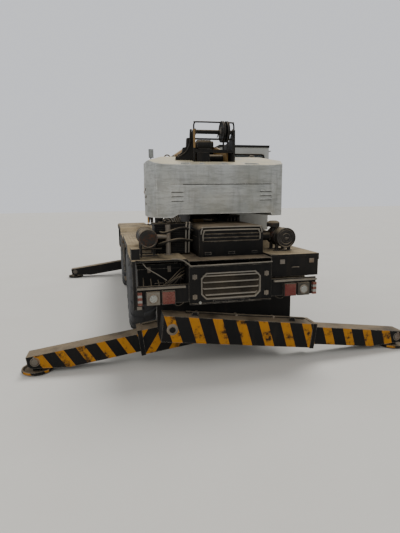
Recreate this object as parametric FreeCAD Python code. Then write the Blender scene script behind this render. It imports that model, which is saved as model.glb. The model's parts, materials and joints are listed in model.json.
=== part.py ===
"""Two-axle rough-terrain mobile crane, parked with its rear and front outriggers out.

Millimetres. +Y is the way the crane drives, +X its right-hand side, +Z up. The origin is on the
ground under the middle of the whole machine, boom included.
"""

import FreeCAD, Part
import math
import os

V = FreeCAD.Vector

# Carrier
REAR_Y = -5387.5
CARRIER_LENGTH = 7700.0
CARRIER_WIDTH = 2620.0
WHEELBASE = 3650.0
REAR_OVERHANG = 1950.0
TREAD = 2160.0
DECK_TOP = 1490.0
DECK_THICKNESS = 28.0
DECK_INNER_X = 590.0
COVER_GAP = 120.0
GUARD_RISE = 95.0
GUARD_HALF_LENGTH = 880.0
SKIRT_HEIGHT = 90.0
SKIRT_THICKNESS = 14.0
FRAME_BOTTOM = 1000.0
FRAME_TOP = 1400.0
RAIL_INNER_X = 310.0
RAIL_WIDTH = 120.0
RING_MEMBER_REAR = 650.0
RING_MEMBER_FRONT = 550.0
REAR_Y_FRAME_GAP = 90.0
POST_BOTTOM = 860.0

# Wheels and tyres
TYRE_RADIUS = 745.0
TYRE_WIDTH = 430.0
TYRE_BEAD_RADIUS = 324.3
LUG_HEIGHT = 28.0
LUG_COUNT = 18
LUG_WIDTH = 70.0
RIM_RADIUS = 318.0
RIM_WIDTH = 330.0
RIM_WALL = 14.0
DISC_THICKNESS = 22.0
HUB_RADIUS = 150.0
SPINDLE_RADIUS = 60.0
RUNNING_CLEARANCE = 0.05
SEAT_GAP = 0.3

# Axles and steering
KINGPIN_X = 840.0
KINGPIN_RADIUS = 32.0
AXLE_TUBE_RADIUS = 88.0
DIFF_RADIUS = 215.0
DIFF_HALF_WIDTH = 230.0
YOKE_HALF_HEIGHT = 175.0
YOKE_EAR_THICKNESS = 42.0
YOKE_RADIUS = 80.0
KNUCKLE_GAP = 6.0
KNUCKLE_RADIUS = 92.0

# Springs and driveline
SPRING_X = 370.0
SPRING_WIDTH = 76.0
SPRING_HALF_LENGTH = 600.0
SPRING_LEAF = 15.0
SPRING_LEAVES = 6
TRANSFER_LENGTH = 620.0
TRANSFER_WIDTH = 460.0
TRANSFER_HEIGHT = 440.0
SHAFT_RADIUS = 42.0

# Rear panel, grille, engine
PANEL_WIDTH = 1150.0
PANEL_BOTTOM = 880.0
PANEL_TOP = 1410.0
PANEL_THICKNESS = 20.0
GRILLE_WIDTH = 830.0
GRILLE_BOTTOM = 940.0
GRILLE_TOP = 1300.0
GRILLE_CHAMFER = 70.0
GRILLE_DEPTH = 45.0
GRILLE_RIM = 16.0
GRILLE_BARS = 4
GRILLE_BAR_HEIGHT = 16.0
GRILLE_LOUVRES = 13
ENGINE_LENGTH = 1050.0
ENGINE_BOTTOM = 820.0
ENGINE_TOP = 1440.0
ENGINE_AHEAD = 600.0
HOOD_X = 90.0
HOOD_WIDTH = 930.0
HOOD_AHEAD = 280.0
HOOD_LENGTH = 920.0
HOOD_TOP = 1895.0
HOOD_CORNER = 90.0
INLET_DUCT_X = 570.0
SHEET = 12.0

# Tool box under the right deck's rear end
TOOL_BOX_GAP = 22.0
TOOL_BOX_LENGTH = 360.0
TOOL_BOX_BOTTOM = 1178.0

# Side tank and locker between the wheels
TANK_INNER_X = 680.0
TANK_OUTER_X = 1285.0
TANK_BOTTOM = 780.0
TANK_AHEAD = 3010.0
TANK_LENGTH = 1500.0

# Tow eyes on the nose
TOW_EYE_X = 400.0
TOW_EYE_AHEAD = 75.0
TOW_EYE_Z = 880.0
TOW_EYE_RADIUS = 28.0
TOW_EYE_THICKNESS = 36.0

# Lamps
LAMP_BAR_Z = 1120.0
LAMP_SIZE = 176.0
LAMP_Z = 1003.0

# Outriggers
BEAM_SLOPE = 7.6
BOX_DEPTH = 300.0
BOX_HEIGHT = 352.0
BOX_WALL = 14.0
BOX_LENGTH = 2200.0
BOX_PIVOT_INSET = 130.0
BOX_PIVOT_X = 820.0
BOX_PIVOT_Z = 585.0
BOX_GAP = 42.0
BEAM_CLEARANCE = 7.0
BEAM_OUT = 1470.0
BEAM_IN = 500.0
BEAM_TIP_HEIGHT = 165.0
BEAM_TAPER = 520.0
FLOAT_RADIUS = 205.0
FLOAT_HEIGHT = 52.0
FLOAT_KNOB_RADIUS = 46.2
OUTRIGGER_PIN_RADIUS = 42.0
REAR_OUTRIGGER_AHEAD = -60.0
FRONT_OUTRIGGER_AHEAD = 6630.0
BRACKET_PLATE = 34.0
BRACKET_DROP = 150.0

# Superstructure
SLEW_AHEAD = 3400.0
RING_RADIUS = 640.0
RING_TOP = 1560.0
RING_WALL = 110.0
RING_ROOM = 20.0
PLATFORM_BOTTOM = 1625.0
PLATFORM_TOP = 1675.0
PLATFORM_HALF_WIDTH = 620.0
PLATFORM_REAR_AHEAD = 1500.0
PLATFORM_FRONT_AHEAD = 4250.0
PLATFORM_CORNER_AHEAD = 3900.0
CHEEK_INNER_X = 285.0
CHEEK_THICKNESS = 32.0
CHEEK_TOP = 3250.0
PIN_HEAD = 18.0
CAB_DECK_REAR = 1740.0
CAB_DECK_FRONT = 3900.0

# Boom
PIVOT_AHEAD = 1200.0
PIVOT_Z = 2870.0
PIVOT_RADIUS = 60.0
BOOM_LENGTH = 9500.0
BOOM_WIDTH = 500.0
BOOM_HEIGHT = 560.0
BOOM_WALL = 10.0
BOOM_STEP = 52.0
BOOM_TAIL = 210.0
BOOM_BOX_AHEAD = 780.0
BOOM_NOSE = 7750.0
BOOM_COLLAR = 30.0
BOOM_COLLAR_LENGTH = 180.0
SECTION_SHOW = 250.0
SECTION_REAR = 420.0
SECTION_REAR_STEP = 60.0
PAD_LENGTH = 120.0
PAD_GAP = 0.3
CORNER_CUT = 55.0
HEAD_DROP = 380.0
HEAD_SHEAVE_RADIUS = 190.0
HEAD_SHEAVE_WIDTH = 46.0
HEAD_SHEAVES = 4
GROOVE_DEPTH = 22.0
ROPE_RADIUS = 8.0

# Hook block
HOOK_DROP = 1000.0
HOOK_SHEAVE_RADIUS = 180.0
HOOK_PLATE = 20.0
HOOK_EYE_RADIUS = 62.0
HOOK_BAR_RADIUS = 34.0

# Lift cylinder
CYLINDER_FOOT_AHEAD = 2100.0
CYLINDER_FOOT_Z = 1830.0
CYLINDER_EYE_ALONG = 3000.0
CYLINDER_EYE_BELOW = 400.0
BARREL_RADIUS = 130.0
ROD_RADIUS = 85.0
CYLINDER_EYE_RADIUS = 105.0
CYLINDER_PIN_RADIUS = 50.0
BARREL_LENGTH = 1900.0
EYE_WIDTH = 190.0

# Counterweight
WEIGHT_AHEAD = 600.0
WEIGHT_BOTTOM = 2000.0
WEIGHT_REAR_TOP = 2735.0
WEIGHT_FRONT_TOP = 2900.0
# The block's own middle lies to the right of the boom
WEIGHT_OFFSET = 60.0
WEIGHT_CENTRE_X = 760.0
WEIGHT_CORNER_X = 945.0
WEIGHT_CORNER_DEPTH = 90.0
WEIGHT_SIDE_X = 1045.0
WEIGHT_SIDE_DEPTH = 420.0
WEIGHT_DEPTH = 900.0
WEIGHT_WELL_AHEAD = 250.0
WEIGHT_RECESS = 46.0
WEIGHT_GROOVE = 265.0
WEIGHT_RIBS = 375.0
WEIGHT_HIP_WIDTH = 255.0
WEIGHT_HIP_DROP = 90.0

# Guard at the boom's tail
GUARD_AHEAD = 850.0
GUARD_TUBE_Z = CHEEK_TOP - 35
GUARD_SHELF_Z = CHEEK_TOP - 145
GUARD_HOOP_Z = CHEEK_TOP + 102
GUARD_BASE_Z = CHEEK_TOP - 325
GUARD_BASE_HEIGHT = 40.0
GUARD_DISC_RADIUS = 150.0
HOOP_RADIUS = 12.0

# Cab
CAB_INNER_X = 340.0
CAB_OUTER_X = 1225.0
CAB_FLOOR = 1690.0
CAB_ROOF = 3150.0
CAB_REAR_AHEAD = 1760.0
CAB_LENGTH = 1700.0
CAB_WALL = 42.0
GLASS = 6.0
DOOR_THICKNESS = 38.0
DOOR_GAP = 6.0
DOOR_LENGTH = 820.0
DOOR_AHEAD = 2380.0
SEAT_AHEAD = 560.0

CAB_HEIGHT = CAB_ROOF - CAB_FLOOR
CAB_REAR_SILL = CAB_FLOOR + 0.52 * CAB_HEIGHT
CAB_SILL = CAB_FLOOR + 0.45 * CAB_HEIGHT
CAB_FRONT_SILL = CAB_FLOOR + 0.27 * CAB_HEIGHT
SEAT_HEIGHT = 0.285 * CAB_HEIGHT
BACK_TOP = 0.665 * CAB_HEIGHT
FRONT_Y = REAR_Y + CARRIER_LENGTH
REAR_AXLE_Y = REAR_Y + REAR_OVERHANG
FRONT_AXLE_Y = REAR_AXLE_Y + WHEELBASE
SLEW_Y = REAR_Y + SLEW_AHEAD
PIVOT_Y = REAR_Y + PIVOT_AHEAD
HEAD_Y = PIVOT_Y + BOOM_LENGTH
AXLE_Z = TYRE_RADIUS

# Flat sides of round forms: bars, drums and wheels, tyres, the slewing ring
BAR_SIDES = 8
DRUM_SIDES = 14
TYRE_SIDES = 20
RING_SIDES = 24

ACROSS = V(1, 0, 0)
ALONG = V(0, 1, 0)
UP = V(0, 0, 1)

SIDES = [("left", -1), ("right", 1)]
AXLES = [("rear", REAR_AXLE_Y), ("front", FRONT_AXLE_Y)]
OUTRIGGERS = [("rear", REAR_OUTRIGGER_AHEAD), ("front", FRONT_OUTRIGGER_AHEAD)]


def block(x0, x1, y0, y1, z0, z1):
    """A box between two corners."""
    return Part.makeBox(x1 - x0, y1 - y0, z1 - z0, V(x0, y0, z0))


def rod(start, direction, radius, length):
    """A truly round pin, shaft or bore from a point along a direction."""
    return Part.makeCylinder(radius, length, start, direction)


def square_to(direction):
    """Two unit vectors square to a direction and to each other, for laying out a round section."""
    line = V(direction)
    line.normalize()
    first = UP if abs(line.z) < 0.9 else ACROSS
    first = first - line * first.dot(line)
    first.normalize()
    return first, line.cross(first)


def bar(start, direction, radius, length, sides=BAR_SIDES):
    """A round bar made with flat sides, its corners on the radius."""
    first, second = square_to(direction)
    points = []
    for index in range(sides):
        angle = 2 * math.pi * (index + 0.5) / sides
        points.append(start + first * (radius * math.cos(angle)) + second * (radius * math.sin(angle)))
    line = V(direction)
    line.normalize()
    return prism(points, line * length)


def prism(points, depth):
    """A closed outline of 3-D points pushed along a vector."""
    wire = Part.makePolygon(points + [points[0]])
    return Part.Face(wire).extrude(depth)


def side_plate(outline, x0, x1):
    """An outline of (y, z) pairs made solid from x0 to x1."""
    return prism([V(x0, y, z) for y, z in outline], V(x1 - x0, 0, 0))


def cross_plate(outline, y0, y1):
    """An outline of (x, z) pairs made solid from y0 to y1."""
    return prism([V(x, y0, z) for x, z in outline], V(0, y1 - y0, 0))


def flat_plate(outline, z0, z1):
    """An outline of (x, y) pairs made solid from z0 to z1."""
    return prism([V(x, y, z0) for x, y in outline], V(0, 0, z1 - z0))


def turned(outline, centre, axis=ACROSS, sides=DRUM_SIDES):
    """An outline of (along, radius) pairs turned about an axis, in flat sides."""
    line = V(axis)
    line.normalize()
    first, second = square_to(axis)

    def corner(pair, index):
        along, radius = pair
        angle = 2 * math.pi * (index + 0.5) / sides
        return (centre + line * along + first * (radius * math.cos(angle))
                + second * (radius * math.sin(angle)))

    faces = []
    for start, end in zip(outline, outline[1:] + outline[:1]):
        if start[1] == 0 and end[1] == 0:
            continue
        for index in range(sides):
            points = [corner(start, index)]
            if start[1] > 0:
                points.append(corner(start, index + 1))
            if end[1] > 0:
                points.append(corner(end, index + 1))
            points.append(corner(end, index))
            faces.append(Part.Face(Part.makePolygon(points + [points[0]])))
    shell = Part.makeShell(faces)
    shell.sewShape()
    solid = Part.makeSolid(shell)
    if solid.Volume < 0:
        solid.reverse()
    return solid.removeSplitter()


def joined(shapes):
    """All shapes fused, with the seams between flat faces removed."""
    whole = shapes[0]
    if len(shapes) > 1:
        whole = whole.multiFuse(shapes[1:])
    return whole.removeSplitter()


def cut(shape, tools):
    """A shape with every tool taken away."""
    return shape.cut(Part.makeCompound(tools)) if tools else shape


def mirrored(shape):
    """The same shape on the other side of the machine."""
    return shape.mirror(V(0, 0, 0), ACROSS)


def chamfered(half_width, bottom, top, corner):
    """An eight-sided outline of (x, z) pairs."""
    return [
        (-half_width + corner, bottom), (half_width - corner, bottom),
        (half_width, bottom + corner), (half_width, top - corner),
        (half_width - corner, top), (-half_width + corner, top),
        (-half_width, top - corner), (-half_width, bottom + corner),
    ]


# Carrier frame

def chassis_frame():
    """Two box rails, their cross members and the seat of the slewing ring."""
    rear = REAR_Y + REAR_Y_FRAME_GAP
    front = FRONT_Y - SHEET
    rails = []
    for _, side in SIDES:
        x0 = side * RAIL_INNER_X
        x1 = side * (RAIL_INNER_X + RAIL_WIDTH)
        rails.append(block(min(x0, x1), max(x0, x1), rear, front, FRAME_BOTTOM, FRAME_TOP))
    # Cross members: distance ahead of the rear panel, length along Y, top
    members = [(1720.0, 160.0, 1300.0), (SLEW_AHEAD - RING_MEMBER_REAR, 220.0, FRAME_TOP),
               (SLEW_AHEAD + RING_MEMBER_FRONT, 220.0, FRAME_TOP),
               (5100.0, 160.0, FRAME_TOP), (6500.0, 160.0, FRAME_TOP), (7400.0, 160.0, FRAME_TOP)]
    for ahead, length, top in members:
        y0 = REAR_Y + ahead
        rails.append(block(-RAIL_INNER_X, RAIL_INNER_X, y0, y0 + length, FRAME_BOTTOM + 60, top))
    seat_half = RING_RADIUS + 40
    seat = block(-seat_half, seat_half, SLEW_Y - seat_half, SLEW_Y + seat_half,
                 FRAME_TOP - 60, FRAME_TOP)
    # Outriggers of the deck: distance ahead of the rear panel
    for ahead in (900.0, 3050.0, 4450.0, 6600.0):
        y0 = REAR_Y + ahead
        half = CARRIER_WIDTH / 2 - SKIRT_THICKNESS - 40
        for x0, x1 in ((-half, -RAIL_INNER_X), (RAIL_INNER_X, half)):
            rails.append(block(x0, x1, y0, y0 + 60, FRAME_TOP - 70, FRAME_TOP))
    return joined(rails + [seat])


def deck(side):
    """One side's deck, raised over both wheels, with its outer skirt."""
    low = DECK_TOP
    high = DECK_TOP + GUARD_RISE
    run = 120.0
    top = [(REAR_Y + 60, low)]
    for _, axle_y in AXLES:
        top.append((axle_y - GUARD_HALF_LENGTH - run, low))
        top.append((axle_y - GUARD_HALF_LENGTH, high))
        top.append((axle_y + GUARD_HALF_LENGTH, high))
        top.append((axle_y + GUARD_HALF_LENGTH + run, low))
    top.append((FRONT_Y - SHEET, low))
    under = [(y, z - DECK_THICKNESS) for y, z in reversed(top)]
    outer = CARRIER_WIDTH / 2
    plate = side_plate(top + under, DECK_INNER_X, outer)
    hem = [(y, z - SKIRT_HEIGHT) for y, z in reversed(top)]
    skirt = side_plate(top + hem, outer - SKIRT_THICKNESS, outer)
    inner = side_plate(top + hem, DECK_INNER_X, DECK_INNER_X + SKIRT_THICKNESS)
    feet = []
    for ahead in (900.0, 3050.0, 4450.0, 6600.0):
        y0 = REAR_Y + ahead
        feet.append(block(DECK_INNER_X + 30, outer - SKIRT_THICKNESS - 60, y0 + 5, y0 + 55,
                          FRAME_TOP, DECK_TOP - DECK_THICKNESS))
    whole = joined([plate, skirt, inner] + feet)
    ring_room = bar(V(0, SLEW_Y, FRAME_TOP - 5), UP, RING_RADIUS + RING_ROOM, 400.0, RING_SIDES)
    whole = whole.cut(ring_room)
    return whole if side > 0 else mirrored(whole)


def front_cover():
    """The plate over the rails between the decks, ahead of the slewing ring."""
    half = DECK_INNER_X - SEAT_GAP
    return block(-half, half, SLEW_Y + RING_RADIUS + COVER_GAP, FRONT_Y - SHEET - SEAT_GAP,
                 FRAME_TOP, FRAME_TOP + DECK_THICKNESS)


def rear_panel():
    """The centre panel with its eight-sided grille opening, and the engine bay's side walls."""
    half = PANEL_WIDTH / 2
    outline = chamfered(half, PANEL_BOTTOM, PANEL_TOP, 4.0)
    panel = cross_plate(outline, REAR_Y, REAR_Y + PANEL_THICKNESS)
    opening = cross_plate(chamfered(GRILLE_WIDTH / 2, GRILLE_BOTTOM, GRILLE_TOP, GRILLE_CHAMFER),
                          REAR_Y - 1, REAR_Y + PANEL_THICKNESS + 1)
    panel = panel.cut(opening)
    walls = []
    bay_front = REAR_Y + HOOD_AHEAD + HOOD_LENGTH
    for _, side in SIDES:
        x = side * half
        x0 = min(x, x - side * SHEET)
        walls.append(block(x0, x0 + SHEET, REAR_Y, bay_front, FRAME_TOP, PANEL_TOP + 60))
        walls.append(block(x0, x0 + SHEET, REAR_Y, REAR_Y + 60, PANEL_BOTTOM, FRAME_TOP))
        walls.append(block(x0, x0 + SHEET, REAR_Y, REAR_Y + 400, FRAME_BOTTOM + 2, FRAME_TOP))
        edge = side * (RAIL_INNER_X + RAIL_WIDTH)
        x0 = min(x, edge)
        walls.append(block(x0, x0 + abs(x - edge), REAR_Y + 120, REAR_Y + 150, 1050, 1350))
    lid = block(-half, half, REAR_Y, bay_front, PANEL_TOP + 60 - SHEET, PANEL_TOP + 60)
    hood_hole = block(HOOD_X - HOOD_WIDTH / 2 + 40, HOOD_X + HOOD_WIDTH / 2 - 40,
                      REAR_Y + HOOD_AHEAD + 40,
                      bay_front - 40, PANEL_TOP, PANEL_TOP + 100)
    top_rail = block(-half, half, REAR_Y - 12, REAR_Y, PANEL_TOP - 26, PANEL_TOP)
    return joined([panel, top_rail, lid.cut(hood_hole)] + walls)


def rear_grille():
    """The grille's rim, its four bright bars and the thin louvres between them."""
    half = GRILLE_WIDTH / 2 - SEAT_GAP
    rim = cross_plate(chamfered(half, GRILLE_BOTTOM + SEAT_GAP, GRILLE_TOP - SEAT_GAP,
                                GRILLE_CHAMFER),
                      REAR_Y - 6, REAR_Y + GRILLE_DEPTH)
    inner_half = half - GRILLE_RIM
    hole = cross_plate(chamfered(inner_half, GRILLE_BOTTOM + GRILLE_RIM, GRILLE_TOP - GRILLE_RIM,
                                 GRILLE_CHAMFER - 6), REAR_Y - 10, REAR_Y + GRILLE_DEPTH + 5)
    pieces = [rim.cut(hole)]
    span = GRILLE_TOP - GRILLE_BOTTOM
    for index in range(GRILLE_BARS):
        z = GRILLE_BOTTOM + span * (index + 0.6) / (GRILLE_BARS + 0.2)
        reach = inner_half + 2 - (GRILLE_CHAMFER if index in (0, GRILLE_BARS - 1) else 0) * 0.45
        pieces.append(block(-reach, reach, REAR_Y - 4, REAR_Y + 18, z, z + GRILLE_BAR_HEIGHT))
    for index in range(GRILLE_LOUVRES):
        z = GRILLE_BOTTOM + GRILLE_RIM + (span - 2 * GRILLE_RIM) * (index + 0.5) / GRILLE_LOUVRES
        near_end = min(z - GRILLE_BOTTOM, GRILLE_TOP - z)
        reach = inner_half + 2 - max(0.0, GRILLE_CHAMFER - near_end)
        outline = [(REAR_Y + 20, z), (REAR_Y + 40, z + 12), (REAR_Y + 40, z + 16),
                   (REAR_Y + 20, z + 4)]
        pieces.append(side_plate(outline, -reach, reach))
    return joined(pieces)


def engine():
    """The engine as one plain block between the rails."""
    y0 = REAR_Y + ENGINE_AHEAD
    half = RAIL_INNER_X
    return block(-half, half, y0, y0 + ENGINE_LENGTH, ENGINE_BOTTOM, ENGINE_TOP)


def engine_hood():
    """The black hood over the engine, open below, with its rounded shoulders."""
    y0 = REAR_Y + HOOD_AHEAD
    y1 = y0 + HOOD_LENGTH
    base = PANEL_TOP + 60
    half = HOOD_WIDTH / 2
    outer = block(HOOD_X - half, HOOD_X + half, y0, y1, base, HOOD_TOP)
    edges = [e for e in outer.Edges
             if e.BoundBox.ZMin > HOOD_TOP - 1 and e.BoundBox.YLength > 10]
    outer = outer.makeFillet(HOOD_CORNER, edges)
    inner = block(HOOD_X - half + SHEET, HOOD_X + half - SHEET, y0 + SHEET, y1 - SHEET, base - 5,
                  HOOD_TOP - 100)
    ribs = []
    for z in (HOOD_TOP - 120, HOOD_TOP - 170, HOOD_TOP - 220):
        ribs.append(block(HOOD_X - half + 60, HOOD_X + half - 60, y0 - 10, y0 + 1, z, z + 12))
    return joined([outer.cut(inner)] + ribs)


def rear_lamps(side):
    """One rear lamp cluster: white round-lensed lamp, red lamp and the outer red strip."""
    back = REAR_Y - 20
    carrier = block(PANEL_WIDTH / 2 + SEAT_GAP, 1255.0, REAR_Y + 30, REAR_Y + 60, LAMP_Z - 85, LAMP_BAR_Z + 40)
    rail = block(620.0, 1255.0, REAR_Y - 5, REAR_Y + 30, LAMP_BAR_Z, LAMP_BAR_Z + 22)
    half = LAMP_SIZE / 2
    white = block(1050 - half, 1050 + half, back, REAR_Y + 30, LAMP_Z - half, LAMP_Z + half)
    lens = bar(V(1050.0, back - 12, LAMP_Z), ALONG, 62.0, 14.0, DRUM_SIDES)
    red = block(850 - half, 850 + half, back, REAR_Y + 30, LAMP_Z - half, LAMP_Z + half)
    strip = block(1190.0, 1250.0, back, REAR_Y + 30, LAMP_Z - half, LAMP_Z + half)
    whole = joined([carrier, rail, white, lens, red, strip])
    return whole if side > 0 else mirrored(whole)


def air_cleaner():
    """The drum on the right deck with its mushroom inlet."""
    centre = V(930.0, REAR_Y + 320.0, 1690.0)
    outline = [(0, 0), (0, 95), (18, 128), (40, 145), (430, 145), (455, 128), (470, 60), (470, 0)]
    drum = turned(outline, centre, ALONG)
    feet = []
    for along in (90.0, 330.0):
        feet.append(block(centre.x - 100, centre.x + 100, centre.y + along,
                          centre.y + along + 40, DECK_TOP, centre.z - 60))
    stem = bar(V(centre.x - 110, centre.y + 240, centre.z), UP, 42.0, 190.0)
    cap = turned([(150, 0), (150, 95), (205, 95), (232, 70), (240, 0)],
                 V(centre.x - 110, centre.y + 240, centre.z), UP)
    duct = bar(V(INLET_DUCT_X, centre.y + 330, centre.z), ACROSS, 62.0, centre.x - INLET_DUCT_X)
    return joined([drum, stem, cap, duct] + feet)


def muffler():
    """The dark drum on the left deck, its saddle box and the upright exhaust pipe."""
    centre = V(-1060.0, REAR_Y + 280.0, 1745.0)
    outline = [(0, 0), (0, 80), (22, 118), (40, 126), (560, 126), (590, 90), (590, 0)]
    drum = turned(outline, centre, ALONG)
    saddle = block(-1180.0, -930.0, centre.y + 60, centre.y + 520, DECK_TOP, centre.z - 70)
    pipe = bar(V(-760.0, centre.y + 260, DECK_TOP), UP, 38.0, 420.0)
    elbow = bar(V(-1000.0, centre.y + 260, centre.z), ACROSS, 34.0, 240.0)
    return joined([drum, saddle, pipe, elbow])


def deck_box():
    """The small grey box at the left deck's outer edge, and the grey post below it."""
    edge = -CARRIER_WIDTH / 2 + 8
    box = block(edge, edge + 110, REAR_Y + 100, REAR_Y + 330, DECK_TOP, DECK_TOP + 150)
    post = block(edge, edge + 42, REAR_Y + 5, REAR_Y + 75, POST_BOTTOM, DECK_TOP + 8)
    return joined([box, post, block(edge, edge + 110, REAR_Y + 55, REAR_Y + 130,
                                    DECK_TOP - DECK_THICKNESS, DECK_TOP + 8)])


def tool_box():
    """The dark box under the right deck's rear end, over the lamps."""
    x0 = PANEL_WIDTH / 2 + TOOL_BOX_GAP
    return block(x0, CARRIER_WIDTH / 2 - 10, REAR_Y + 64, REAR_Y + TOOL_BOX_LENGTH, TOOL_BOX_BOTTOM,
                 DECK_TOP - DECK_THICKNESS + 2)


def side_tank(side):
    """The rounded tank or locker between the wheels, hung from the deck arms."""
    y0 = REAR_Y + TANK_AHEAD
    y1 = y0 + TANK_LENGTH
    outline = [(TANK_INNER_X + 50, TANK_BOTTOM), (TANK_OUTER_X - 90, TANK_BOTTOM),
               (TANK_OUTER_X - 25, TANK_BOTTOM + 28), (TANK_OUTER_X, TANK_BOTTOM + 95),
               (TANK_OUTER_X, FRAME_TOP - 100), (TANK_OUTER_X - 30, FRAME_TOP - 72),
               (TANK_INNER_X, FRAME_TOP - 72), (TANK_INNER_X, TANK_BOTTOM + 50)]
    tank = cross_plate(outline, y0, y1)
    step = block(900.0, 1295.0, y0 + 300, y0 + 760, 560.0, 585.0)
    hangers = [block(900.0, 915.0, y0 + 300, y0 + 340, 585.0, 800.0),
               block(900.0, 915.0, y0 + 720, y0 + 760, 585.0, 800.0)]
    straps = [block(700.0, 1240.0, REAR_Y + ahead + 5, REAR_Y + ahead + 55, FRAME_TOP - 90,
                    FRAME_TOP - 70) for ahead in (3050.0, 4450.0)]
    whole = joined([tank, step] + hangers + straps)
    return whole if side > 0 else mirrored(whole)


def front_bumper():
    """The nose panel with its lamp recesses and the two tow eyes."""
    half = CARRIER_WIDTH / 2 - 20
    panel = cross_plate(chamfered(half, 760.0, DECK_TOP - DECK_THICKNESS - 1, 60.0),
                        FRONT_Y - SHEET, FRONT_Y + 28)
    eyes = []
    for _, side in SIDES:
        x = side * TOW_EYE_X
        half = TOW_EYE_THICKNESS / 2
        tip = FRONT_Y + TOW_EYE_AHEAD + 45
        ear = side_plate([(FRONT_Y + 20, TOW_EYE_Z - 80), (tip, TOW_EYE_Z - 50),
                          (tip, TOW_EYE_Z + 50), (FRONT_Y + 20, TOW_EYE_Z + 80)],
                         x - half, x + half)
        bore = rod(V(x - 2 * half, FRONT_Y + TOW_EYE_AHEAD, TOW_EYE_Z), ACROSS, TOW_EYE_RADIUS,
                   4 * half)
        eyes.append(ear.cut(bore))
    return joined([panel] + eyes)


def headlamps():
    """Two round headlamps and two amber lamps proud of the nose panel."""
    lamps = []
    for _, side in SIDES:
        lamps.append(bar(V(side * 1000.0, FRONT_Y + 28, 1080.0), ALONG, 95.0, 40.0, DRUM_SIDES))
        x = side * 1180.0
        lamps.append(block(x - 45, x + 45, FRONT_Y + 28, FRONT_Y + 60, 1030.0, 1130.0))
    return Part.makeCompound(lamps)


# Outriggers

def box_frame(ahead, side):
    """Pivot point and middle plane of one outrigger box. The box reaches out to the given side."""
    first = ahead if side > 0 else ahead + BOX_DEPTH + BOX_GAP
    y0 = REAR_Y + first
    return V(-side * BOX_PIVOT_X, y0 + BOX_DEPTH / 2, BOX_PIVOT_Z)


def sloped(shape, pivot, side):
    """Turn a shape built level along +X from the pivot down to its slope, on its own side."""
    shape.rotate(V(0, 0, 0), ALONG, BEAM_SLOPE)
    if side < 0:
        shape = mirrored(shape)
    shape.translate(pivot)
    return shape


def outrigger_box(ahead, side):
    """One hollow outer box with its pivot bore and the collar at its mouth."""
    half_y = BOX_DEPTH / 2
    half_z = BOX_HEIGHT / 2
    x0 = -BOX_PIVOT_INSET
    x1 = x0 + BOX_LENGTH
    outer = block(x0, x1, -half_y, half_y, -half_z, half_z)
    cavity = block(x0 + 2 * BOX_PIVOT_INSET, x1 + 5, -half_y + BOX_WALL, half_y - BOX_WALL,
                   -half_z + BOX_WALL, half_z - BOX_WALL)
    bore = rod(V(0, -half_y - 5, 0), ALONG, OUTRIGGER_PIN_RADIUS + RUNNING_CLEARANCE,
               BOX_DEPTH + 10)
    # The front outriggers' lower lip clears the ground at the mouth
    return sloped(outer.cut(cavity).cut(bore), box_frame(ahead, side), side)


def beam_half_sizes():
    """Half the inner beam's width and height, from the box's hollow less its clearance."""
    return (BOX_DEPTH / 2 - BOX_WALL - BEAM_CLEARANCE,
            BOX_HEIGHT / 2 - BOX_WALL - BEAM_CLEARANCE - 28.0)


def beam_tip():
    """Where the beam ends, measured along the level box from its pivot."""
    return BOX_LENGTH - BOX_PIVOT_INSET + BEAM_OUT


def outrigger_beam(ahead, side):
    """The inner beam: a box that tapers below to the pin of its float."""
    half_y, half_z = beam_half_sizes()
    mouth = BOX_LENGTH - BOX_PIVOT_INSET
    x0 = mouth - BEAM_IN
    x1 = beam_tip()
    outline = [(x0, -half_z), (x1 - BEAM_TAPER, -half_z), (x1 - 40, half_z - BEAM_TIP_HEIGHT),
               (x1, half_z - BEAM_TIP_HEIGHT + 30), (x1, half_z), (x0, half_z)]
    beam = cross_plate(outline, -half_y, half_y)
    slot = block(x1 - 2 * 90.0, x1 + 5, -70.0, 70.0, -half_z - 5, half_z - 40)
    pads = [block(x0, x0 + 120, -half_y, half_y, half_z, half_z + 28 + BEAM_CLEARANCE - PAD_GAP),
            block(x0, x0 + 120, -half_y, half_y, -half_z - 28 - BEAM_CLEARANCE + PAD_GAP, -half_z)]
    return sloped(joined([beam.cut(slot)] + pads), box_frame(ahead, side), side)


def float_centre(ahead, side):
    """The middle of a float's ground face."""
    pivot = box_frame(ahead, side)
    slope = math.radians(BEAM_SLOPE)
    along = beam_tip() - 95.0
    return V(pivot.x + side * along * math.cos(slope), pivot.y, 0.0)


def outrigger_float(ahead, side):
    """The dished ground plate with its lug and cross pin in the beam's slot."""
    centre = float_centre(ahead, side)
    pivot = box_frame(ahead, side)
    slope = math.radians(BEAM_SLOPE)
    _, half_z = beam_half_sizes()
    pin_z = pivot.z - (beam_tip() - 95.0) * math.sin(slope) + (half_z - 85.0) * math.cos(slope)
    pin_x = centre.x + side * (half_z - 85.0) * math.sin(slope)
    outline = [(0.0, 0.0), (FLOAT_RADIUS - 25, 0.0), (FLOAT_RADIUS, 18.0),
               (FLOAT_RADIUS, FLOAT_HEIGHT), (FLOAT_RADIUS - 18, FLOAT_HEIGHT),
               (FLOAT_RADIUS - 36, 22.0), (0.0, 22.0)]
    dish = turned([(z, r) for r, z in outline], centre, UP)
    lug = block(pin_x - 45, pin_x + 45, centre.y - 60, centre.y + 60, 15.0, pin_z)
    knob = bar(V(pin_x, centre.y - 60, pin_z), ALONG, FLOAT_KNOB_RADIUS, 120.0)
    return joined([dish, lug, knob])


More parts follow.
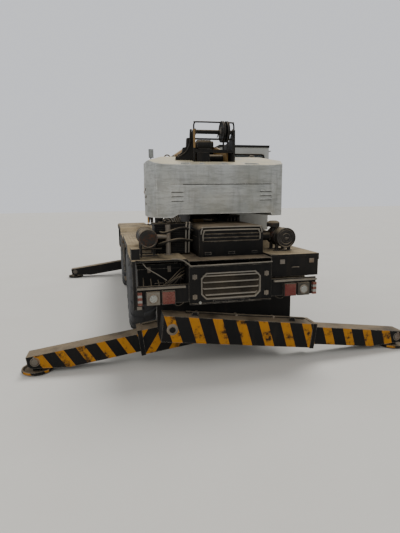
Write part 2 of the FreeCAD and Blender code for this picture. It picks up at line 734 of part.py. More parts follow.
def outrigger_bracket(ahead):
    """The plate between one pair of boxes, with both pivot pins and its ties to the rails."""
    y0 = REAR_Y + ahead + BOX_DEPTH + (BOX_GAP - BRACKET_PLATE) / 2
    half = BOX_PIVOT_X + 160
    low = BOX_PIVOT_Z - BRACKET_DROP
    plate = cross_plate([(-half, low + 80), (-half + 120, low), (half - 120, low), (half, low + 80),
                         (half, FRAME_BOTTOM - 10), (-half, FRAME_BOTTOM - 10)],
                        y0, y0 + BRACKET_PLATE)
    roof = block(-half, half, REAR_Y + max(ahead, 0) + 70, REAR_Y + ahead + 2 * BOX_DEPTH,
                 FRAME_BOTTOM - 18, FRAME_BOTTOM)
    pins = []
    for _, side in SIDES:
        pivot = box_frame(ahead, side)
        if side > 0:
            pins.append(rod(V(pivot.x, pivot.y - BOX_DEPTH / 2 - 22, pivot.z), ALONG,
                            OUTRIGGER_PIN_RADIUS, y0 + 5 - pivot.y + BOX_DEPTH / 2 + 22))
        else:
            pins.append(rod(V(pivot.x, y0 + BRACKET_PLATE - 5, pivot.z), ALONG,
                            OUTRIGGER_PIN_RADIUS, pivot.y + BOX_DEPTH / 2 + 22 - y0
                            - BRACKET_PLATE + 5))
    return joined([plate, roof] + pins)


# Axles, knuckles, wheels

def axle(axle_y):
    """Differential housing, tubes and the forked ends that hold the kingpins."""
    centre = V(0, axle_y, AXLE_Z)
    outline = [(-DIFF_HALF_WIDTH, 0), (-DIFF_HALF_WIDTH, 110), (-120, DIFF_RADIUS - 30),
               (0, DIFF_RADIUS), (120, DIFF_RADIUS - 30), (DIFF_HALF_WIDTH, 110),
               (DIFF_HALF_WIDTH, 0)]
    housing = turned(outline, centre)
    reach = KINGPIN_X - 125
    tube = bar(V(-reach, axle_y, AXLE_Z), ACROSS, AXLE_TUBE_RADIUS, 2 * reach)
    nose = bar(V(0, axle_y - DIFF_RADIUS - 60, AXLE_Z), ALONG, 80.0, 2 * DIFF_RADIUS + 120)
    pieces = [housing, tube, nose]
    for _, side in SIDES:
        back = side * (KINGPIN_X - 165)
        front = side * (KINGPIN_X - 105)
        pieces.append(block(min(back, front), max(back, front), axle_y - YOKE_RADIUS,
                            axle_y + YOKE_RADIUS, AXLE_Z - YOKE_HALF_HEIGHT,
                            AXLE_Z + YOKE_HALF_HEIGHT))
        for end in (-1, 1):
            z0 = AXLE_Z + end * YOKE_HALF_HEIGHT - (YOKE_EAR_THICKNESS if end > 0 else 0)
            pin_x = side * KINGPIN_X
            ear = block(min(back, pin_x), max(back, pin_x), axle_y - YOKE_RADIUS,
                        axle_y + YOKE_RADIUS, z0, z0 + YOKE_EAR_THICKNESS)
            eye = bar(V(pin_x, axle_y, z0), UP, YOKE_RADIUS, YOKE_EAR_THICKNESS)
            pieces += [ear, eye]
    whole = joined(pieces)
    bores = [rod(V(side * KINGPIN_X, axle_y, 0), UP, KINGPIN_RADIUS + RUNNING_CLEARANCE, 2000.0)
             for _, side in SIDES]
    # Spring seats on the housing
    seats = []
    for _, side in SIDES:
        x = side * SPRING_X
        seats.append(block(x - 60, x + 60, axle_y - 90, axle_y + 90, AXLE_Z, spring_bottom()))
    return joined([cut(whole, bores)] + seats)


def spring_bottom():
    """Height of the lowest leaf's underside at the axle."""
    return AXLE_Z + AXLE_TUBE_RADIUS + 30


def leaf_springs():
    """Four packs of leaves, each under its rail with a hanger at both ends."""
    packs = []
    for _, axle_y in AXLES:
        for _, side in SIDES:
            x0 = side * SPRING_X - SPRING_WIDTH / 2
            x1 = x0 + SPRING_WIDTH
            pieces = []
            for leaf in range(SPRING_LEAVES):
                reach = SPRING_HALF_LENGTH * (leaf + 1.5) / (SPRING_LEAVES + 0.5)
                z0 = spring_bottom() + leaf * SPRING_LEAF
                pieces.append(block(x0, x1, axle_y - reach, axle_y + reach, z0, z0 + SPRING_LEAF))
            top = spring_bottom() + SPRING_LEAVES * SPRING_LEAF
            for end in (-1, 1):
                y = axle_y + end * (SPRING_HALF_LENGTH - 40)
                pieces.append(block(x0 + 8, x1 - 8, y - 40, y + 40, top - SPRING_LEAF,
                                    FRAME_BOTTOM))
            packs.append(joined(pieces))
    return Part.makeCompound(packs)


def driveline():
    """Transfer box under the frame and the two shafts to the axles."""
    half_x = TRANSFER_WIDTH / 2
    y0 = SLEW_Y - TRANSFER_LENGTH / 2 - 100
    z1 = FRAME_BOTTOM + 60
    z0 = z1 - TRANSFER_HEIGHT
    box = cross_plate([(-half_x + 90, z0), (half_x - 90, z0), (half_x, z0 + 90), (half_x, z1),
                       (-half_x, z1), (-half_x, z0 + 90)], y0, y0 + TRANSFER_LENGTH)
    # The box hangs from the cross member beside it
    tie = block(-150.0, 150.0, SLEW_Y - RING_MEMBER_REAR, y0 + 5, z1 - 60, z1)
    rear_nose = REAR_AXLE_Y + DIFF_RADIUS + 60
    front_nose = FRONT_AXLE_Y - DIFF_RADIUS - 60
    rear_shaft = bar(V(0, rear_nose, AXLE_Z), ALONG, SHAFT_RADIUS, y0 + 5 - rear_nose)
    front_shaft = bar(V(0, y0 + TRANSFER_LENGTH - 5, AXLE_Z), ALONG, SHAFT_RADIUS,
                      front_nose - y0 - TRANSFER_LENGTH + 5)
    return joined([box, tie, rear_shaft, front_shaft])


def knuckle(axle_y, side):
    """The steered knuckle: its post between the fork's ears, kingpin stubs and wheel spindle."""
    x = side * KINGPIN_X
    ear_inner = YOKE_HALF_HEIGHT - YOKE_EAR_THICKNESS
    post = bar(V(x, axle_y, AXLE_Z - ear_inner + KNUCKLE_GAP), UP, 72.0,
               2 * (ear_inner - KNUCKLE_GAP))
    pin = rod(V(x, axle_y, AXLE_Z - YOKE_HALF_HEIGHT - 12), UP, KINGPIN_RADIUS,
              2 * YOKE_HALF_HEIGHT + 24)
    hub_inner = wheel_inner_x()
    flange = bar(V(x, axle_y, AXLE_Z), ACROSS * side, KNUCKLE_RADIUS, hub_inner - KINGPIN_X - 6)
    spindle = rod(V(x, axle_y, AXLE_Z), ACROSS * side, SPINDLE_RADIUS,
                  TREAD / 2 + 60 - KINGPIN_X)
    return joined([post, pin, flange, spindle])


def wheel_inner_x():
    """Distance from the middle of the machine to the inner face of a wheel's hub."""
    return TREAD / 2 - 110


def wheel(axle_y, side):
    """Rim, disc and the planetary hub with its spindle bore."""
    centre = V(side * TREAD / 2, axle_y, AXLE_Z)
    half = RIM_WIDTH / 2
    inside = RIM_RADIUS - 8
    lip = RIM_RADIUS + 22
    seat_radius = RIM_RADIUS + 6
    rim = turned([(-half, lip), (-half, inside), (half, inside), (half, lip),
                  (half - RIM_WALL, lip), (half - RIM_WALL, seat_radius),
                  (-half + RIM_WALL, seat_radius), (-half + RIM_WALL, lip)],
                 centre, sides=TYRE_SIDES)
    disc = turned([(20 * side, 0), (20 * side, inside + 3), ((20 + DISC_THICKNESS) * side, inside + 3),
                   ((20 + DISC_THICKNESS) * side, 0)], centre, sides=TYRE_SIDES)
    hub = turned([(-110 * side, 0), (-110 * side, HUB_RADIUS - 20), (60 * side, HUB_RADIUS),
                  (150 * side, HUB_RADIUS - 10), (170 * side, HUB_RADIUS - 45), (170 * side, 0)],
                 centre)
    whole = joined([rim, disc, hub])
    hollow = rod(centre + V(-side * 200, 0, 0), ACROSS * side,
                 SPINDLE_RADIUS + RUNNING_CLEARANCE, 200.0 + 62.0)
    return whole.cut(hollow)


def tyre(axle_y, hand):
    """A wide earth-mover tyre with staggered shoulder lugs."""
    centre = V(hand * TREAD / 2, axle_y, AXLE_Z)
    half = TYRE_WIDTH / 2
    carcass = TYRE_RADIUS - LUG_HEIGHT
    bead_half = RIM_WIDTH / 2 - RIM_WALL - 0.5
    side = [(bead_half, TYRE_BEAD_RADIUS), (bead_half, TYRE_BEAD_RADIUS + 20),
            (half, carcass - 150), (half - 10, carcass - 50), (half - 55, carcass)]
    outline = side + [(-x, radius) for x, radius in reversed(side)]
    body = turned(outline, centre, sides=TYRE_SIDES)
    lugs = []
    for index in range(LUG_COUNT):
        for row in (-1, 1):
            angle = 360.0 * (index + (0.25 if row > 0 else -0.25)) / LUG_COUNT
            lug = tyre_lug(row)
            lug.rotate(V(0, 0, 0), ACROSS, angle)
            lug.translate(centre)
            lugs.append(lug)
    return joined([body] + lugs)


def tyre_lug(row):
    """One shoulder lug at the top of the tyre, on the given side of its middle."""
    half = TYRE_WIDTH / 2
    low = TYRE_RADIUS - LUG_HEIGHT - 60
    outline = [(row * 12.0, low), (row * (half - 24), low - 12), (row * (half - 3), low + 30),
               (row * (half - 32), TYRE_RADIUS - 7), (row * 12.0, TYRE_RADIUS)]
    points = [V(x, -LUG_WIDTH / 2, z) for x, z in outline]
    return prism(points, V(0, LUG_WIDTH, 0))


# Superstructure

def slewing_ring():
    """The fixed ring on the carrier frame."""
    inner = RING_RADIUS - RING_WALL
    height = RING_TOP - FRAME_TOP
    return turned([(0, inner), (0, RING_RADIUS), (height, RING_RADIUS), (height, inner)],
                  V(0, SLEW_Y, FRAME_TOP), UP, RING_SIDES)


def cheek(side):
    """One upright side plate of the superstructure, from the boom foot to the nose."""
    x0 = side * CHEEK_INNER_X
    x1 = side * (CHEEK_INNER_X + CHEEK_THICKNESS)
    ahead = [(880.0, 2240.0), (1500.0, PLATFORM_TOP), (PLATFORM_FRONT_AHEAD, PLATFORM_TOP),
             (PLATFORM_FRONT_AHEAD, 1900.0), (2700.0, 2250.0), (1750.0, 2560.0),
             (1330.0, 3085.0), (1080.0, 3110.0), (900.0, CHEEK_TOP), (840.0, CHEEK_TOP),
             (840.0, 2980.0)]
    plate = side_plate([(REAR_Y + s, z) for s, z in ahead], min(x0, x1), max(x0, x1))
    foot = bar(V(min(x0, x1) - 10, REAR_Y + CYLINDER_FOOT_AHEAD, CYLINDER_FOOT_Z), ACROSS,
               CYLINDER_PIN_RADIUS + 60, CHEEK_THICKNESS + 20)
    boss = bar(V(min(x0, x1) - (PIN_HEAD if side < 0 else 0), PIVOT_Y, PIVOT_Z), ACROSS,
               PIVOT_RADIUS + 55, CHEEK_THICKNESS + PIN_HEAD, DRUM_SIDES)
    return joined([plate, foot, boss])


def slewing_platform():
    """Base plate, both cheeks, the boom-foot and cylinder pins and the cab's deck."""
    base = flat_plate([(-PLATFORM_HALF_WIDTH, REAR_Y + PLATFORM_REAR_AHEAD),
                       (PLATFORM_HALF_WIDTH, REAR_Y + PLATFORM_REAR_AHEAD),
                       (PLATFORM_HALF_WIDTH, REAR_Y + PLATFORM_CORNER_AHEAD),
                       (CHEEK_INNER_X + CHEEK_THICKNESS, REAR_Y + PLATFORM_FRONT_AHEAD),
                       (-CHEEK_INNER_X - CHEEK_THICKNESS, REAR_Y + PLATFORM_FRONT_AHEAD),
                       (-PLATFORM_HALF_WIDTH, REAR_Y + PLATFORM_CORNER_AHEAD)],
                      PLATFORM_BOTTOM, PLATFORM_TOP)
    cab_deck = block(PLATFORM_HALF_WIDTH - 5, CAB_OUTER_X, REAR_Y + CAB_DECK_REAR,
                     REAR_Y + CAB_DECK_FRONT, PLATFORM_BOTTOM, PLATFORM_TOP)
    race = bar(V(0, SLEW_Y, RING_TOP + PAD_GAP), UP, RING_RADIUS - 60,
               PLATFORM_BOTTOM - RING_TOP - PAD_GAP, RING_SIDES)
    reach = CHEEK_INNER_X + CHEEK_THICKNESS + PIN_HEAD
    boom_pin = rod(V(-reach, PIVOT_Y, PIVOT_Z), ACROSS, PIVOT_RADIUS, 2 * reach)
    foot_reach = CHEEK_INNER_X + CHEEK_THICKNESS + PIN_HEAD / 2
    foot_pin = rod(V(-foot_reach, REAR_Y + CYLINDER_FOOT_AHEAD, CYLINDER_FOOT_Z), ACROSS,
                   CYLINDER_PIN_RADIUS, 2 * foot_reach)
    return joined([base, cab_deck, race, cheek(-1), cheek(1), boom_pin, foot_pin])


def weight_plan():
    """The block's outline seen from above, facets at its rear corners."""
    rear = REAR_Y + WEIGHT_AHEAD
    half = [(WEIGHT_CENTRE_X, rear), (WEIGHT_CORNER_X, rear + WEIGHT_CORNER_DEPTH),
            (WEIGHT_SIDE_X, rear + WEIGHT_SIDE_DEPTH), (WEIGHT_SIDE_X, rear + WEIGHT_DEPTH)]
    right = [(WEIGHT_OFFSET + x, y) for x, y in half]
    return right + [(WEIGHT_OFFSET - x, y) for x, y in reversed(half)]


def weight_top_cuts():
    """What is cut away above the block: the slope at its rear and the hip at each side."""
    rear = REAR_Y + WEIGHT_AHEAD
    front = rear + WEIGHT_DEPTH
    above = WEIGHT_FRONT_TOP + 20
    left = WEIGHT_OFFSET - WEIGHT_SIDE_X - 5
    right = WEIGHT_OFFSET + WEIGHT_SIDE_X + 5
    cuts = [side_plate([(rear - 10, WEIGHT_REAR_TOP), (rear + 5, WEIGHT_REAR_TOP),
                        (front - 250, WEIGHT_FRONT_TOP), (front + 10, WEIGHT_FRONT_TOP),
                        (front + 10, above), (rear - 10, above)], left, right)]
    for _, side in SIDES:
        outer = WEIGHT_OFFSET + side * (WEIGHT_SIDE_X + 5)
        crest = outer - side * WEIGHT_HIP_WIDTH
        hip = [(outer, WEIGHT_FRONT_TOP - WEIGHT_HIP_DROP), (crest, WEIGHT_FRONT_TOP),
               (crest, above), (outer, above)]
        cuts.append(cross_plate(hip, rear - 10, front + 10))
    return cuts


def weight_pockets():
    """The four lifting pockets sunk in the sloping top."""
    rear = REAR_Y + WEIGHT_AHEAD
    return [block(x0, x1, rear + 40, rear + 140, WEIGHT_REAR_TOP - 30, WEIGHT_FRONT_TOP)
            for x0, x1 in ((-534.0, -393.0), (-261.0, -187.0), (63.0, 160.0), (416.0, 631.0))]


def counterweight():
    """The cast block: faceted plan, hipped top rising forwards, pockets, groove and ribs."""
    rear = REAR_Y + WEIGHT_AHEAD
    front = rear + WEIGHT_DEPTH
    body = flat_plate(weight_plan(), WEIGHT_BOTTOM, WEIGHT_FRONT_TOP + 5)
    well_half = CHEEK_INNER_X + CHEEK_THICKNESS + SEAT_GAP
    boss_room = bar(V(-well_half - PIN_HEAD - 6, PIVOT_Y, PIVOT_Z), ACROSS, PIVOT_RADIUS + 65,
                    2 * (well_half + PIN_HEAD + 6), DRUM_SIDES)
    well = block(-well_half, well_half, rear + WEIGHT_WELL_AHEAD - 20, front + 5,
                 WEIGHT_BOTTOM - 5, WEIGHT_FRONT_TOP + 20)
    line = WEIGHT_REAR_TOP - WEIGHT_GROOVE
    reach = WEIGHT_SIDE_X + WEIGHT_OFFSET + 5
    groove = block(-reach, reach, rear - 5, rear + 10, line - 12, line)
    recess = cross_plate([(-WEIGHT_CENTRE_X + 70, WEIGHT_BOTTOM - 5),
                          (-WEIGHT_CENTRE_X + 165, WEIGHT_BOTTOM + WEIGHT_RECESS),
                          (WEIGHT_CENTRE_X + 40, WEIGHT_BOTTOM + WEIGHT_RECESS),
                          (WEIGHT_CENTRE_X + 58, WEIGHT_BOTTOM - 5)], rear - 5, front + 5)
    ribs = []
    for x0, x1 in ((-690.0, -545.0), (640.0, 810.0)):
        for step in range(3):
            z = WEIGHT_REAR_TOP - WEIGHT_RIBS - 62 * step
            ribs.append(block(x0, x1, rear - 8, rear + 5, z, z + 14))
    cuts = [well, boss_room, groove, recess] + weight_top_cuts() + weight_pockets()
    return joined([cut(body, cuts)] + ribs)


def winches():
    """Both rope drums and their motors between the cheeks under the boom."""
    pieces = []
    # Distance ahead of the rear panel, height of each drum's axis
    for ahead, z in ((1560.0, 2080.0), (1180.0, 2420.0)):
        start = V(-CHEEK_INNER_X, REAR_Y + ahead, z)
        drum = bar(start, ACROSS, 140.0, 2 * CHEEK_INNER_X, DRUM_SIDES)
        flanges = [bar(V(x, REAR_Y + ahead, z), ACROSS, 185.0, 14.0, DRUM_SIDES)
                   for x in (-CHEEK_INNER_X + 60, CHEEK_INNER_X - 74)]
        pieces.append(joined([drum] + flanges))
    return Part.makeCompound(pieces)


def tail_guard():
    """The frame that stands at the boom's tail: posts, hoop, cross bars, motor and rope discs."""
    y = REAR_Y + GUARD_AHEAD
    inner = CHEEK_INNER_X
    tube = bar(V(-inner, y + 10, GUARD_TUBE_Z), ACROSS, 30.0, 2 * inner)
    shelf = block(-inner, inner, y - 5, y + 25, GUARD_SHELF_Z, GUARD_SHELF_Z + 22)
    posts = []
    for _, side in SIDES:
        x = side * (inner + CHEEK_THICKNESS / 2)
        posts.append(bar(V(x, y + 15, CHEEK_TOP), UP, HOOP_RADIUS, GUARD_HOOP_Z - CHEEK_TOP, 6))
    reach = inner + CHEEK_THICKNESS / 2 + HOOP_RADIUS
    hoop = bar(V(-reach, y + 15, GUARD_HOOP_Z), ACROSS, HOOP_RADIUS, 2 * reach, 6)
    base_top = GUARD_BASE_Z + GUARD_BASE_HEIGHT
    motor = block(-inner, -20.0, y - 20, y + 60, base_top - 5, GUARD_SHELF_Z + 2)
    base = block(-inner, inner, y - 20, y + 60, GUARD_BASE_Z, base_top)
    discs = []
    for x in (95.0, 160.0):
        disc = bar(V(x, y - 20, GUARD_TUBE_Z), ACROSS, GUARD_DISC_RADIUS, 32.0, DRUM_SIDES)
        link = block(x, x + 32, y - 20, y + 30, base_top - 15, GUARD_TUBE_Z)
        discs += [disc, link]
    return joined([tube, shelf, hoop, motor, base] + posts + discs)


# Cab

def cab_windows():
    """Cutting blocks for the cab's window openings, as (wall, low corner, high corner)."""
    y0 = REAR_Y + CAB_REAR_AHEAD
    y1 = y0 + CAB_LENGTH
    margin = 90.0
    top = CAB_ROOF - 150
    return {
        "rear": (CAB_INNER_X + margin, CAB_OUTER_X - margin, y0, y0 + CAB_WALL, CAB_REAR_SILL, top),
        "front": (CAB_INNER_X + margin, CAB_OUTER_X - margin, y1 - CAB_WALL, y1, CAB_FRONT_SILL,
                  top),
        "left": (CAB_INNER_X, CAB_INNER_X + CAB_WALL, y0 + 420, y1 - 140, CAB_SILL, top),
        "roof": (CAB_INNER_X + 180, CAB_OUTER_X - 180, y1 - 700, y1 - 200,
                 CAB_ROOF - CAB_WALL, CAB_ROOF),
    }


def door_opening():
    """The doorway in the cab's right wall."""
    y0 = REAR_Y + DOOR_AHEAD + 30
    return y0, y0 + DOOR_LENGTH - 60, CAB_FLOOR + 100, CAB_ROOF - 130


def cab_shell():
    """The hollow cab body with its windows and doorway cut through whole walls."""
    y0 = REAR_Y + CAB_REAR_AHEAD
    y1 = y0 + CAB_LENGTH
    outer = block(CAB_INNER_X, CAB_OUTER_X, y0, y1, CAB_FLOOR, CAB_ROOF)
    edges = [e for e in outer.Edges if e.BoundBox.ZMin > CAB_ROOF - 1]
    outer = outer.makeFillet(35.0, edges)
    inner = block(CAB_INNER_X + CAB_WALL, CAB_OUTER_X - CAB_WALL, y0 + CAB_WALL, y1 - CAB_WALL,
                  CAB_FLOOR + CAB_WALL, CAB_ROOF - CAB_WALL)
    tools = [inner]
    for x0, x1, wy0, wy1, z0, z1 in cab_windows().values():
        tools.append(block(x0 - (1 if x0 == CAB_INNER_X else 0), x1 + 1, wy0 - 1, wy1 + 1, z0,
                           z1 + (1 if z1 == CAB_ROOF else 0)))
    dy0, dy1, dz0, dz1 = door_opening()
    tools.append(block(CAB_OUTER_X - CAB_WALL - 1, CAB_OUTER_X + 1, dy0, dy1, dz0, dz1))
    feet = [block(CAB_INNER_X + 40, CAB_OUTER_X - 40, y, y + 80, PLATFORM_TOP, CAB_FLOOR)
            for y in (y0 + 60, y1 - 140)]
    shell = cut(outer, tools)
    return joined([shell] + feet + door_rails())


def cab_glass():
    """The fixed panes, each filling its opening in the middle of the wall."""
    panes = []
    middle = CAB_WALL / 2
    for name, (x0, x1, y0, y1, z0, z1) in cab_windows().items():
        if name in ("rear", "front"):
            panes.append(block(x0, x1, y0 + middle - GLASS / 2, y0 + middle + GLASS / 2, z0, z1))
        elif name == "left":
            panes.append(block(x0 + middle - GLASS / 2, x0 + middle + GLASS / 2, y0, y1, z0, z1))
        else:
            panes.append(block(x0, x1, y0, y1, z0 + middle - GLASS / 2, z0 + middle + GLASS / 2))
    return Part.makeCompound(panes)


def door_box():
    """Low and high corners of the closed sliding door."""
    x0 = CAB_OUTER_X + DOOR_GAP
    y0 = REAR_Y + DOOR_AHEAD
    return x0, x0 + DOOR_THICKNESS, y0, y0 + DOOR_LENGTH, CAB_FLOOR + 70, CAB_ROOF - 100


def cab_door():
    """The sliding door outside the right wall, with its window opening."""
    x0, x1, y0, y1, z0, z1 = door_box()
    leaf = block(x0, x1, y0, y1, z0, z1)
    window = block(x0 - 1, x1 + 1, y0 + 80, y1 - 80, CAB_SILL - 150, z1 - 70)
    handle = block(x1, x1 + 22, y1 - 70, y1 - 30, 2180.0, 2330.0)
    return joined([leaf.cut(window), handle])


def door_glass():
    """The pane in the middle of the door's thickness."""
    x0, x1, y0, y1, _, z1 = door_box()
    middle = (x0 + x1) / 2
    return block(middle - GLASS / 2, middle + GLASS / 2, y0 + 80, y1 - 80, CAB_SILL - 150,
                 z1 - 70)


def door_rails():
    """The two rails on the cab's right wall that the door slides on."""
    y0 = REAR_Y + CAB_REAR_AHEAD + 10
    y1 = y0 + CAB_LENGTH - 20
    rails = []
    low = CAB_FLOOR + 70 - PAD_GAP
    high = CAB_ROOF - 100 + PAD_GAP
    rails.append(block(CAB_OUTER_X, CAB_OUTER_X + DOOR_GAP + DOOR_THICKNESS, y0, y1, low - 18, low))
    rails.append(block(CAB_OUTER_X, CAB_OUTER_X + DOOR_GAP + DOOR_THICKNESS, y0, y1, high,
                       high + 18))
    return rails


def seat():
    """The operator's seat: cushion, back and headrest as one simple form."""
    x = (CAB_INNER_X + CAB_OUTER_X) / 2 + 40
    y = REAR_Y + CAB_REAR_AHEAD + SEAT_AHEAD
    floor = CAB_FLOOR + CAB_WALL
    cushion = block(x - 250, x + 250, y - 40, y + 440, floor + SEAT_HEIGHT,
                    floor + SEAT_HEIGHT + 120)
    back = block(x - 240, x + 240, y - 130, y - 41, floor + SEAT_HEIGHT + 20, floor + BACK_TOP)
    return Part.makeCompound([cushion, back])


def cab_controls():
    """Seat pedestal, console with levers, and the steering wheel on its column."""
    x = (CAB_INNER_X + CAB_OUTER_X) / 2 + 40
    y = REAR_Y + CAB_REAR_AHEAD + SEAT_AHEAD
    floor = CAB_FLOOR + CAB_WALL
    pedestal = block(x - 180, x + 180, y - 20, y + 380, floor, floor + SEAT_HEIGHT)
    spine = block(x - 60, x + 60, y - 165, y - 130, floor + SEAT_HEIGHT - 100,
                  floor + BACK_TOP - 110)
    tie = block(x - 60, x + 60, y - 165, y - 20, floor + SEAT_HEIGHT - 100,
                floor + SEAT_HEIGHT - 10)
    column = bar(V(x, y + 840, floor), V(0, -0.35, 0.94), 32.0, 760.0, 8)
    column = column.common(block(x - 50, x + 50, y, y + 1000, floor, floor + 900))
    hub = V(x, y + 840 - 0.35 * 760, floor + 0.94 * 760)
    ring = turned([(-12, 190), (0, 184), (12, 190), (12, 210), (0, 216), (-12, 210)], hub,
                  V(0, -0.35, 0.94))
    spokes = bar(hub + V(-195, 0, 0), ACROSS, 12.0, 390.0, 6)
    console = block(x - 330, x + 330, y + 860, y + 1010, floor, floor + 560)
    levers = []
    for dx in (-280.0, -220.0, 220.0, 280.0):
        levers.append(bar(V(x + dx, y + 900, floor + 555), UP, 10.0, 180.0, 6))
    return joined([pedestal, spine, tie, column, ring, spokes, console] + levers)


# Boom

def tube_outline(width, height, corner):
    """Eight-sided boom section about the boom's axis, with larger lower corners."""
    half_w = width / 2
    half_h = height / 2
    low = corner * 1.5
    return [(-half_w + low, -half_h), (half_w - low, -half_h), (half_w, -half_h + low),
            (half_w, half_h - corner), (half_w - corner, half_h), (-half_w + corner, half_h),
            (-half_w, half_h - corner), (-half_w, -half_h + low)]


def boom_tube(width, height, y0, y1):
    """One hollow boom section between two stations, measured from the boom's pivot."""
    outer = cross_plate([(x, z + PIVOT_Z) for x, z in tube_outline(width, height, CORNER_CUT)],
                        PIVOT_Y + y0, PIVOT_Y + y1)
    shrink = 2 * BOOM_WALL
    corner = CORNER_CUT - BOOM_WALL * 0.6
    inner = cross_plate([(x, z + PIVOT_Z) for x, z in
                         tube_outline(width - shrink, height - shrink, corner)],
                        PIVOT_Y + y0 - 5, PIVOT_Y + y1 + 5)
    return outer.cut(inner)


def section_size(number):
    """Outer width and height of boom section 1 to 4."""
    return BOOM_WIDTH - BOOM_STEP * (number - 1), BOOM_HEIGHT - BOOM_STEP * (number - 1)


def section_front(number):
    """Station of a section's front end ahead of the pivot."""
    return BOOM_NOSE + SECTION_SHOW * (number - 1)


def section_rear(number):
    """Station of a telescoping section's rear end ahead of the pivot."""
    return SECTION_REAR + SECTION_REAR_STEP * (number - 2)


def wear_pads(number):
    """Pads inside a section's mouth that carry the next section."""
    width, height = section_size(number)
    next_width, next_height = section_size(number + 1)
    y1 = PIVOT_Y + section_front(number)
    y0 = y1 - PAD_LENGTH
    pads = []
    bottom = PIVOT_Z - height / 2 + BOOM_WALL
    pads.append(block(-60.0, 60.0, y0, y1, bottom, PIVOT_Z - next_height / 2 - PAD_GAP))
    top = PIVOT_Z + height / 2 - BOOM_WALL
    pads.append(block(-60.0, 60.0, y0, y1, PIVOT_Z + next_height / 2 + PAD_GAP, top))
    return pads


def collar(number):
    """The raised ring at a section's mouth."""
    width, height = section_size(number)
    front = section_front(number)
    outer = [(x, z + PIVOT_Z) for x, z in
             tube_outline(width + 2 * BOOM_COLLAR, height + 2 * BOOM_COLLAR, CORNER_CUT)]
    inner = [(x, z + PIVOT_Z) for x, z in tube_outline(width - 2, height - 2, CORNER_CUT)]
    y0 = PIVOT_Y + front - BOOM_COLLAR_LENGTH
    ring = cross_plate(outer, y0, PIVOT_Y + front)
    return ring.cut(cross_plate(inner, y0 - 5, PIVOT_Y + front + 5))


def boom_base():
    """The base section: open tail plates round the pivot, the box, its collar and pads."""
    width, height = section_size(1)
    tube = boom_tube(width, height, BOOM_BOX_AHEAD, section_front(1))
    half_w = width / 2
    half_h = height / 2
    tails = []
    outline = [(-BOOM_TAIL, -120.0), (-60.0, -half_h + 20), (BOOM_BOX_AHEAD + 40, -half_h + 85),
               (BOOM_BOX_AHEAD + 40, half_h - 60), (420.0, half_h - 60), (60.0, 130.0),
               (-BOOM_TAIL, 110.0)]
    plate_t = 22.0
    for _, side in SIDES:
        x0 = side * half_w
        x1 = side * (half_w - plate_t)
        tails.append(side_plate([(PIVOT_Y + a, PIVOT_Z + z) for a, z in outline], min(x0, x1),
                                max(x0, x1)))
        tails.append(bar(V(side * half_w - (30 if side > 0 else 0), PIVOT_Y, PIVOT_Z), ACROSS,
                         PIVOT_RADIUS + 40, 30.0, DRUM_SIDES))
    floor = block(-half_w, half_w, PIVOT_Y + 500, PIVOT_Y + BOOM_BOX_AHEAD + 5,
                  PIVOT_Z - half_h, PIVOT_Z - half_h + BOOM_WALL)
    floor = floor.common(cross_plate([(x, z + PIVOT_Z) for x, z in
                                      tube_outline(width, height, CORNER_CUT)],
                                     PIVOT_Y + 490, PIVOT_Y + BOOM_BOX_AHEAD + 10))
    lug_y = PIVOT_Y + CYLINDER_EYE_ALONG
    lug_z = PIVOT_Z - CYLINDER_EYE_BELOW
    lugs = []
    for _, side in SIDES:
        x0 = side * (EYE_WIDTH / 2 + 6)
        x1 = side * (EYE_WIDTH / 2 + 36)
        ear = side_plate([(lug_y - 260, PIVOT_Z - half_h + 2), (lug_y - 80, lug_z - 40),
                          (lug_y - 50, lug_z - 75), (lug_y + 50, lug_z - 75),
                          (lug_y + 80, lug_z - 40), (lug_y + 260, PIVOT_Z - half_h + 2)],
                         min(x0, x1), max(x0, x1))
        lugs.append(ear)
    heads = [bar(V(side * (EYE_WIDTH / 2 + 6), lug_y, lug_z), ACROSS * side,
                 CYLINDER_PIN_RADIUS, 44.0) for _, side in SIDES]
    whole = joined([tube, collar(1), floor] + tails + lugs + heads + wear_pads(1))
    bore = rod(V(-half_w - 50, PIVOT_Y, PIVOT_Z), ACROSS, PIVOT_RADIUS + RUNNING_CLEARANCE,
               width + 100)
    return whole.cut(bore)


def boom_section(number):
    """Telescoping section 2 or 3, hollow, with collar and pads for the next one."""
    width, height = section_size(number)
    tube = boom_tube(width, height, section_rear(number), section_front(number))
    return joined([tube, collar(number)] + wear_pads(number))


def boom_top_section():
    """The last section with the head's side plates."""
    width, height = section_size(4)
    front = section_front(4)
    tube = boom_tube(width, height, section_rear(4), front)
    half_h = height / 2
    plates = []
    head = BOOM_LENGTH
    outline = [(front - 200, -half_h), (front - 200, half_h - 60), (head - 250, half_h + 30),
               (head - 40, half_h - 40), (head + 110, 90 - HEAD_DROP), (head + 80, -90 - HEAD_DROP),
               (head - 80, -90 - HEAD_DROP), (head - 420, -half_h - 40)]
    for _, side in SIDES:
        x0 = side * (width / 2)
        x1 = side * (width / 2 + 20)
        plates.append(side_plate([(PIVOT_Y + a, PIVOT_Z + z) for a, z in outline], min(x0, x1),
                                 max(x0, x1)))
    nose = block(-width / 2, width / 2, PIVOT_Y + front - 20, PIVOT_Y + front, PIVOT_Z - half_h,
                 PIVOT_Z + half_h)
    reach = width / 2 + 40
    pins = [bar(V(-reach, PIVOT_Y + head, PIVOT_Z - HEAD_DROP), ACROSS, 40.0, 2 * reach,
                DRUM_SIDES),
            bar(V(-reach, PIVOT_Y + head - 260, PIVOT_Z + 110), ACROSS, 30.0, 2 * reach,
                DRUM_SIDES)]
    return joined([tube, nose] + plates + pins)


def sheave(x, y, z, radius, bore, width):
    """A grooved rope wheel about X."""
    half = width / 2
    outline = [(-half, bore), (-half, radius), (0, radius - GROOVE_DEPTH), (half, radius),
               (half, bore)]
    return turned(outline, V(x, y, z))


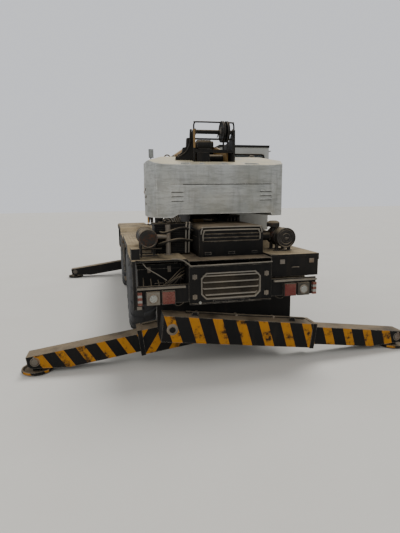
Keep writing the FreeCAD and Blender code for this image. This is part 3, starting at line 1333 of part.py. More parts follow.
def head_sheaves():
    """The rope wheels in the boom head, on their two pins."""
    width, _ = section_size(4)
    pitch = (width - 40) / HEAD_SHEAVES
    wheels = []
    for index in range(HEAD_SHEAVES):
        x = pitch * (index - (HEAD_SHEAVES - 1) / 2)
        wheels.append(sheave(x, HEAD_Y, PIVOT_Z - HEAD_DROP, HEAD_SHEAVE_RADIUS, 40.05,
                             HEAD_SHEAVE_WIDTH))
    for x in (-60.0, 60.0):
        wheels.append(sheave(x, HEAD_Y - 260, PIVOT_Z + 110, 120.0, 30.05, HEAD_SHEAVE_WIDTH))
    return Part.makeCompound(wheels)


def hook_centre():
    """The hook block's sheave axis."""
    return V(0, HEAD_Y, PIVOT_Z - HEAD_DROP - HOOK_DROP)


def hook_falls():
    """The straight rope parts between the head and the hook block."""
    width, _ = section_size(4)
    pitch = (width - 40) / HEAD_SHEAVES
    top = PIVOT_Z - HEAD_DROP
    bottom = hook_centre().z
    # The rope lies in the groove's flanks
    flank = math.hypot(1.0, 2 * GROOVE_DEPTH / HEAD_SHEAVE_WIDTH)
    reach = HEAD_SHEAVE_RADIUS - GROOVE_DEPTH + ROPE_RADIUS * flank + SEAT_GAP
    falls = []
    for index in (1, 2):
        x = pitch * (index - (HEAD_SHEAVES - 1) / 2)
        for end in (-1, 1):
            falls.append(bar(V(x, HEAD_Y + end * reach, bottom), UP, ROPE_RADIUS, top - bottom, 6))
    return falls


def hook_block():
    """Block cheeks, sheaves, weights and the hook, with its rope falls."""
    centre = hook_centre()
    width, _ = section_size(4)
    pitch = (width - 40) / HEAD_SHEAVES
    pieces = []
    for index in (1, 2):
        x = pitch * (index - (HEAD_SHEAVES - 1) / 2)
        pieces.append(bar(V(x - 15, centre.y, centre.z), ACROSS, HOOK_SHEAVE_RADIUS, 30.0,
                          DRUM_SIDES))
    axle_pin = bar(V(-100, centre.y, centre.z), ACROSS, 36.0, 200.0)
    plates = []
    for _, side in SIDES:
        x0 = side * 75.0
        x1 = side * (75.0 + HOOK_PLATE)
        outline = [(-150.0, 60.0), (-150.0, -120.0), (-90.0, -330.0), (90.0, -330.0),
                   (150.0, -120.0), (150.0, 60.0), (60.0, 210.0), (-60.0, 210.0)]
        plates.append(side_plate([(centre.y + a, centre.z + z) for a, z in outline],
                                 min(x0, x1), max(x0, x1)))
    crosshead = block(-95.0, 95.0, centre.y - 70, centre.y + 70, centre.z - 330, centre.z - 230)
    shank = bar(V(0, centre.y, centre.z - 445), UP, 36.0, 145.0, 8)
    thick = HOOK_BAR_RADIUS
    middle = HOOK_EYE_RADIUS + thick
    section = [(thick * math.cos(turn), middle + thick * math.sin(turn))
               for turn in [math.radians(45.0 * step) for step in range(8)]]
    ring = turned(section, V(0, centre.y, centre.z - 520), ACROSS, 16)
    mouth = block(-60.0, 60.0, centre.y + 20, centre.y + 200, centre.z - 520, centre.z - 440)
    return joined(pieces + [axle_pin] + plates + [crosshead, shank, ring.cut(mouth)]
                  + hook_falls())


# Lift cylinder

def cylinder_ends():
    """Foot pin and boom-side eye of the lift cylinder, at rest."""
    foot = V(0, REAR_Y + CYLINDER_FOOT_AHEAD, CYLINDER_FOOT_Z)
    eye = V(0, PIVOT_Y + CYLINDER_EYE_ALONG, PIVOT_Z - CYLINDER_EYE_BELOW)
    return foot, eye


def cylinder_barrel():
    """The barrel with its foot eye and the gland at its mouth."""
    foot, eye = cylinder_ends()
    line = eye - foot
    line.normalize()
    barrel = bar(foot + line * 90, line, BARREL_RADIUS, BARREL_LENGTH - 90, DRUM_SIDES)
    gland = bar(foot + line * (BARREL_LENGTH - 70), line, BARREL_RADIUS + 12, 70.0, DRUM_SIDES)
    hollow = bar(foot + line * 260, line, ROD_RADIUS + SEAT_GAP, BARREL_LENGTH, DRUM_SIDES)
    lug = bar(foot - ACROSS * EYE_WIDTH / 2, ACROSS, CYLINDER_EYE_RADIUS, EYE_WIDTH)
    bore = rod(foot - ACROSS * EYE_WIDTH, ACROSS, CYLINDER_PIN_RADIUS + RUNNING_CLEARANCE,
               2 * EYE_WIDTH)
    return joined([barrel, gland, lug]).cut(hollow).cut(bore)


def cylinder_rod():
    """The rod and its eye, with the pin's length that runs inside the eye."""
    foot, eye = cylinder_ends()
    line = eye - foot
    length = line.Length
    line.normalize()
    shaft = bar(foot + line * 300, line, ROD_RADIUS, length - 300 - 60, DRUM_SIDES)
    lug = bar(eye - ACROSS * EYE_WIDTH / 2, ACROSS, CYLINDER_EYE_RADIUS - 15, EYE_WIDTH)
    return joined([shaft, lug])


def all_parts():
    """Every node's name and shape."""
    parts = {
        "chassis_frame": chassis_frame(),
        "rear_panel": rear_panel(),
        "rear_grille": rear_grille(),
        "engine": engine(),
        "engine_hood": engine_hood(),
        "air_cleaner": air_cleaner(),
        "muffler": muffler(),
        "front_bumper": front_bumper(),
        "headlamps": headlamps(),
        "leaf_springs": leaf_springs(),
        "driveline": driveline(),
        "slewing_ring": slewing_ring(),
        "slewing_platform": slewing_platform(),
        "counterweight": counterweight(),
        "winches": winches(),
        "tail_guard": tail_guard(),
        "cab_shell": cab_shell(),
        "cab_glass": cab_glass(),
        "cab_door": cab_door(),
        "cab_door_glass": door_glass(),
        "cab_seat": seat(),
        "cab_controls": cab_controls(),
        "boom_base": boom_base(),
        "boom_section_2": boom_section(2),
        "boom_section_3": boom_section(3),
        "boom_section_4": boom_top_section(),
        "boom_head_sheaves": head_sheaves(),
        "hook_block": hook_block(),
        "lift_cylinder_barrel": cylinder_barrel(),
        "lift_cylinder_rod": cylinder_rod(),
    }
    parts["decks"] = Part.makeCompound([joined([deck(-1), deck_box()]), joined([deck(1), tool_box()]),
                                         front_cover()])
    parts["rear_lamps"] = Part.makeCompound([rear_lamps(-1), rear_lamps(1)])
    parts["side_tanks"] = Part.makeCompound([side_tank(-1), side_tank(1)])
    parts["axles"] = Part.makeCompound([axle(axle_y) for _, axle_y in AXLES])
    parts["outrigger_brackets"] = Part.makeCompound([outrigger_bracket(ahead)
                                                     for _, ahead in OUTRIGGERS])
    for end, ahead in OUTRIGGERS:
        for name, side in SIDES:
            parts[f"outrigger_box_{end}_{name}"] = outrigger_box(ahead, side)
            parts[f"outrigger_beam_{end}_{name}"] = Part.makeCompound(
                [outrigger_beam(ahead, side), outrigger_float(ahead, side)])
    for end, axle_y in AXLES:
        for name, side in SIDES:
            parts[f"knuckle_{end}_{name}"] = knuckle(axle_y, side)
            parts[f"wheel_{end}_{name}"] = wheel(axle_y, side)
            parts[f"tyre_{end}_{name}"] = tyre(axle_y, side)
    return parts


def main():
    """Write one STEP file per node."""
    os.makedirs("parts", exist_ok=True)
    for name, shape in all_parts().items():
        if not shape.isValid() or not shape.Solids:
            print("check", name, shape.isValid(), len(shape.Solids))
        shape.exportStep(f"parts/{name}.step")


if __name__ == "__main__":
    main()
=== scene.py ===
"""Looks of an old two-axle rough-terrain mobile crane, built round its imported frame.

Every length is in metres, in the row frame: +X is the crane's right, +Y its front, +Z up.
S is the distance ahead of the carrier's rear panel.
"""
import json
import logging
import math
from dataclasses import dataclass, field
from enum import Enum
from typing import Callable, Iterable, Sequence

import bmesh
import bpy
from mathutils import Euler, Matrix, Vector

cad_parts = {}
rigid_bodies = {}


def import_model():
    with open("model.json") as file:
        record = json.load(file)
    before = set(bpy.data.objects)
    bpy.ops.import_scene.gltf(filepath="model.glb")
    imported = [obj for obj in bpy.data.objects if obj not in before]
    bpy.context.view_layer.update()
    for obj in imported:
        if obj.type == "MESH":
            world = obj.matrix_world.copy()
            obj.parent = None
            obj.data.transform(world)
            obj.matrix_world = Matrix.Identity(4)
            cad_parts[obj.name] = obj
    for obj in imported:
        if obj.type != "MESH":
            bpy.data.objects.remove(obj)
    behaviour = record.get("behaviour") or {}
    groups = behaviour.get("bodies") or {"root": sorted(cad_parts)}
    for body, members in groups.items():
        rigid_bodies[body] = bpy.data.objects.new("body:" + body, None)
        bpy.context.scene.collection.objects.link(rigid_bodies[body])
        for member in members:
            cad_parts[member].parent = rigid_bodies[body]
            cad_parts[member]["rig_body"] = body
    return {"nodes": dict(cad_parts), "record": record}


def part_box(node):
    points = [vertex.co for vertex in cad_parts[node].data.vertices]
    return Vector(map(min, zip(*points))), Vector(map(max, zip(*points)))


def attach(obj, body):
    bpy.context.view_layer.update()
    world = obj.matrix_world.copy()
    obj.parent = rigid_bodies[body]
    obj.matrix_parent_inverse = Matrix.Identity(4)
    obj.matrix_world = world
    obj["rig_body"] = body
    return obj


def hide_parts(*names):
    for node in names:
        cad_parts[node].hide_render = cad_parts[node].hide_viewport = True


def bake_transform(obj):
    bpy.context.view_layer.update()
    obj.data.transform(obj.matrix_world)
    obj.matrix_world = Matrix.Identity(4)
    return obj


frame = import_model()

LOG = logging.getLogger("crane")
Socket = bpy.types.NodeSocket
Point = Sequence[float]

REAR_Y = -5.3875
PIVOT = Vector((0.0, -4.1875, 2.87))
AXLE_Z = 0.745
CORNERS = ("rear_left", "rear_right", "front_left", "front_right")


def at(x: float, ahead: float, z: float) -> Vector:
    """A point from its distance ahead of the rear panel."""
    return Vector((x, REAR_Y + ahead, z))


def tint(code: str) -> tuple[float, float, float, float]:
    """A linear colour from its six-digit screen code.

    Args:
        code: Red, green and blue as two hexadecimal digits each.

    Returns:
        The colour with full alpha, as Blender's sockets take it.
    """
    parts = [int(code[i:i + 2], 16) / 255 for i in (0, 2, 4)]
    red, green, blue = (c / 12.92 if c <= 0.04045 else ((c + 0.055) / 1.055) ** 2.4 for c in parts)
    return red, green, blue, 1.0


class Axis(Enum):
    """The three directions of the row frame."""

    X = (1.0, 0.0, 0.0)
    Y = (0.0, 1.0, 0.0)
    Z = (0.0, 0.0, 1.0)


class Graph:
    """Adds nodes to one tree and joins them as they are added."""

    def __init__(self, tree: bpy.types.NodeTree) -> None:
        """Keeps the tree that the nodes go in."""
        self.tree = tree

    def add(self, kind: str, inputs: dict | None = None, **settings: object) -> bpy.types.Node:
        """Adds one node.

        Args:
            kind: Blender's name of the node type.
            inputs: Values or sockets for its inputs, by name or number.
            settings: Properties of the node itself.

        Returns:
            The new node.
        """
        node = self.tree.nodes.new(kind)
        for key, value in settings.items():
            setattr(node, key, value)
        for key, value in (inputs or {}).items():
            if isinstance(value, Socket):
                self.tree.links.new(value, node.inputs[key])
            else:
                node.inputs[key].default_value = value
        return node

    def maths(self, operation: str, first: object, second: object = 0.5, clamp: bool = False) -> Socket:
        """The result of one calculation on values or sockets."""
        node = self.add("ShaderNodeMath", {0: first, 1: second}, operation=operation, use_clamp=clamp)
        return node.outputs[0]

    def mix(self, first: object, second: object, share: object, blend: str = "MIX") -> Socket:
        """The colour that is share of the way from first to second."""
        node = self.add("ShaderNodeMix", {0: share, 6: first, 7: second}, data_type="RGBA", blend_type=blend)
        return node.outputs[2]

    def ramp(self, value: Socket, low: float, high: float) -> Socket:
        """A value stretched from 0 at low to 1 at high, and clamped."""
        node = self.add("ShaderNodeMapRange", {0: value, 1: low, 2: high}, interpolation_type="SMOOTHSTEP")
        return node.outputs[0]

    def noise(self, place: Socket, scale: float, detail: float = 4.0, rough: float = 0.55) -> Socket:
        """Noise from 0 to 1 at a place."""
        node = self.add("ShaderNodeTexNoise",
                        {"Vector": place, "Scale": scale, "Detail": detail, "Roughness": rough})
        return node.outputs["Fac"]

    def moved(self, place: Socket, scale: Point = (1, 1, 1), shift: Point = (0, 0, 0),
              turn: Point = (0, 0, 0)) -> Socket:
        """A place that is moved, turned and stretched by a Mapping node."""
        node = self.add("ShaderNodeMapping",
                        {"Vector": place, "Scale": scale, "Location": shift, "Rotation": turn})
        return node.outputs[0]


class Groups:
    """The effects that several finishes share, each one node group."""

    def __init__(self) -> None:
        """Builds every group once."""
        self.wear = self._wear_and_highlight()
        self.dust = self._dust()
        self.rust = self._rust()
        self.streaks = self._streaks()
        self.grain = self._grain()

    @staticmethod
    def _start(name: str, inputs: dict[str, object], outputs: dict[str, str]) -> tuple[Graph, dict, object]:
        """Makes an empty group with its sockets.

        Args:
            name: The group's name.
            inputs: Default value of each input; a tuple is a colour.
            outputs: Socket type of each output.

        Returns:
            The graph, the input sockets by name and the output node.
        """
        tree = bpy.data.node_groups.new(name, "ShaderNodeTree")
        for key, value in inputs.items():
            kind = "NodeSocketColor" if isinstance(value, tuple) else "NodeSocketFloat"
            tree.interface.new_socket(key, in_out="INPUT", socket_type=kind).default_value = value
        for key, kind in outputs.items():
            tree.interface.new_socket(key, in_out="OUTPUT", socket_type=kind)
        graph = Graph(tree)
        source = graph.add("NodeGroupInput")
        return graph, source.outputs, graph.add("NodeGroupOutput")

    def _wear_and_highlight(self) -> bpy.types.NodeTree:
        """A mask along edges: paint that rubbing has worn through, and, with a pale edge colour as on the
        counterweight, a painted highlight along the edges.
        """
        graph, given, out = self._start(
            "edge_wear_and_highlight", {"Width": 0.012, "Amount": 0.5, "Breakup": 9.0}, {"Mask": "NodeSocketFloat"})
        place = graph.add("ShaderNodeTexCoord").outputs["Object"]
        rounded = graph.add("ShaderNodeBevel", {"Radius": given["Width"]}, samples=4).outputs[0]
        flat = graph.add("ShaderNodeNewGeometry").outputs["Normal"]
        turned = graph.add("ShaderNodeVectorMath", {0: rounded, 1: flat}, operation="DOT_PRODUCT").outputs["Value"]
        edge = graph.ramp(graph.maths("SUBTRACT", 1.0, turned), 0.01, 0.16)
        broken = graph.noise(place, 11.0, 5.0, 0.7)
        self_scaled = graph.maths("ADD", graph.maths("MULTIPLY", broken, 1.6), -0.55, True)
        mask = graph.maths("MULTIPLY", graph.maths("MULTIPLY", edge, self_scaled), given["Amount"], True)
        graph.tree.links.new(graph.maths("MULTIPLY", mask, 2.2, True), out.inputs["Mask"])
        return graph.tree

    def _dust(self) -> bpy.types.NodeTree:
        """Dust that lies on top faces and clings low down."""
        graph, given, out = self._start(
            "dust_film",
            {"Colour": (0.1, 0.1, 0.1, 1.0), "Dust": tint("b3a184"), "Lying": 0.6, "Clinging": 0.2},
            {"Colour": "NodeSocketColor", "Mask": "NodeSocketFloat"})
        where = graph.add("ShaderNodeTexCoord")
        up = graph.add("ShaderNodeSeparateXYZ", {0: where.outputs["Normal"]}).outputs["Z"]
        height = graph.add("ShaderNodeSeparateXYZ", {0: where.outputs["Object"]}).outputs["Z"]
        cloud = graph.noise(where.outputs["Object"], 2.6, 6.0, 0.62)
        fine = graph.noise(where.outputs["Object"], 38.0, 3.0, 0.6)
        lying = graph.maths("MULTIPLY", graph.ramp(up, 0.25, 0.85), graph.ramp(cloud, 0.18, 0.62))
        lying = graph.maths("MULTIPLY", lying, given["Lying"])
        low = graph.maths("SUBTRACT", 1.35, graph.maths("MULTIPLY", height, 0.42), True)
        clinging = graph.maths("MULTIPLY", graph.ramp(cloud, 0.30, 0.72), low)
        clinging = graph.maths("MULTIPLY", clinging, given["Clinging"])
        both = graph.maths("MAXIMUM", lying, clinging)
        mask = graph.maths("MULTIPLY", both, graph.maths("ADD", graph.maths("MULTIPLY", fine, 0.7), 0.62), True)
        graph.tree.links.new(graph.mix(given["Colour"], given["Dust"], mask), out.inputs["Colour"])
        graph.tree.links.new(mask, out.inputs["Mask"])
        return graph.tree

    def _rust(self) -> bpy.types.NodeTree:
        """Rust that breaks through in patches and specks."""
        graph, given, out = self._start(
            "rust_patches",
            {"Colour": (0.1, 0.1, 0.1, 1.0), "Rust": tint("6b3d1f"), "Amount": 0.3, "Scale": 3.0},
            {"Colour": "NodeSocketColor", "Mask": "NodeSocketFloat"})
        place = graph.add("ShaderNodeTexCoord").outputs["Object"]
        large = graph.add("ShaderNodeTexNoise", {"Vector": place, "Scale": given["Scale"], "Detail": 7.0,
                                                "Roughness": 0.68}).outputs["Fac"]
        speck = graph.noise(place, 46.0, 3.0, 0.6)
        blend = graph.maths("ADD", graph.maths("MULTIPLY", large, 0.72), graph.maths("MULTIPLY", speck, 0.28))
        limit = graph.maths("SUBTRACT", 0.74, graph.maths("MULTIPLY", given["Amount"], 0.36))
        mask = graph.maths("MULTIPLY", graph.maths("SUBTRACT", blend, limit), 9.0, True)
        deep = graph.mix(given["Rust"], tint("2e1a10"), graph.noise(place, 17.0, 4.0))
        graph.tree.links.new(graph.mix(given["Colour"], deep, mask), out.inputs["Colour"])
        graph.tree.links.new(mask, out.inputs["Mask"])
        return graph.tree

    def _streaks(self) -> bpy.types.NodeTree:
        """Stains that rain has drawn down upright faces."""
        graph, given, out = self._start(
            "rain_streaks",
            {"Colour": (0.1, 0.1, 0.1, 1.0), "Stain": tint("3a3229"), "Amount": 0.3, "Fineness": 6.0},
            {"Colour": "NodeSocketColor", "Mask": "NodeSocketFloat"})
        where = graph.add("ShaderNodeTexCoord")
        parts = graph.add("ShaderNodeSeparateXYZ", {0: where.outputs["Object"]}).outputs
        across = graph.maths("MULTIPLY", graph.maths("ADD", parts["X"], parts["Y"]), given["Fineness"])
        drawn = graph.add("ShaderNodeCombineXYZ", {0: across, 1: 0.0, 2: graph.maths("MULTIPLY", parts["Z"], 0.9)})
        line = graph.noise(drawn.outputs[0], 1.7, 5.0, 0.7)
        cloud = graph.noise(where.outputs["Object"], 1.4, 3.0)
        side = graph.add("ShaderNodeSeparateXYZ", {0: where.outputs["Normal"]}).outputs["Z"]
        upright = graph.maths("SUBTRACT", 1.0, graph.maths("ABSOLUTE", side), True)
        mask = graph.maths("MULTIPLY", graph.ramp(line, 0.46, 0.74), graph.ramp(cloud, 0.34, 0.62))
        mask = graph.maths("MULTIPLY", graph.maths("MULTIPLY", mask, upright), given["Amount"], True)
        graph.tree.links.new(graph.mix(given["Colour"], given["Stain"], mask), out.inputs["Colour"])
        graph.tree.links.new(mask, out.inputs["Mask"])
        return graph.tree

    def _grain(self) -> bpy.types.NodeTree:
        """Fine unevenness for a Bump node."""
        graph, given, out = self._start(
            "surface_grain", {"Scale": 60.0, "Waves": 3.0}, {"Height": "NodeSocketFloat"})
        place = graph.add("ShaderNodeTexCoord").outputs["Object"]
        fine = graph.add("ShaderNodeTexNoise", {"Vector": place, "Scale": given["Scale"], "Detail": 5.0}).outputs["Fac"]
        wave = graph.add("ShaderNodeTexNoise", {"Vector": place, "Scale": given["Waves"], "Detail": 2.0}).outputs["Fac"]
        graph.tree.links.new(graph.maths("ADD", graph.maths("MULTIPLY", fine, 0.35), wave), out.inputs["Height"])
        return graph.tree


GROUPS = Groups()


@dataclass(frozen=True)
class Finish:
    """A weathered surface: its paint, what shows through it and what lies on it."""

    name: str
    paint: str
    tone: str
    roughness: float = 0.62
    metallic: float = 0.0
    rust: float = 0.3
    rust_colour: str = "6b3d1f"
    rust_scale: float = 3.0
    lying: float = 0.6
    clinging: float = 0.25
    dust: str = "b3a184"
    streaks: float = 0.3
    stain: str = "3a3229"
    fineness: float = 6.0
    # Amount, width and colour of the edge mask: worn paint on most finishes; on the counterweight worn paint and a
    # painted highlight along its edges.
    wear: float = 0.5
    wear_and_highlight_width: float = 0.012
    bare_and_highlight: str = "77706a"
    bump: float = 0.25
    grain: float = 60.0
    brush: float = 0.0
    gloss: float = 0.5

    def colour(self, graph: Graph) -> Socket:
        """The clean paint, uneven in tone."""
        place = graph.add("ShaderNodeTexCoord").outputs["Object"]
        cloud = graph.ramp(graph.noise(place, 1.6, 6.0, 0.65), 0.32, 0.68)
        fine = graph.noise(place, 24.0, 4.0, 0.6)
        share = graph.maths("ADD", graph.maths("MULTIPLY", cloud, 0.75), graph.maths("MULTIPLY", fine, 0.3), True)
        plain = graph.mix(tint(self.paint), tint(self.tone), share)
        if not self.brush:
            return plain
        strokes = graph.ramp(graph.noise(graph.moved(place, (2.2, 2.2, 13.0)), 1.9, 8.0, 0.72), 0.44, 0.60)
        return graph.mix(plain, tint(self.stain), graph.maths("MULTIPLY", strokes, self.brush))

    def group(self, graph: Graph, tree: bpy.types.NodeTree, inputs: dict) -> bpy.types.Node:
        """Places one shared group in this finish."""
        node = graph.add("ShaderNodeGroup", node_tree=tree)
        for key, value in inputs.items():
            if isinstance(value, Socket):
                graph.tree.links.new(value, node.inputs[key])
            else:
                node.inputs[key].default_value = value
        return node

    def material(self) -> bpy.types.Material:
        """The finish as a Blender material, made once."""
        found = bpy.data.materials.get(self.name)
        if found:
            return found
        made = bpy.data.materials.new(self.name)
        made.use_nodes = True
        made.node_tree.nodes.clear()
        graph = Graph(made.node_tree)
        streaks = self.group(graph, GROUPS.streaks, {"Colour": self.colour(graph), "Stain": tint(self.stain),
                                                    "Amount": self.streaks, "Fineness": self.fineness})
        rust = self.group(graph, GROUPS.rust, {"Colour": streaks.outputs["Colour"], "Rust": tint(self.rust_colour),
                                              "Amount": self.rust, "Scale": self.rust_scale})
        wear = self.group(graph, GROUPS.wear, {"Width": self.wear_and_highlight_width, "Amount": self.wear})
        # The edge colour goes on along the edges: worn paint, and where it is pale, as on the counterweight, a painted
        # highlight.
        worn = graph.mix(rust.outputs["Colour"], tint(self.bare_and_highlight), wear.outputs["Mask"])
        dust = self.group(graph, GROUPS.dust, {"Colour": worn, "Dust": tint(self.dust),
                                              "Lying": self.lying, "Clinging": self.clinging})
        dull = graph.maths("MAXIMUM", rust.outputs["Mask"], dust.outputs["Mask"])
        rough = graph.add("ShaderNodeMapRange", {0: dull, 3: self.roughness, 4: 0.93}).outputs[0]
        height = self.group(graph, GROUPS.grain, {"Scale": self.grain}).outputs["Height"]
        height = graph.maths("ADD", height, graph.maths("MULTIPLY", rust.outputs["Mask"], 0.35))
        bump = graph.add("ShaderNodeBump", {"Strength": self.bump, "Distance": 0.012, "Height": height})
        shader = graph.add("ShaderNodeBsdfPrincipled", {
            "Base Color": dust.outputs["Colour"], "Roughness": rough, "Normal": bump.outputs[0],
            "Metallic": self.metallic, "Specular IOR Level": self.gloss})
        graph.add("ShaderNodeOutputMaterial", {"Surface": shader.outputs[0]})
        return made


@dataclass(frozen=True)
class Striped(Finish):
    """A finish with slanted warning stripes across upright faces."""

    stripe: str = "a87325"
    pitch: float = 0.36
    share: float = 0.42
    slant: float = 0.9
    phase: float = 0.0
    low: float = -9.0
    high: float = 9.0
    both_sides: bool = True

    def colour(self, graph: Graph) -> Socket:
        """Worn stripes over the dark paint."""
        base = super().colour(graph)
        place = graph.add("ShaderNodeTexCoord").outputs["Object"]
        parts = graph.add("ShaderNodeSeparateXYZ", {0: place}).outputs
        along = graph.maths("ADD", parts["X"], graph.maths("MULTIPLY", parts["Z"], self.slant))
        turn = graph.maths("FRACT", graph.maths("ADD", graph.maths("DIVIDE", along, self.pitch), self.phase))
        edge = graph.maths("LESS_THAN", turn, self.share)
        inside = graph.maths("MULTIPLY", graph.maths("GREATER_THAN", parts["X"], self.low),
                             graph.maths("LESS_THAN", parts["X"], self.high))
        side = graph.add("ShaderNodeSeparateXYZ",
                         {0: graph.add("ShaderNodeTexCoord").outputs["Normal"]}).outputs["Y"]
        side = graph.maths("ABSOLUTE", side) if self.both_sides else side
        facing = graph.maths("GREATER_THAN", side, 0.7)
        worn = graph.ramp(graph.noise(place, 7.0, 6.0, 0.72), 0.34, 0.52)
        mask = graph.maths("MULTIPLY", graph.maths("MULTIPLY", edge, facing), graph.maths("MULTIPLY", inside, worn))
        return graph.mix(base, tint(self.stripe), mask)


@dataclass(frozen=True)
class Clear:
    """Glass or clear plastic."""

    name: str
    paint: str
    roughness: float = 0.08
    transmission: float = 0.9
    dust: float = 0.25

    def material(self) -> bpy.types.Material:
        """The glass, with dust on it."""
        found = bpy.data.materials.get(self.name)
        if found:
            return found
        made = bpy.data.materials.new(self.name)
        made.use_nodes = True
        made.node_tree.nodes.clear()
        graph = Graph(made.node_tree)
        node = graph.add("ShaderNodeGroup", node_tree=GROUPS.dust)
        node.inputs["Colour"].default_value = tint(self.paint)
        node.inputs["Lying"].default_value = 0.6
        node.inputs["Clinging"].default_value = self.dust
        rough = graph.add("ShaderNodeMapRange", {0: node.outputs["Mask"], 3: self.roughness, 4: 0.8}).outputs[0]
        shader = graph.add("ShaderNodeBsdfPrincipled", {
            "Base Color": node.outputs["Colour"], "Roughness": rough, "IOR": 1.45,
            "Transmission Weight": self.transmission})
        shadow = graph.add("ShaderNodeLightPath").outputs["Is Shadow Ray"]
        clear = graph.add("ShaderNodeBsdfTransparent", {"Color": tint("dfe6e4")})
        both = graph.add("ShaderNodeMixShader", {0: graph.maths("MULTIPLY", shadow, self.transmission),
                                                1: shader.outputs[0], 2: clear.outputs[0]})
        graph.add("ShaderNodeOutputMaterial", {"Surface": both.outputs[0]})
        return made


class Paints:
    """Every finish of this crane."""

    carrier = Finish("carrier_black", "0e0e0e", "191817", rust=0.24, lying=0.6, clinging=0.0, wear=0.9, gloss=0.12,
                     bare_and_highlight="8b8479", dust="94836a")
    deck = Finish("deck_black", "121111", "1e1c1a", rust=0.28, lying=0.85, clinging=0.0, wear=0.8, bare_and_highlight="8b8479", gloss=0.12,
                  dust="a89677")
    bars = Finish("grille_grey", "77736a", "5b574f", rust=0.35, lying=0.5, clinging=0.15, wear=0.4, gloss=0.25)
    louvre = Finish("louvre_black", "0d0d0d", "181716", rust=0.2, lying=0.25, clinging=0.0, wear=0.1, gloss=0.1)
    engine = Finish("engine_iron", "282724", "1a1916", metallic=0.3, rust=0.5, lying=0.55, clinging=0.2, bump=0.5,
                    gloss=0.2)
    drum = Finish("drum_grey", "2b2a28", "1c1b19", rust=0.45, lying=0.5, clinging=0.02, wear=0.6, gloss=0.15)
    plastic = Finish("lamp_housing", "1e1e1d", "2b2a28", roughness=0.45, rust=0.0, lying=0.6, clinging=0.1, wear=0.1,
                     gloss=0.3)
    spring = Finish("spring_steel", "3a3531", "54402f", metallic=0.4, rust=0.75, lying=0.7, clinging=0.5)
    upper = Finish("upper_black", "151514", "211f1d", rust=0.32, lying=0.65, clinging=0.02, wear=0.8, bare_and_highlight="8b8479",
                   gloss=0.12)
    # The counterweight's pale, wide and strong edge mask is partly edge wear and partly a painted highlight along its
    # edges.
    weight = Finish("weight_white", "a0a2a0", "83857f", rust=0.16, rust_colour="77604a", rust_scale=2.2, lying=0.85,
                    clinging=0.3, dust="cdbf9c", streaks=0.8, stain="60615e", wear=0.9, bare_and_highlight="e2e2dc", bump=0.6,
                    wear_and_highlight_width=0.03, brush=0.42)
    guard = Finish("guard_black", "101010", "1c1b19", rust=0.3, lying=0.4, clinging=0.0, wear=0.5, gloss=0.12)
    cab = Finish("cab_grey", "a6a8a5", "8d8e89", rust=0.2, lying=0.8, clinging=0.2, streaks=0.5, stain="5d584e",
                 wear=0.4, bare_and_highlight="6f665c")
    boom = Finish("boom_ochre", "8f6c30", "6d5326", rust=0.3, lying=0.55, clinging=0.1, streaks=0.5, stain="4a3a22",
                  wear=0.7, bare_and_highlight="5d4a37")
    hook = Finish("hook_ochre", "b98427", "8f6520", rust=0.5, lying=0.6, clinging=0.2, wear=0.8, bare_and_highlight="4d4238")
    chrome = Finish("rod_chrome", "b9bcbe", "9da1a4", roughness=0.18, metallic=1.0, rust=0.05, lying=0.2,
                    clinging=0.05, streaks=0.0, wear=0.0, bump=0.03)
    knuckle = Finish("knuckle_steel", "3a3835", "4c4640", metallic=0.3, rust=0.6, lying=0.8, clinging=0.6)
    wheel = Finish("wheel_paint", "4a4741", "5d5546", rust=0.45, lying=0.7, clinging=0.65, wear=0.7)
    tyre = Finish("tyre_rubber", "2b2a28", "3a3733", roughness=0.85, rust=0.0, lying=0.75, clinging=0.8, wear=0.25,
                  bare_and_highlight="57534c", bump=0.6, grain=90.0)
    vinyl = Finish("seat_vinyl", "2c2a28", "3b3733", roughness=0.5, rust=0.0, lying=0.5, clinging=0.1, streaks=0.1,
                   wear=0.3, bare_and_highlight="6b6157", bump=0.35, grain=220.0)
    control = Finish("control_black", "242424", "333231", roughness=0.5, rust=0.0, lying=0.6, clinging=0.1, wear=0.1)
    rubber = Finish("seal_rubber", "141414", "1e1d1c", roughness=0.8, rust=0.0, lying=0.5, clinging=0.05, wear=0.0,
                    gloss=0.2)
    rope = Finish("rope_steel", "55504a", "3c3833", metallic=0.5, rust=0.4, lying=0.3, clinging=0.1, wear=0.0,
                  bump=0.6, grain=300.0)
    ochre = Finish("stripe_ochre", "b9822c", "9a6a20", rust=0.3, lying=0.4, clinging=0.3, wear=0.4)
    zinc = Finish("bolt_steel", "6a655e", "4f4a44", metallic=0.5, rust=0.55, lying=0.5, clinging=0.3, wear=0.5)
    tank = Finish("tank_black", "171716", "24221f", rust=0.4, lying=0.65, clinging=0.15, wear=0.9, bare_and_highlight="8b8479",
                  gloss=0.15)
    glass = Clear("cab_window", "8d9997", roughness=0.04, transmission=0.96, dust=0.12)
    white_lens = Clear("white_lens", "c4c8c3", roughness=0.15, transmission=0.6, dust=0.3)
    red_lens = Clear("red_lens", "6b100c", roughness=0.2, transmission=0.3, dust=0.22)
    amber_lens = Clear("amber_lens", "b8610e", roughness=0.2, transmission=0.4, dust=0.5)


NODE_FINISH: dict[str, Finish | Clear] = {
    "carrier_paint": Paints.carrier, "deck_paint": Paints.deck, "grille_paint": Paints.bars,
    "engine_casting": Paints.engine, "drum_paint": Paints.drum, "lamp_plastic": Paints.plastic,
    "spring_steel": Paints.spring, "upper_paint": Paints.upper, "weight_paint": Paints.weight,
    "guard_steel": Paints.guard, "cab_paint": Paints.cab, "cab_glass": Paints.glass,
    "seat_vinyl": Paints.vinyl, "control_plastic": Paints.control, "boom_paint": Paints.boom,
    "rod_chrome": Paints.chrome, "hook_paint": Paints.hook, "outrigger_paint": Paints.carrier,
    "knuckle_steel": Paints.knuckle, "wheel_paint": Paints.wheel, "tyre_rubber": Paints.tyre,
}


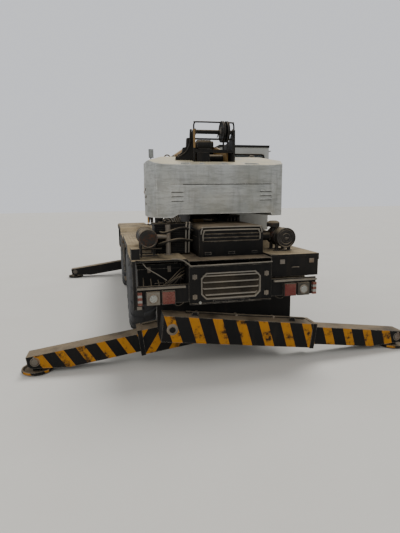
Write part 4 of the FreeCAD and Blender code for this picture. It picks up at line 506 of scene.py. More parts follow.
class Form:
    """A piece in the making: faces in one or more finishes, joined in one mesh."""

    def __init__(self, name: str, body: str, slot: str, finish: Finish | Clear) -> None:
        """Starts an empty piece.

        Args:
            name: The piece's name.
            body: The CAD body that it rides on.
            slot: The record's material slot; kept on the piece, not used.
            finish: The finish of its first faces.
        """
        self.name, self.body, self.slot_name = name, body, slot
        self.mesh = bmesh.new()
        self.finishes: list[Finish | Clear] = [finish]
        self.current = 0
        self.place = Matrix.Identity(4)

    def use(self, finish: Finish | Clear) -> "Form":
        """The faces added from now on take this finish."""
        if finish not in self.finishes:
            self.finishes.append(finish)
        self.current = self.finishes.index(finish)
        return self

    def _close(self, part: bmesh.types.BMesh, bevel: float, segments: int, angle: float = 0.5) -> None:
        """Bevels a part's sharp edges, puts it in place and adds it to the piece."""
        if bevel > 0:
            sharp = [e for e in part.edges if len(e.link_faces) == 2 and e.calc_face_angle(0) > angle]
            bmesh.ops.bevel(part, geom=sharp, offset=bevel, segments=segments, profile=0.5,
                            affect="EDGES", clamp_overlap=True)
        bmesh.ops.recalc_face_normals(part, faces=part.faces)
        for face in part.faces:
            face.material_index = self.current
            face.smooth = True
        part.transform(self.place)
        if self.place.determinant() < 0:
            bmesh.ops.reverse_faces(part, faces=part.faces)
        holder = bpy.data.meshes.new("part")
        part.to_mesh(holder)
        part.free()
        self.mesh.from_mesh(holder)
        bpy.data.meshes.remove(holder)

    def prism(self, outline: Sequence[Point], start: float, end: float, axis: Axis = Axis.Y,
              bevel: float = 0.0, segments: int = 2) -> "Form":
        """Adds a plate of one outline.

        Args:
            outline: Corner pairs: (x, z) along Y, (y, z) along X and (x, y) along Z.
            start: Where the plate starts along the axis.
            end: Where it ends.
            axis: The direction of its thickness.
            bevel: Width of its rounded edges.
            segments: Steps of the rounding.
        """
        part = bmesh.new()

        def corner(pair: Point, depth: float) -> Vector:
            """One corner of the plate in space."""
            if axis is Axis.Y:
                return Vector((pair[0], depth, pair[1]))
            if axis is Axis.X:
                return Vector((depth, pair[0], pair[1]))
            return Vector((pair[0], pair[1], depth))

        near = [part.verts.new(corner(pair, start)) for pair in outline]
        far = [part.verts.new(corner(pair, end)) for pair in outline]
        part.faces.new(near)
        part.faces.new(list(reversed(far)))
        for i in range(len(outline)):
            j = (i + 1) % len(outline)
            part.faces.new((near[j], near[i], far[i], far[j]))
        self._close(part, bevel, segments)
        return self

    def box(self, low: Point, high: Point, bevel: float = 0.004, segments: int = 2) -> "Form":
        """Adds a block with softened edges between two corners."""
        outline = ((low[0], low[2]), (high[0], low[2]), (high[0], high[2]), (low[0], high[2]))
        return self.prism(outline, low[1], high[1], Axis.Y, bevel, segments)

    def lathe(self, outline: Sequence[Point], centre: Point, axis: Axis = Axis.Y, steps: int = 48,
              bevel: float = 0.0, closed: bool = False) -> "Form":
        """Adds a turned body.

        Args:
            outline: Pairs of distance along the axis and radius, from one end to the other.
            centre: Where distance 0 lies.
            axis: The direction it is turned about.
            steps: Facets round it.
            bevel: Width of its rounded edges.
            closed: True for a ring, whose last point joins its first.
        """
        part = bmesh.new()
        turn = Vector((0, 0, 1)).rotation_difference(Vector(axis.value)).to_matrix()
        rings = []
        for along, radius in outline:
            if radius < 1e-6:
                rings.append([part.verts.new(turn @ Vector((0, 0, along)) + Vector(centre))])
                continue
            ring = []
            for i in range(steps):
                angle = 2 * math.pi * i / steps
                point = Vector((radius * math.cos(angle), radius * math.sin(angle), along))
                ring.append(part.verts.new(turn @ point + Vector(centre)))
            rings.append(ring)
        pairs = list(zip(rings, rings[1:]))
        if closed:
            pairs.append((rings[-1], rings[0]))
        for first, second in pairs:
            for i in range(steps):
                j = (i + 1) % steps
                if len(first) == 1 and len(second) == 1:
                    continue
                if len(first) == 1:
                    part.faces.new((first[0], second[j], second[i]))
                elif len(second) == 1:
                    part.faces.new((first[i], first[j], second[0]))
                else:
                    part.faces.new((first[i], first[j], second[j], second[i]))
        if not closed:
            for ring in (rings[0], rings[-1]):
                if len(ring) > 1:
                    part.faces.new(ring)
        self._close(part, bevel, 2)
        return self

    def pipe(self, points: Sequence[Point], radius: float | Sequence[float], steps: int = 10, smooth: int = 0) -> "Form":
        """Adds a round tube along a line of points.

        Args:
            points: The line's corners.
            radius: The tube's radius, or one for each point.
            steps: Facets round it.
            smooth: Points added between each two, on a smooth curve; 0 keeps the corners.
        """
        line = [Vector(p) for p in points]
        if smooth:
            line = self._smoothed(line, smooth)
        part = bmesh.new()
        rings = []
        side = None
        girth = [radius] * len(line) if isinstance(radius, float) else radius
        for i, point in enumerate(line):
            ahead = (line[min(i + 1, len(line) - 1)] - line[max(i - 1, 0)]).normalized()
            if side is None:
                side = ahead.orthogonal().normalized()
            side = (side - ahead * side.dot(ahead)).normalized()
            up = ahead.cross(side)
            rings.append([part.verts.new(point + girth[i] * (math.cos(2 * math.pi * k / steps) * side
                                                           + math.sin(2 * math.pi * k / steps) * up))
                          for k in range(steps)])
        for first, second in zip(rings, rings[1:]):
            for k in range(steps):
                part.faces.new((first[k], first[(k + 1) % steps], second[(k + 1) % steps], second[k]))
        part.faces.new(rings[0])
        part.faces.new(rings[-1])
        self._close(part, 0.0, 1)
        return self

    @staticmethod
    def _smoothed(line: list[Vector], between: int) -> list[Vector]:
        """A Catmull-Rom curve through the points."""
        ends = [line[0] * 2 - line[1], *line, line[-1] * 2 - line[-2]]
        found = []
        for i in range(1, len(ends) - 2):
            before, here, after, beyond = ends[i - 1:i + 3]
            for k in range(between + 1):
                t = k / (between + 1)
                found.append(0.5 * (2 * here + (after - before) * t
                                    + (2 * before - 5 * here + 4 * after - beyond) * t * t
                                    + (3 * here - before - 3 * after + beyond) * t ** 3))
        found.append(line[-1])
        return found

    def shape(self, source: bpy.types.Mesh, place: Matrix | None = None) -> "Form":
        """Adds a finished mesh, such as the result of a node tree."""
        part = bmesh.new()
        part.from_mesh(source)
        if place is not None:
            part.transform(place)
        self._close(part, 0.0, 1)
        return self

    def done(self, *nodes: str, crease: float = 32.0, bend: tuple | None = None) -> bpy.types.Object:
        """Turns the piece into an object that rides on its body, or, when a bend is given, stays loose in place.

        Args:
            nodes: The CAD nodes that it stands for.
            crease: Angle in degrees above which an edge stays sharp.
            bend: Another body and the points where a bend towards it would start and end; only whether it is given is
                used, and the piece does not bend.

        Returns:
            The finished object.
        """
        made = bpy.data.meshes.new(self.name)
        self.mesh.to_mesh(made)
        self.mesh.free()
        for finish in self.finishes:
            made.materials.append(finish.material())
        made.set_sharp_from_angle(angle=math.radians(crease))
        piece = bpy.data.objects.new(self.name, made)
        bpy.context.scene.collection.objects.link(piece)
        if bend:
            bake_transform(piece)
        else:
            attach(piece, self.body)
        if nodes:
            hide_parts(*nodes)
        return piece


class Repeater:
    """Geometry Nodes trees for what repeats: bolt rings, bolt rows, slats and raised treads."""

    def __init__(self) -> None:
        """Builds each tree once."""
        self.trees = {"ring": self._ring(), "row": self._row(), "field": self._field(), "around": self._around()}

    @staticmethod
    def _start(name: str, inputs: dict[str, tuple[str, object]]) -> tuple[Graph, dict, bpy.types.Node]:
        """Makes an empty tree with its named inputs."""
        tree = bpy.data.node_groups.new(name, "GeometryNodeTree")
        for key, (kind, value) in inputs.items():
            made = tree.interface.new_socket(key, in_out="INPUT", socket_type=kind)
            if value is not None:
                made.default_value = value
        tree.interface.new_socket("Geometry", in_out="OUTPUT", socket_type="NodeSocketGeometry")
        graph = Graph(tree)
        return graph, graph.add("NodeGroupInput").outputs, graph.add("NodeGroupOutput")

    @staticmethod
    def _end(graph: Graph, given: dict, shape: Socket, out: bpy.types.Node) -> None:
        """Realizes the instances and gives them their material."""
        whole = graph.add("GeometryNodeRealizeInstances", {0: shape}).outputs[0]
        dressed = graph.add("GeometryNodeSetMaterial", {"Geometry": whole, "Material": given["Finish"]}).outputs[0]
        graph.tree.links.new(dressed, out.inputs[0])

    def _ring(self) -> bpy.types.NodeTree:
        """Bolt heads on a circle about Z."""
        graph, given, out = self._start("bolt_ring", {
            "Count": ("NodeSocketInt", 8), "Circle": ("NodeSocketFloat", 0.1), "Head": ("NodeSocketFloat", 0.012),
            "Height": ("NodeSocketFloat", 0.01), "Corners": ("NodeSocketInt", 6),
            "Finish": ("NodeSocketMaterial", None)})
        circle = graph.add("GeometryNodeMeshCircle", {"Vertices": given["Count"], "Radius": given["Circle"]})
        head = graph.add("GeometryNodeMeshCylinder", {"Vertices": given["Corners"], "Radius": given["Head"],
                                                     "Depth": given["Height"]})
        many = graph.add("GeometryNodeInstanceOnPoints", {"Points": circle.outputs[0], "Instance": head.outputs[0]})
        self._end(graph, given, many.outputs[0], out)
        return graph.tree

    def _row(self) -> bpy.types.NodeTree:
        """Heads or slats on a straight line."""
        graph, given, out = self._start("bolt_row", {
            "Count": ("NodeSocketInt", 5), "Step": ("NodeSocketVector", (0.1, 0.0, 0.0)),
            "Size": ("NodeSocketVector", (0.02, 0.02, 0.01)), "Round": ("NodeSocketBool", True),
            "Finish": ("NodeSocketMaterial", None)})
        line = graph.add("GeometryNodeMeshLine", {"Count": given["Count"], "Offset": given["Step"]})
        head = graph.add("GeometryNodeMeshCylinder", {"Vertices": 6, "Radius": 0.5, "Depth": 1.0})
        block = graph.add("GeometryNodeMeshCube", {"Size": (1.0, 1.0, 1.0)})
        unit = graph.add("GeometryNodeSwitch", {"Switch": given["Round"], "False": block.outputs[0],
                                               "True": head.outputs[0]}, input_type="GEOMETRY")
        many = graph.add("GeometryNodeInstanceOnPoints", {"Points": line.outputs[0], "Instance": unit.outputs[0],
                                                         "Scale": given["Size"]})
        self._end(graph, given, many.outputs[0], out)
        return graph.tree

    def _field(self) -> bpy.types.NodeTree:
        """Raised treads of a chequered plate on a grid, turned by turns."""
        graph, given, out = self._start("chequer_field", {
            "Length": ("NodeSocketFloat", 1.0), "Width": ("NodeSocketFloat", 1.0), "Along": ("NodeSocketInt", 10),
            "Across": ("NodeSocketInt", 10), "Tread": ("NodeSocketFloat", 0.03), "Rise": ("NodeSocketFloat", 0.003),
            "Finish": ("NodeSocketMaterial", None)})
        grid = graph.add("GeometryNodeMeshGrid", {"Size X": given["Width"], "Size Y": given["Length"],
                                                 "Vertices X": given["Across"], "Vertices Y": given["Along"]})
        unit = graph.add("GeometryNodeMeshCone", {"Vertices": 4, "Radius Top": 0.4, "Radius Bottom": 1.0, "Depth": 2.0})
        number = graph.add("GeometryNodeInputIndex").outputs[0]
        row = graph.maths("FLOOR", graph.maths("DIVIDE", number, given["Along"]))
        odd = graph.maths("MODULO", graph.maths("ADD", number, row), 2.0)
        turn = graph.maths("MULTIPLY", graph.maths("ADD", odd, 0.5), math.pi / 2)
        angle = graph.add("ShaderNodeCombineXYZ", {2: turn})
        slim = graph.maths("MULTIPLY", given["Tread"], 0.32)
        size = graph.add("ShaderNodeCombineXYZ", {0: given["Tread"], 1: slim, 2: given["Rise"]})
        many = graph.add("GeometryNodeInstanceOnPoints", {"Points": grid.outputs[0], "Instance": unit.outputs[0],
                                                         "Rotation": angle.outputs[0], "Scale": size.outputs[0]})
        self._end(graph, given, many.outputs[0], out)
        return graph.tree

    def _around(self) -> bpy.types.NodeTree:
        """One unit repeated about X, such as a tyre's lugs."""
        graph, given, out = self._start("around_axle", {
            "Unit": ("NodeSocketObject", None), "Count": ("NodeSocketInt", 18), "Phase": ("NodeSocketFloat", 0.0),
            "Finish": ("NodeSocketMaterial", None)})
        line = graph.add("GeometryNodeMeshLine", {"Count": given["Count"], "Offset": (0.0, 0.0, 0.0)})
        unit = graph.add("GeometryNodeObjectInfo", {"Object": given["Unit"]}, transform_space="ORIGINAL")
        number = graph.add("GeometryNodeInputIndex").outputs[0]
        share = graph.maths("DIVIDE", graph.maths("ADD", number, given["Phase"]), given["Count"])
        angle = graph.add("ShaderNodeCombineXYZ", {0: graph.maths("MULTIPLY", share, 2 * math.pi)})
        many = graph.add("GeometryNodeInstanceOnPoints", {"Points": line.outputs[0],
                                                         "Instance": unit.outputs["Geometry"],
                                                         "Rotation": angle.outputs[0]})
        self._end(graph, given, many.outputs[0], out)
        return graph.tree

    def make(self, kind: str, finish: Finish, **inputs: object) -> bpy.types.Mesh:
        """Runs one tree and returns its plain mesh.

        Args:
            kind: Name of the tree.
            finish: Finish of the result.
            inputs: Values of its named inputs.

        Returns:
            The realized mesh, about the origin.
        """
        tree = self.trees[kind]
        holder = bpy.data.objects.new("holder", bpy.data.meshes.new("holder"))
        bpy.context.scene.collection.objects.link(holder)
        modifier = holder.modifiers.new("repeat", "NODES")
        modifier.node_group = tree
        known = {item.name: item.identifier for item in tree.interface.items_tree
                 if getattr(item, "in_out", "") == "INPUT"}
        for key, value in {**inputs, "Finish": finish.material()}.items():
            modifier[known[key]] = value
        graph = bpy.context.evaluated_depsgraph_get()
        made = bpy.data.meshes.new_from_object(holder.evaluated_get(graph))
        bpy.data.objects.remove(holder)
        return made


REPEAT = Repeater()


def facing(centre: Point, direction: Point) -> Matrix:
    """The place of a mesh made about Z that is turned to face a direction."""
    turn = Vector((0, 0, 1)).rotation_difference(Vector(direction)).to_matrix().to_4x4()
    return Matrix.Translation(Vector(centre)) @ turn


@dataclass
class Studio:
    """Floor, background, lamps and the camera at the photograph's angle."""

    eye: Vector = field(default_factory=lambda: Vector((-1.55, -10.41, 2.29)))
    yaw: float = 12.6
    pitch: float = 9.9
    roll: float = 0.7
    focal_share: float = 400 / 533
    sensor: float = 36.0
    floor_half: float = 60.0

    def build(self) -> None:
        """Makes the studio."""
        self._floor()
        self._world()
        self._lamp("key_light", 2.3, 24.0, (34.0, 0.0, 150.0))
        self._lamp("fill_light", 1.15, 60.0, (58.0, 0.0, -18.0))
        self._lamp("side_light", 0.55, 60.0, (62.0, 0.0, -110.0))
        self._camera()

    def _camera(self) -> None:
        """The camera, fitted to the photograph's own view."""
        data = bpy.data.cameras.new("photo_view")
        data.sensor_fit = "VERTICAL"
        data.sensor_height = self.sensor
        data.lens = self.sensor * self.focal_share
        data.clip_end = 200.0
        camera = bpy.data.objects.new("photo_view", data)
        bpy.context.scene.collection.objects.link(camera)
        turn = (Matrix.Rotation(math.radians(-self.yaw), 4, "Z")
                @ Matrix.Rotation(math.radians(90 - self.pitch), 4, "X")
                @ Matrix.Rotation(math.radians(-self.roll), 4, "Z"))
        camera.matrix_world = Matrix.Translation(self.eye) @ turn
        bpy.context.scene.camera = camera

    @staticmethod
    def _lamp(name: str, strength: float, spread: float, turn: Point) -> None:
        """One soft distant lamp, from its angles in degrees."""
        data = bpy.data.lights.new(name, "SUN")
        data.energy = strength
        data.angle = math.radians(spread)
        lamp = bpy.data.objects.new(name, data)
        lamp.rotation_euler = Euler([math.radians(a) for a in turn])
        bpy.context.scene.collection.objects.link(lamp)

    def _floor(self) -> None:
        """A pale floor."""
        made = bpy.data.meshes.new("floor")
        half = self.floor_half
        made.from_pydata([(-half, -half, 0), (half, -half, 0), (half, half, 0), (-half, half, 0)], [],
                         [(0, 1, 2, 3)])
        finish = bpy.data.materials.new("studio_floor")
        finish.use_nodes = True
        graph = Graph(finish.node_tree)
        shader = finish.node_tree.nodes["Principled BSDF"]
        place = graph.add("ShaderNodeTexCoord").outputs["Object"]
        colour = graph.mix(tint("cfccc4"), tint("c6c2b9"), graph.noise(place, 0.7, 5.0))
        finish.node_tree.links.new(colour, shader.inputs["Base Color"])
        shader.inputs["Roughness"].default_value = 0.9
        made.materials.append(finish)
        floor = bpy.data.objects.new("floor", made)
        bpy.context.scene.collection.objects.link(floor)

    @staticmethod
    def _world() -> None:
        """A pale background that lights the crane softly."""
        world = bpy.data.worlds.new("studio")
        bpy.context.scene.world = world
        world.use_nodes = True
        world.node_tree.nodes.clear()
        graph = Graph(world.node_tree)
        path = graph.add("ShaderNodeLightPath").outputs
        seen = graph.maths("MAXIMUM", path["Is Camera Ray"],
                           graph.maths("MAXIMUM", path["Is Glossy Ray"], path["Is Transmission Ray"]))
        strength = graph.add("ShaderNodeMapRange", {0: seen, 3: 0.42, 4: 0.86}).outputs[0]
        back = graph.add("ShaderNodeBackground", {"Color": (0.93, 0.95, 1.0, 1.0), "Strength": strength})
        graph.add("ShaderNodeOutputWorld", {"Surface": back.outputs[0]})


@dataclass
class Wheels:
    """The four wheels: rims with their discs, hubs, nuts and lugged tyres."""

    track: float = 1.08
    radius: float = 0.745
    lugs: int = 18
    nuts: int = 20
    nut_circle: float = 0.205
    axles: dict = field(default_factory=lambda: {"rear": 1.95, "front": 5.60})
    # Distance outwards from the wheel's middle, distance round, half width, top and foot of each lug section
    lug_sections: tuple = ((0.008, -0.034, 0.026, 0.7445, 0.690), (0.080, -0.014, 0.031, 0.7440, 0.690),
                           (0.160, 0.022, 0.037, 0.7380, 0.672), (0.195, 0.038, 0.039, 0.7080, 0.640),
                           (0.2135, 0.046, 0.034, 0.6480, 0.590))

    def build(self) -> None:
        """Makes each tyre and wheel."""
        units = [self._lug_unit(hand) for hand in (1, -1)]
        for corner in CORNERS:
            end, hand = corner.split("_")
            side = 1 if hand == "right" else -1
            place = Matrix.Translation(at(side * self.track, self.axles[end], AXLE_Z)) @ Matrix.Scale(side, 4, (1, 0, 0))
            self._tyre(corner, place, units)
            self._wheel(corner, place)
        for unit in units:
            bpy.data.objects.remove(unit)

    def _lug_unit(self, hand: int) -> bpy.types.Object:
        """One lug at the top of the tyre, for the outer (1) or inner (-1) row."""
        part = bmesh.new()
        rings = []
        for along, round_, half, top, foot in self.lug_sections:
            corners = ((round_ - half * 1.25, foot), (round_ - half, top), (round_ + half, top),
                       (round_ + half * 1.25, foot))
            rings.append([part.verts.new((hand * along, y, z)) for y, z in corners])
        for first, second in zip(rings, rings[1:]):
            for k in range(4):
                part.faces.new((first[k], first[(k + 1) % 4], second[(k + 1) % 4], second[k]))
        part.faces.new(rings[0])
        part.faces.new(rings[-1])
        bmesh.ops.recalc_face_normals(part, faces=part.faces)
        sharp = [e for e in part.edges if e.calc_face_angle(0) > 0.6]
        bmesh.ops.bevel(part, geom=sharp, offset=0.006, segments=1, affect="EDGES", clamp_overlap=True)
        made = bpy.data.meshes.new("lug")
        part.to_mesh(made)
        part.free()
        unit = bpy.data.objects.new("lug", made)
        bpy.context.scene.collection.objects.link(unit)
        return unit

    def _tyre(self, corner: str, place: Matrix, units: Sequence[bpy.types.Object]) -> None:
        """One tyre: its carcass with ribs on the sidewalls, and two rows of lugs."""
        form = Form("tyre_" + corner + "_lugged", "wheel_" + corner, "tyre_rubber", Paints.tyre)
        form.place = place
        half = [(0.146, 0.327), (0.168, 0.334), (0.180, 0.352), (0.186, 0.378), (0.196, 0.405), (0.205, 0.440),
                (0.210, 0.470), (0.2135, 0.474), (0.2140, 0.492), (0.2115, 0.497), (0.2130, 0.530),
                (0.2110, 0.575), (0.2075, 0.600), (0.2105, 0.604), (0.2085, 0.618), (0.2040, 0.622),
                (0.1950, 0.655), (0.1800, 0.682), (0.1500, 0.699), (0.0900, 0.707), (0.0, 0.709)]
        form.lathe(half + [(-x, r) for x, r in reversed(half[:-1])], (0, 0, 0), Axis.X, 72, closed=True)
        for row, unit in zip((1, -1), units):
            phase = 0.25 if row > 0 else 0.75
            form.shape(REPEAT.make("around", Paints.tyre, Unit=unit, Count=self.lugs, Phase=phase))
        form.done("tyre_" + corner)

    def _wheel(self, corner: str, place: Matrix) -> None:
        """One wheel: rim, lock ring, dished disc, stepped hub, nuts and valve."""
        form = Form("wheel_" + corner + "_dressed", "wheel_" + corner, "wheel_paint", Paints.wheel)
        form.place = place
        rim = [(-0.165, 0.338), (-0.158, 0.343), (-0.150, 0.326), (-0.100, 0.320), (-0.060, 0.306),
               (0.060, 0.306), (0.100, 0.320), (0.150, 0.326), (0.158, 0.343), (0.165, 0.338),
               (0.158, 0.322), (0.120, 0.308), (0.070, 0.290), (-0.070, 0.290), (-0.120, 0.308), (-0.158, 0.322)]
        form.lathe(rim, (0, 0, 0), Axis.X, 72, closed=True)
        disc = [(0.018, 0.140), (0.018, 0.292), (0.030, 0.294), (0.042, 0.286), (0.046, 0.262), (0.060, 0.240),
                (0.064, 0.225), (0.064, 0.140)]
        form.lathe(disc, (0, 0, 0), Axis.X, 72, closed=True)
        form.use(Paints.zinc)
        ring = [(0.146, 0.318), (0.150, 0.328), (0.160, 0.330), (0.166, 0.322), (0.160, 0.316)]
        form.lathe(ring, (0, 0, 0), Axis.X, 72, closed=True)
        form.use(Paints.knuckle)
        hub = [(0.0, 0.149), (0.078, 0.149), (0.086, 0.143), (0.116, 0.141), (0.126, 0.132), (0.130, 0.112),
               (0.152, 0.106), (0.164, 0.094), (0.168, 0.070), (0.1695, 0.0)]
        form.lathe([(0.0, 0.0)] + hub, (0, 0, 0), Axis.X, 48)
        form.use(Paints.zinc)
        turn = facing((0.0, 0.0, 0.0), (1, 0, 0))
        for distance, circle, count, head, height in ((0.076, self.nut_circle, self.nuts, 0.0155, 0.026),
                                                      (0.132, 0.122, 12, 0.009, 0.012), (0.170, 0.045, 3, 0.007, 0.0)):
            if height:
                mesh = REPEAT.make("ring", Paints.zinc, Count=count, Circle=circle, Head=head, Height=height)
                form.shape(mesh, Matrix.Translation((distance, 0, 0)) @ turn)
                tips = REPEAT.make("ring", Paints.zinc, Count=count, Circle=circle, Head=head * 0.55,
                                   Height=height * 1.7, Corners=8)
                form.shape(tips, Matrix.Translation((distance, 0, 0)) @ turn)
        form.pipe([(0.040, 0.0, 0.262), (0.070, 0.0, 0.268), (0.100, 0.0, 0.285)], 0.006, 8)
        form.done("wheel_" + corner)


@dataclass
class EdgedNodes:
    """CAD nodes shown as merged copies whose edges are rounded as plate and castings are."""

    widths: dict = field(default_factory=lambda: {
        "counterweight": 0.014, "engine_hood": 0.008, "rear_panel": 0.004, "decks": 0.003, "side_tanks": 0.005,
        "slewing_platform": 0.005, "front_bumper": 0.005, "boom_base": 0.007, "boom_section_2": 0.006,
        "boom_section_3": 0.006, "boom_section_4": 0.006, "cab_shell": 0.008,
        "outrigger_brackets": 0.004})

    def build(self) -> None:
        """Makes each copy and stands it in for its node."""
        slots = {part["node"]: part["material_slot"] for part in frame["record"]["subparts"]}
        for node, width in self.widths.items():
            source = frame["nodes"][node]
            part = bmesh.new()
            part.from_mesh(source.data)
            bmesh.ops.remove_doubles(part, verts=part.verts, dist=1e-5)
            bmesh.ops.dissolve_limit(part, angle_limit=math.radians(0.6), verts=part.verts, edges=part.edges,
                                     delimit={"NORMAL"})
            sharp = [e for e in part.edges if len(e.link_faces) == 2 and e.calc_face_angle(0) > 0.55]
            bmesh.ops.bevel(part, geom=sharp, offset=width, segments=2, profile=0.5, affect="EDGES",
                            clamp_overlap=True)
            made = bpy.data.meshes.new(node + "_edged")
            part.to_mesh(made)
            part.free()
            form = Form(node + "_edged", source["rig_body"], slots[node], NODE_FINISH[slots[node]])
            form.shape(made)
            form.done(node, crease=40.0)


@dataclass
class RearEnd:
    """The carrier's tail: grille, lamps, panel trim, hood rails and what stands on the rear decks."""

    grille_half: float = 0.4147
    grille_low: float = 0.940
    grille_high: float = 1.300
    chamfer: float = 0.070
    wall: float = 0.016

    def build(self) -> None:
        """Makes every piece of the tail."""
        self._grille()
        self._panel_trim()
        for side in (-1, 1):
            self._lamps(side)
        self._hood_trim()
        self._air_cleaner()
        self._muffler()

    def _octagon(self, inset: float) -> list[Point]:
        """The grille opening's outline, drawn in by inset."""
        half, cut = self.grille_half - inset, self.chamfer - inset * 0.4
        low, high = self.grille_low + inset, self.grille_high - inset
        return [(-half + cut, low), (half - cut, low), (half, low + cut), (half, high - cut),
                (half - cut, high), (-half + cut, high), (-half, high - cut), (-half, low + cut)]

    def _grille(self) -> None:
        """The eight-sided rim, the pale bars with turned-back ends and the dark louvres."""
        form = Form("grille_dressed", "carrier", "grille_paint", Paints.bars)
        outer, inner = self._octagon(0.0), self._octagon(self.wall)
        for i in range(8):
            j = (i + 1) % 8
            form.prism([outer[i], outer[j], inner[j], inner[i]], REAR_Y - 0.006, REAR_Y + 0.045, Axis.Y)
        height = self.grille_high - self.grille_low
        for i in range(4):
            z = self.grille_low + height * (i + 0.6) / 4.2
            cut = 0.052 if i == 0 else 0.0
            half = self.grille_half - self.wall - (0.030 if i == 0 else 0.004)
            form.prism([(-half + 0.02, z), (half - 0.02, z), (half, z + 0.012 + cut * 0.4), (half - 0.008, z + 0.020),
                        (half - 0.026, z + 0.016), (-half + 0.026, z + 0.016), (-half + 0.008, z + 0.020),
                        (-half, z + 0.012 + cut * 0.4)], REAR_Y - 0.004, REAR_Y + 0.018, Axis.Y, 0.003, 1)
        form.use(Paints.louvre)
        step = (height - 2 * self.wall) / 13
        blades = REPEAT.make("row", Paints.louvre, Count=13, Step=(0.0, 0.0, step), Round=False,
                             Size=(2 * (self.grille_half - self.wall) - 0.004, 0.003, step * 0.92))
        tilt = Matrix.Translation((0, REAR_Y + 0.030, self.grille_low + self.wall + step / 2))
        form.shape(self._tilted(blades, step), tilt)
        form.box((-0.400, REAR_Y + 0.0405, 0.957), (0.400, REAR_Y + 0.0425, 1.283), 0.0)
        form.done("rear_grille")

    @staticmethod
    def _tilted(blades: bpy.types.Mesh, step: float) -> bpy.types.Mesh:
        """Leans each louvre blade back, whatever its height."""
        for vertex in blades.vertices:
            middle = round(vertex.co.z / step) * step
            vertex.co.y += (vertex.co.z - middle) * 0.55
        return blades

    def _panel_trim(self) -> None:
        """Bolts, the worn top rail that bends up on the left, hinges, tread plate and a reflector."""
        form = Form("panel_trim", "carrier", "carrier_paint", Paints.bars)
        rail = [(0.575, 1.412), (0.30, 1.409), (-0.49, 1.404), (-0.555, 1.412), (-0.63, 1.470), (-0.70, 1.500),
                (-0.80, 1.507)]
        form.pipe([(x, REAR_Y - 0.014, z) for x, z in rail], 0.009, 8, 3)
        form.use(Paints.zinc)
        for z in (0.905, 1.352):
            heads = REPEAT.make("ring", Paints.zinc, Count=1, Circle=0.0, Head=0.011, Height=0.010)
            for x in (-0.545, -0.30, 0.0, 0.30, 0.545):
                form.shape(heads, facing((x, REAR_Y - 0.004, z), (0, -1, 0)))
        for x in (-0.500, 0.500):
            for z in (0.985, 1.255):
                form.lathe([(-0.035, 0.010), (0.035, 0.010)], (x, REAR_Y - 0.008, z), Axis.Z, 12, 0.002)
                form.box((x - 0.030, REAR_Y - 0.006, z - 0.028), (x + 0.030, REAR_Y, z + 0.028), 0.002)
        form.use(Paints.carrier)
        form.box((-0.565, REAR_Y - 0.010, 0.882), (0.565, REAR_Y, 0.900), 0.002)
        form.box((-0.255, REAR_Y - 0.008, 0.890), (0.255, REAR_Y, 0.930), 0.003)
        form.use(Paints.white_lens)
        form.lathe([(-0.016, 0.0), (-0.015, 0.016), (0.0, 0.019)], (-0.43, REAR_Y - 0.001, 0.905), Axis.Y, 20)
        form.done()

    def _lamps(self, side: int) -> None:
        """One lamp cluster: carrier plate, rail, reversing lamp, tail lamp and the banded reflector."""
        hand = "right" if side > 0 else "left"
        form = Form("lamps_" + hand, "carrier", "lamp_plastic", Paints.carrier)
        form.place = Matrix.Translation((0, REAR_Y, 0)) @ Matrix.Scale(side, 4, (1, 0, 0))
        form.box((0.5753, 0.030, 0.918), (1.255, 0.060, 1.160), 0.004)
        form.use(Paints.bars)
        form.box((0.620, -0.005, 1.120), (1.255, 0.030, 1.142), 0.004)
        form.use(Paints.plastic)
        for x in (1.050, 0.850):
            form.box((x - 0.088, -0.016, 0.915), (x + 0.088, 0.030, 1.091), 0.012, 3)
        form.use(Paints.bars if side < 0 else Paints.plastic)
        form.box((0.966, -0.020, 0.919), (1.134, -0.014, 1.087), 0.004)
        form.use(Paints.zinc)
        form.lathe([(-0.032, 0.052), (-0.032, 0.060), (-0.026, 0.064), (-0.018, 0.064), (-0.018, 0.052)],
                   (1.050, 0, 1.003), Axis.Y, 40, closed=True)
        form.use(Paints.white_lens)
        form.lathe([(-0.031, 0.0), (-0.0295, 0.028), (-0.026, 0.053), (-0.018, 0.053)], (1.050, 0, 1.003), Axis.Y, 32)
        form.use(Paints.red_lens)
        for z0, z1 in ((0.922, 1.001), (1.005, 1.084)):
            form.box((0.769, -0.020, z0), (0.931, -0.008, z1), 0.006, 2)
        ribs = REPEAT.make("row", Paints.red_lens, Count=9, Step=(0.0, 0.0, 0.017), Round=False,
                           Size=(0.150, 0.003, 0.005))
        form.shape(ribs, Matrix.Translation((0.850, -0.0205, 0.935)))
        for i in range(5):
            form.use(Paints.white_lens if i % 2 else Paints.red_lens)
            form.box((1.192, -0.014, 0.920 + 0.034 * i), (1.248, 0.030, 0.953 + 0.034 * i), 0.002, 1)
        form.use(Paints.rubber)
        form.pipe([(0.80, 0.045, 0.93), (0.74, 0.02, 0.88), (0.66, 0.03, 0.90), (0.60, 0.07, 0.99)], 0.006, 8, 4)
        form.use(Paints.zinc)
        for x in (0.640, 0.750, 1.160, 1.235):
            head = REPEAT.make("ring", Paints.zinc, Count=1, Circle=0.0, Head=0.009, Height=0.009)
            form.shape(head, facing((x, 0.026, 1.150), (0, -1, 0)))
        if side > 0:
            form.done("rear_lamps")
        else:
            form.done()

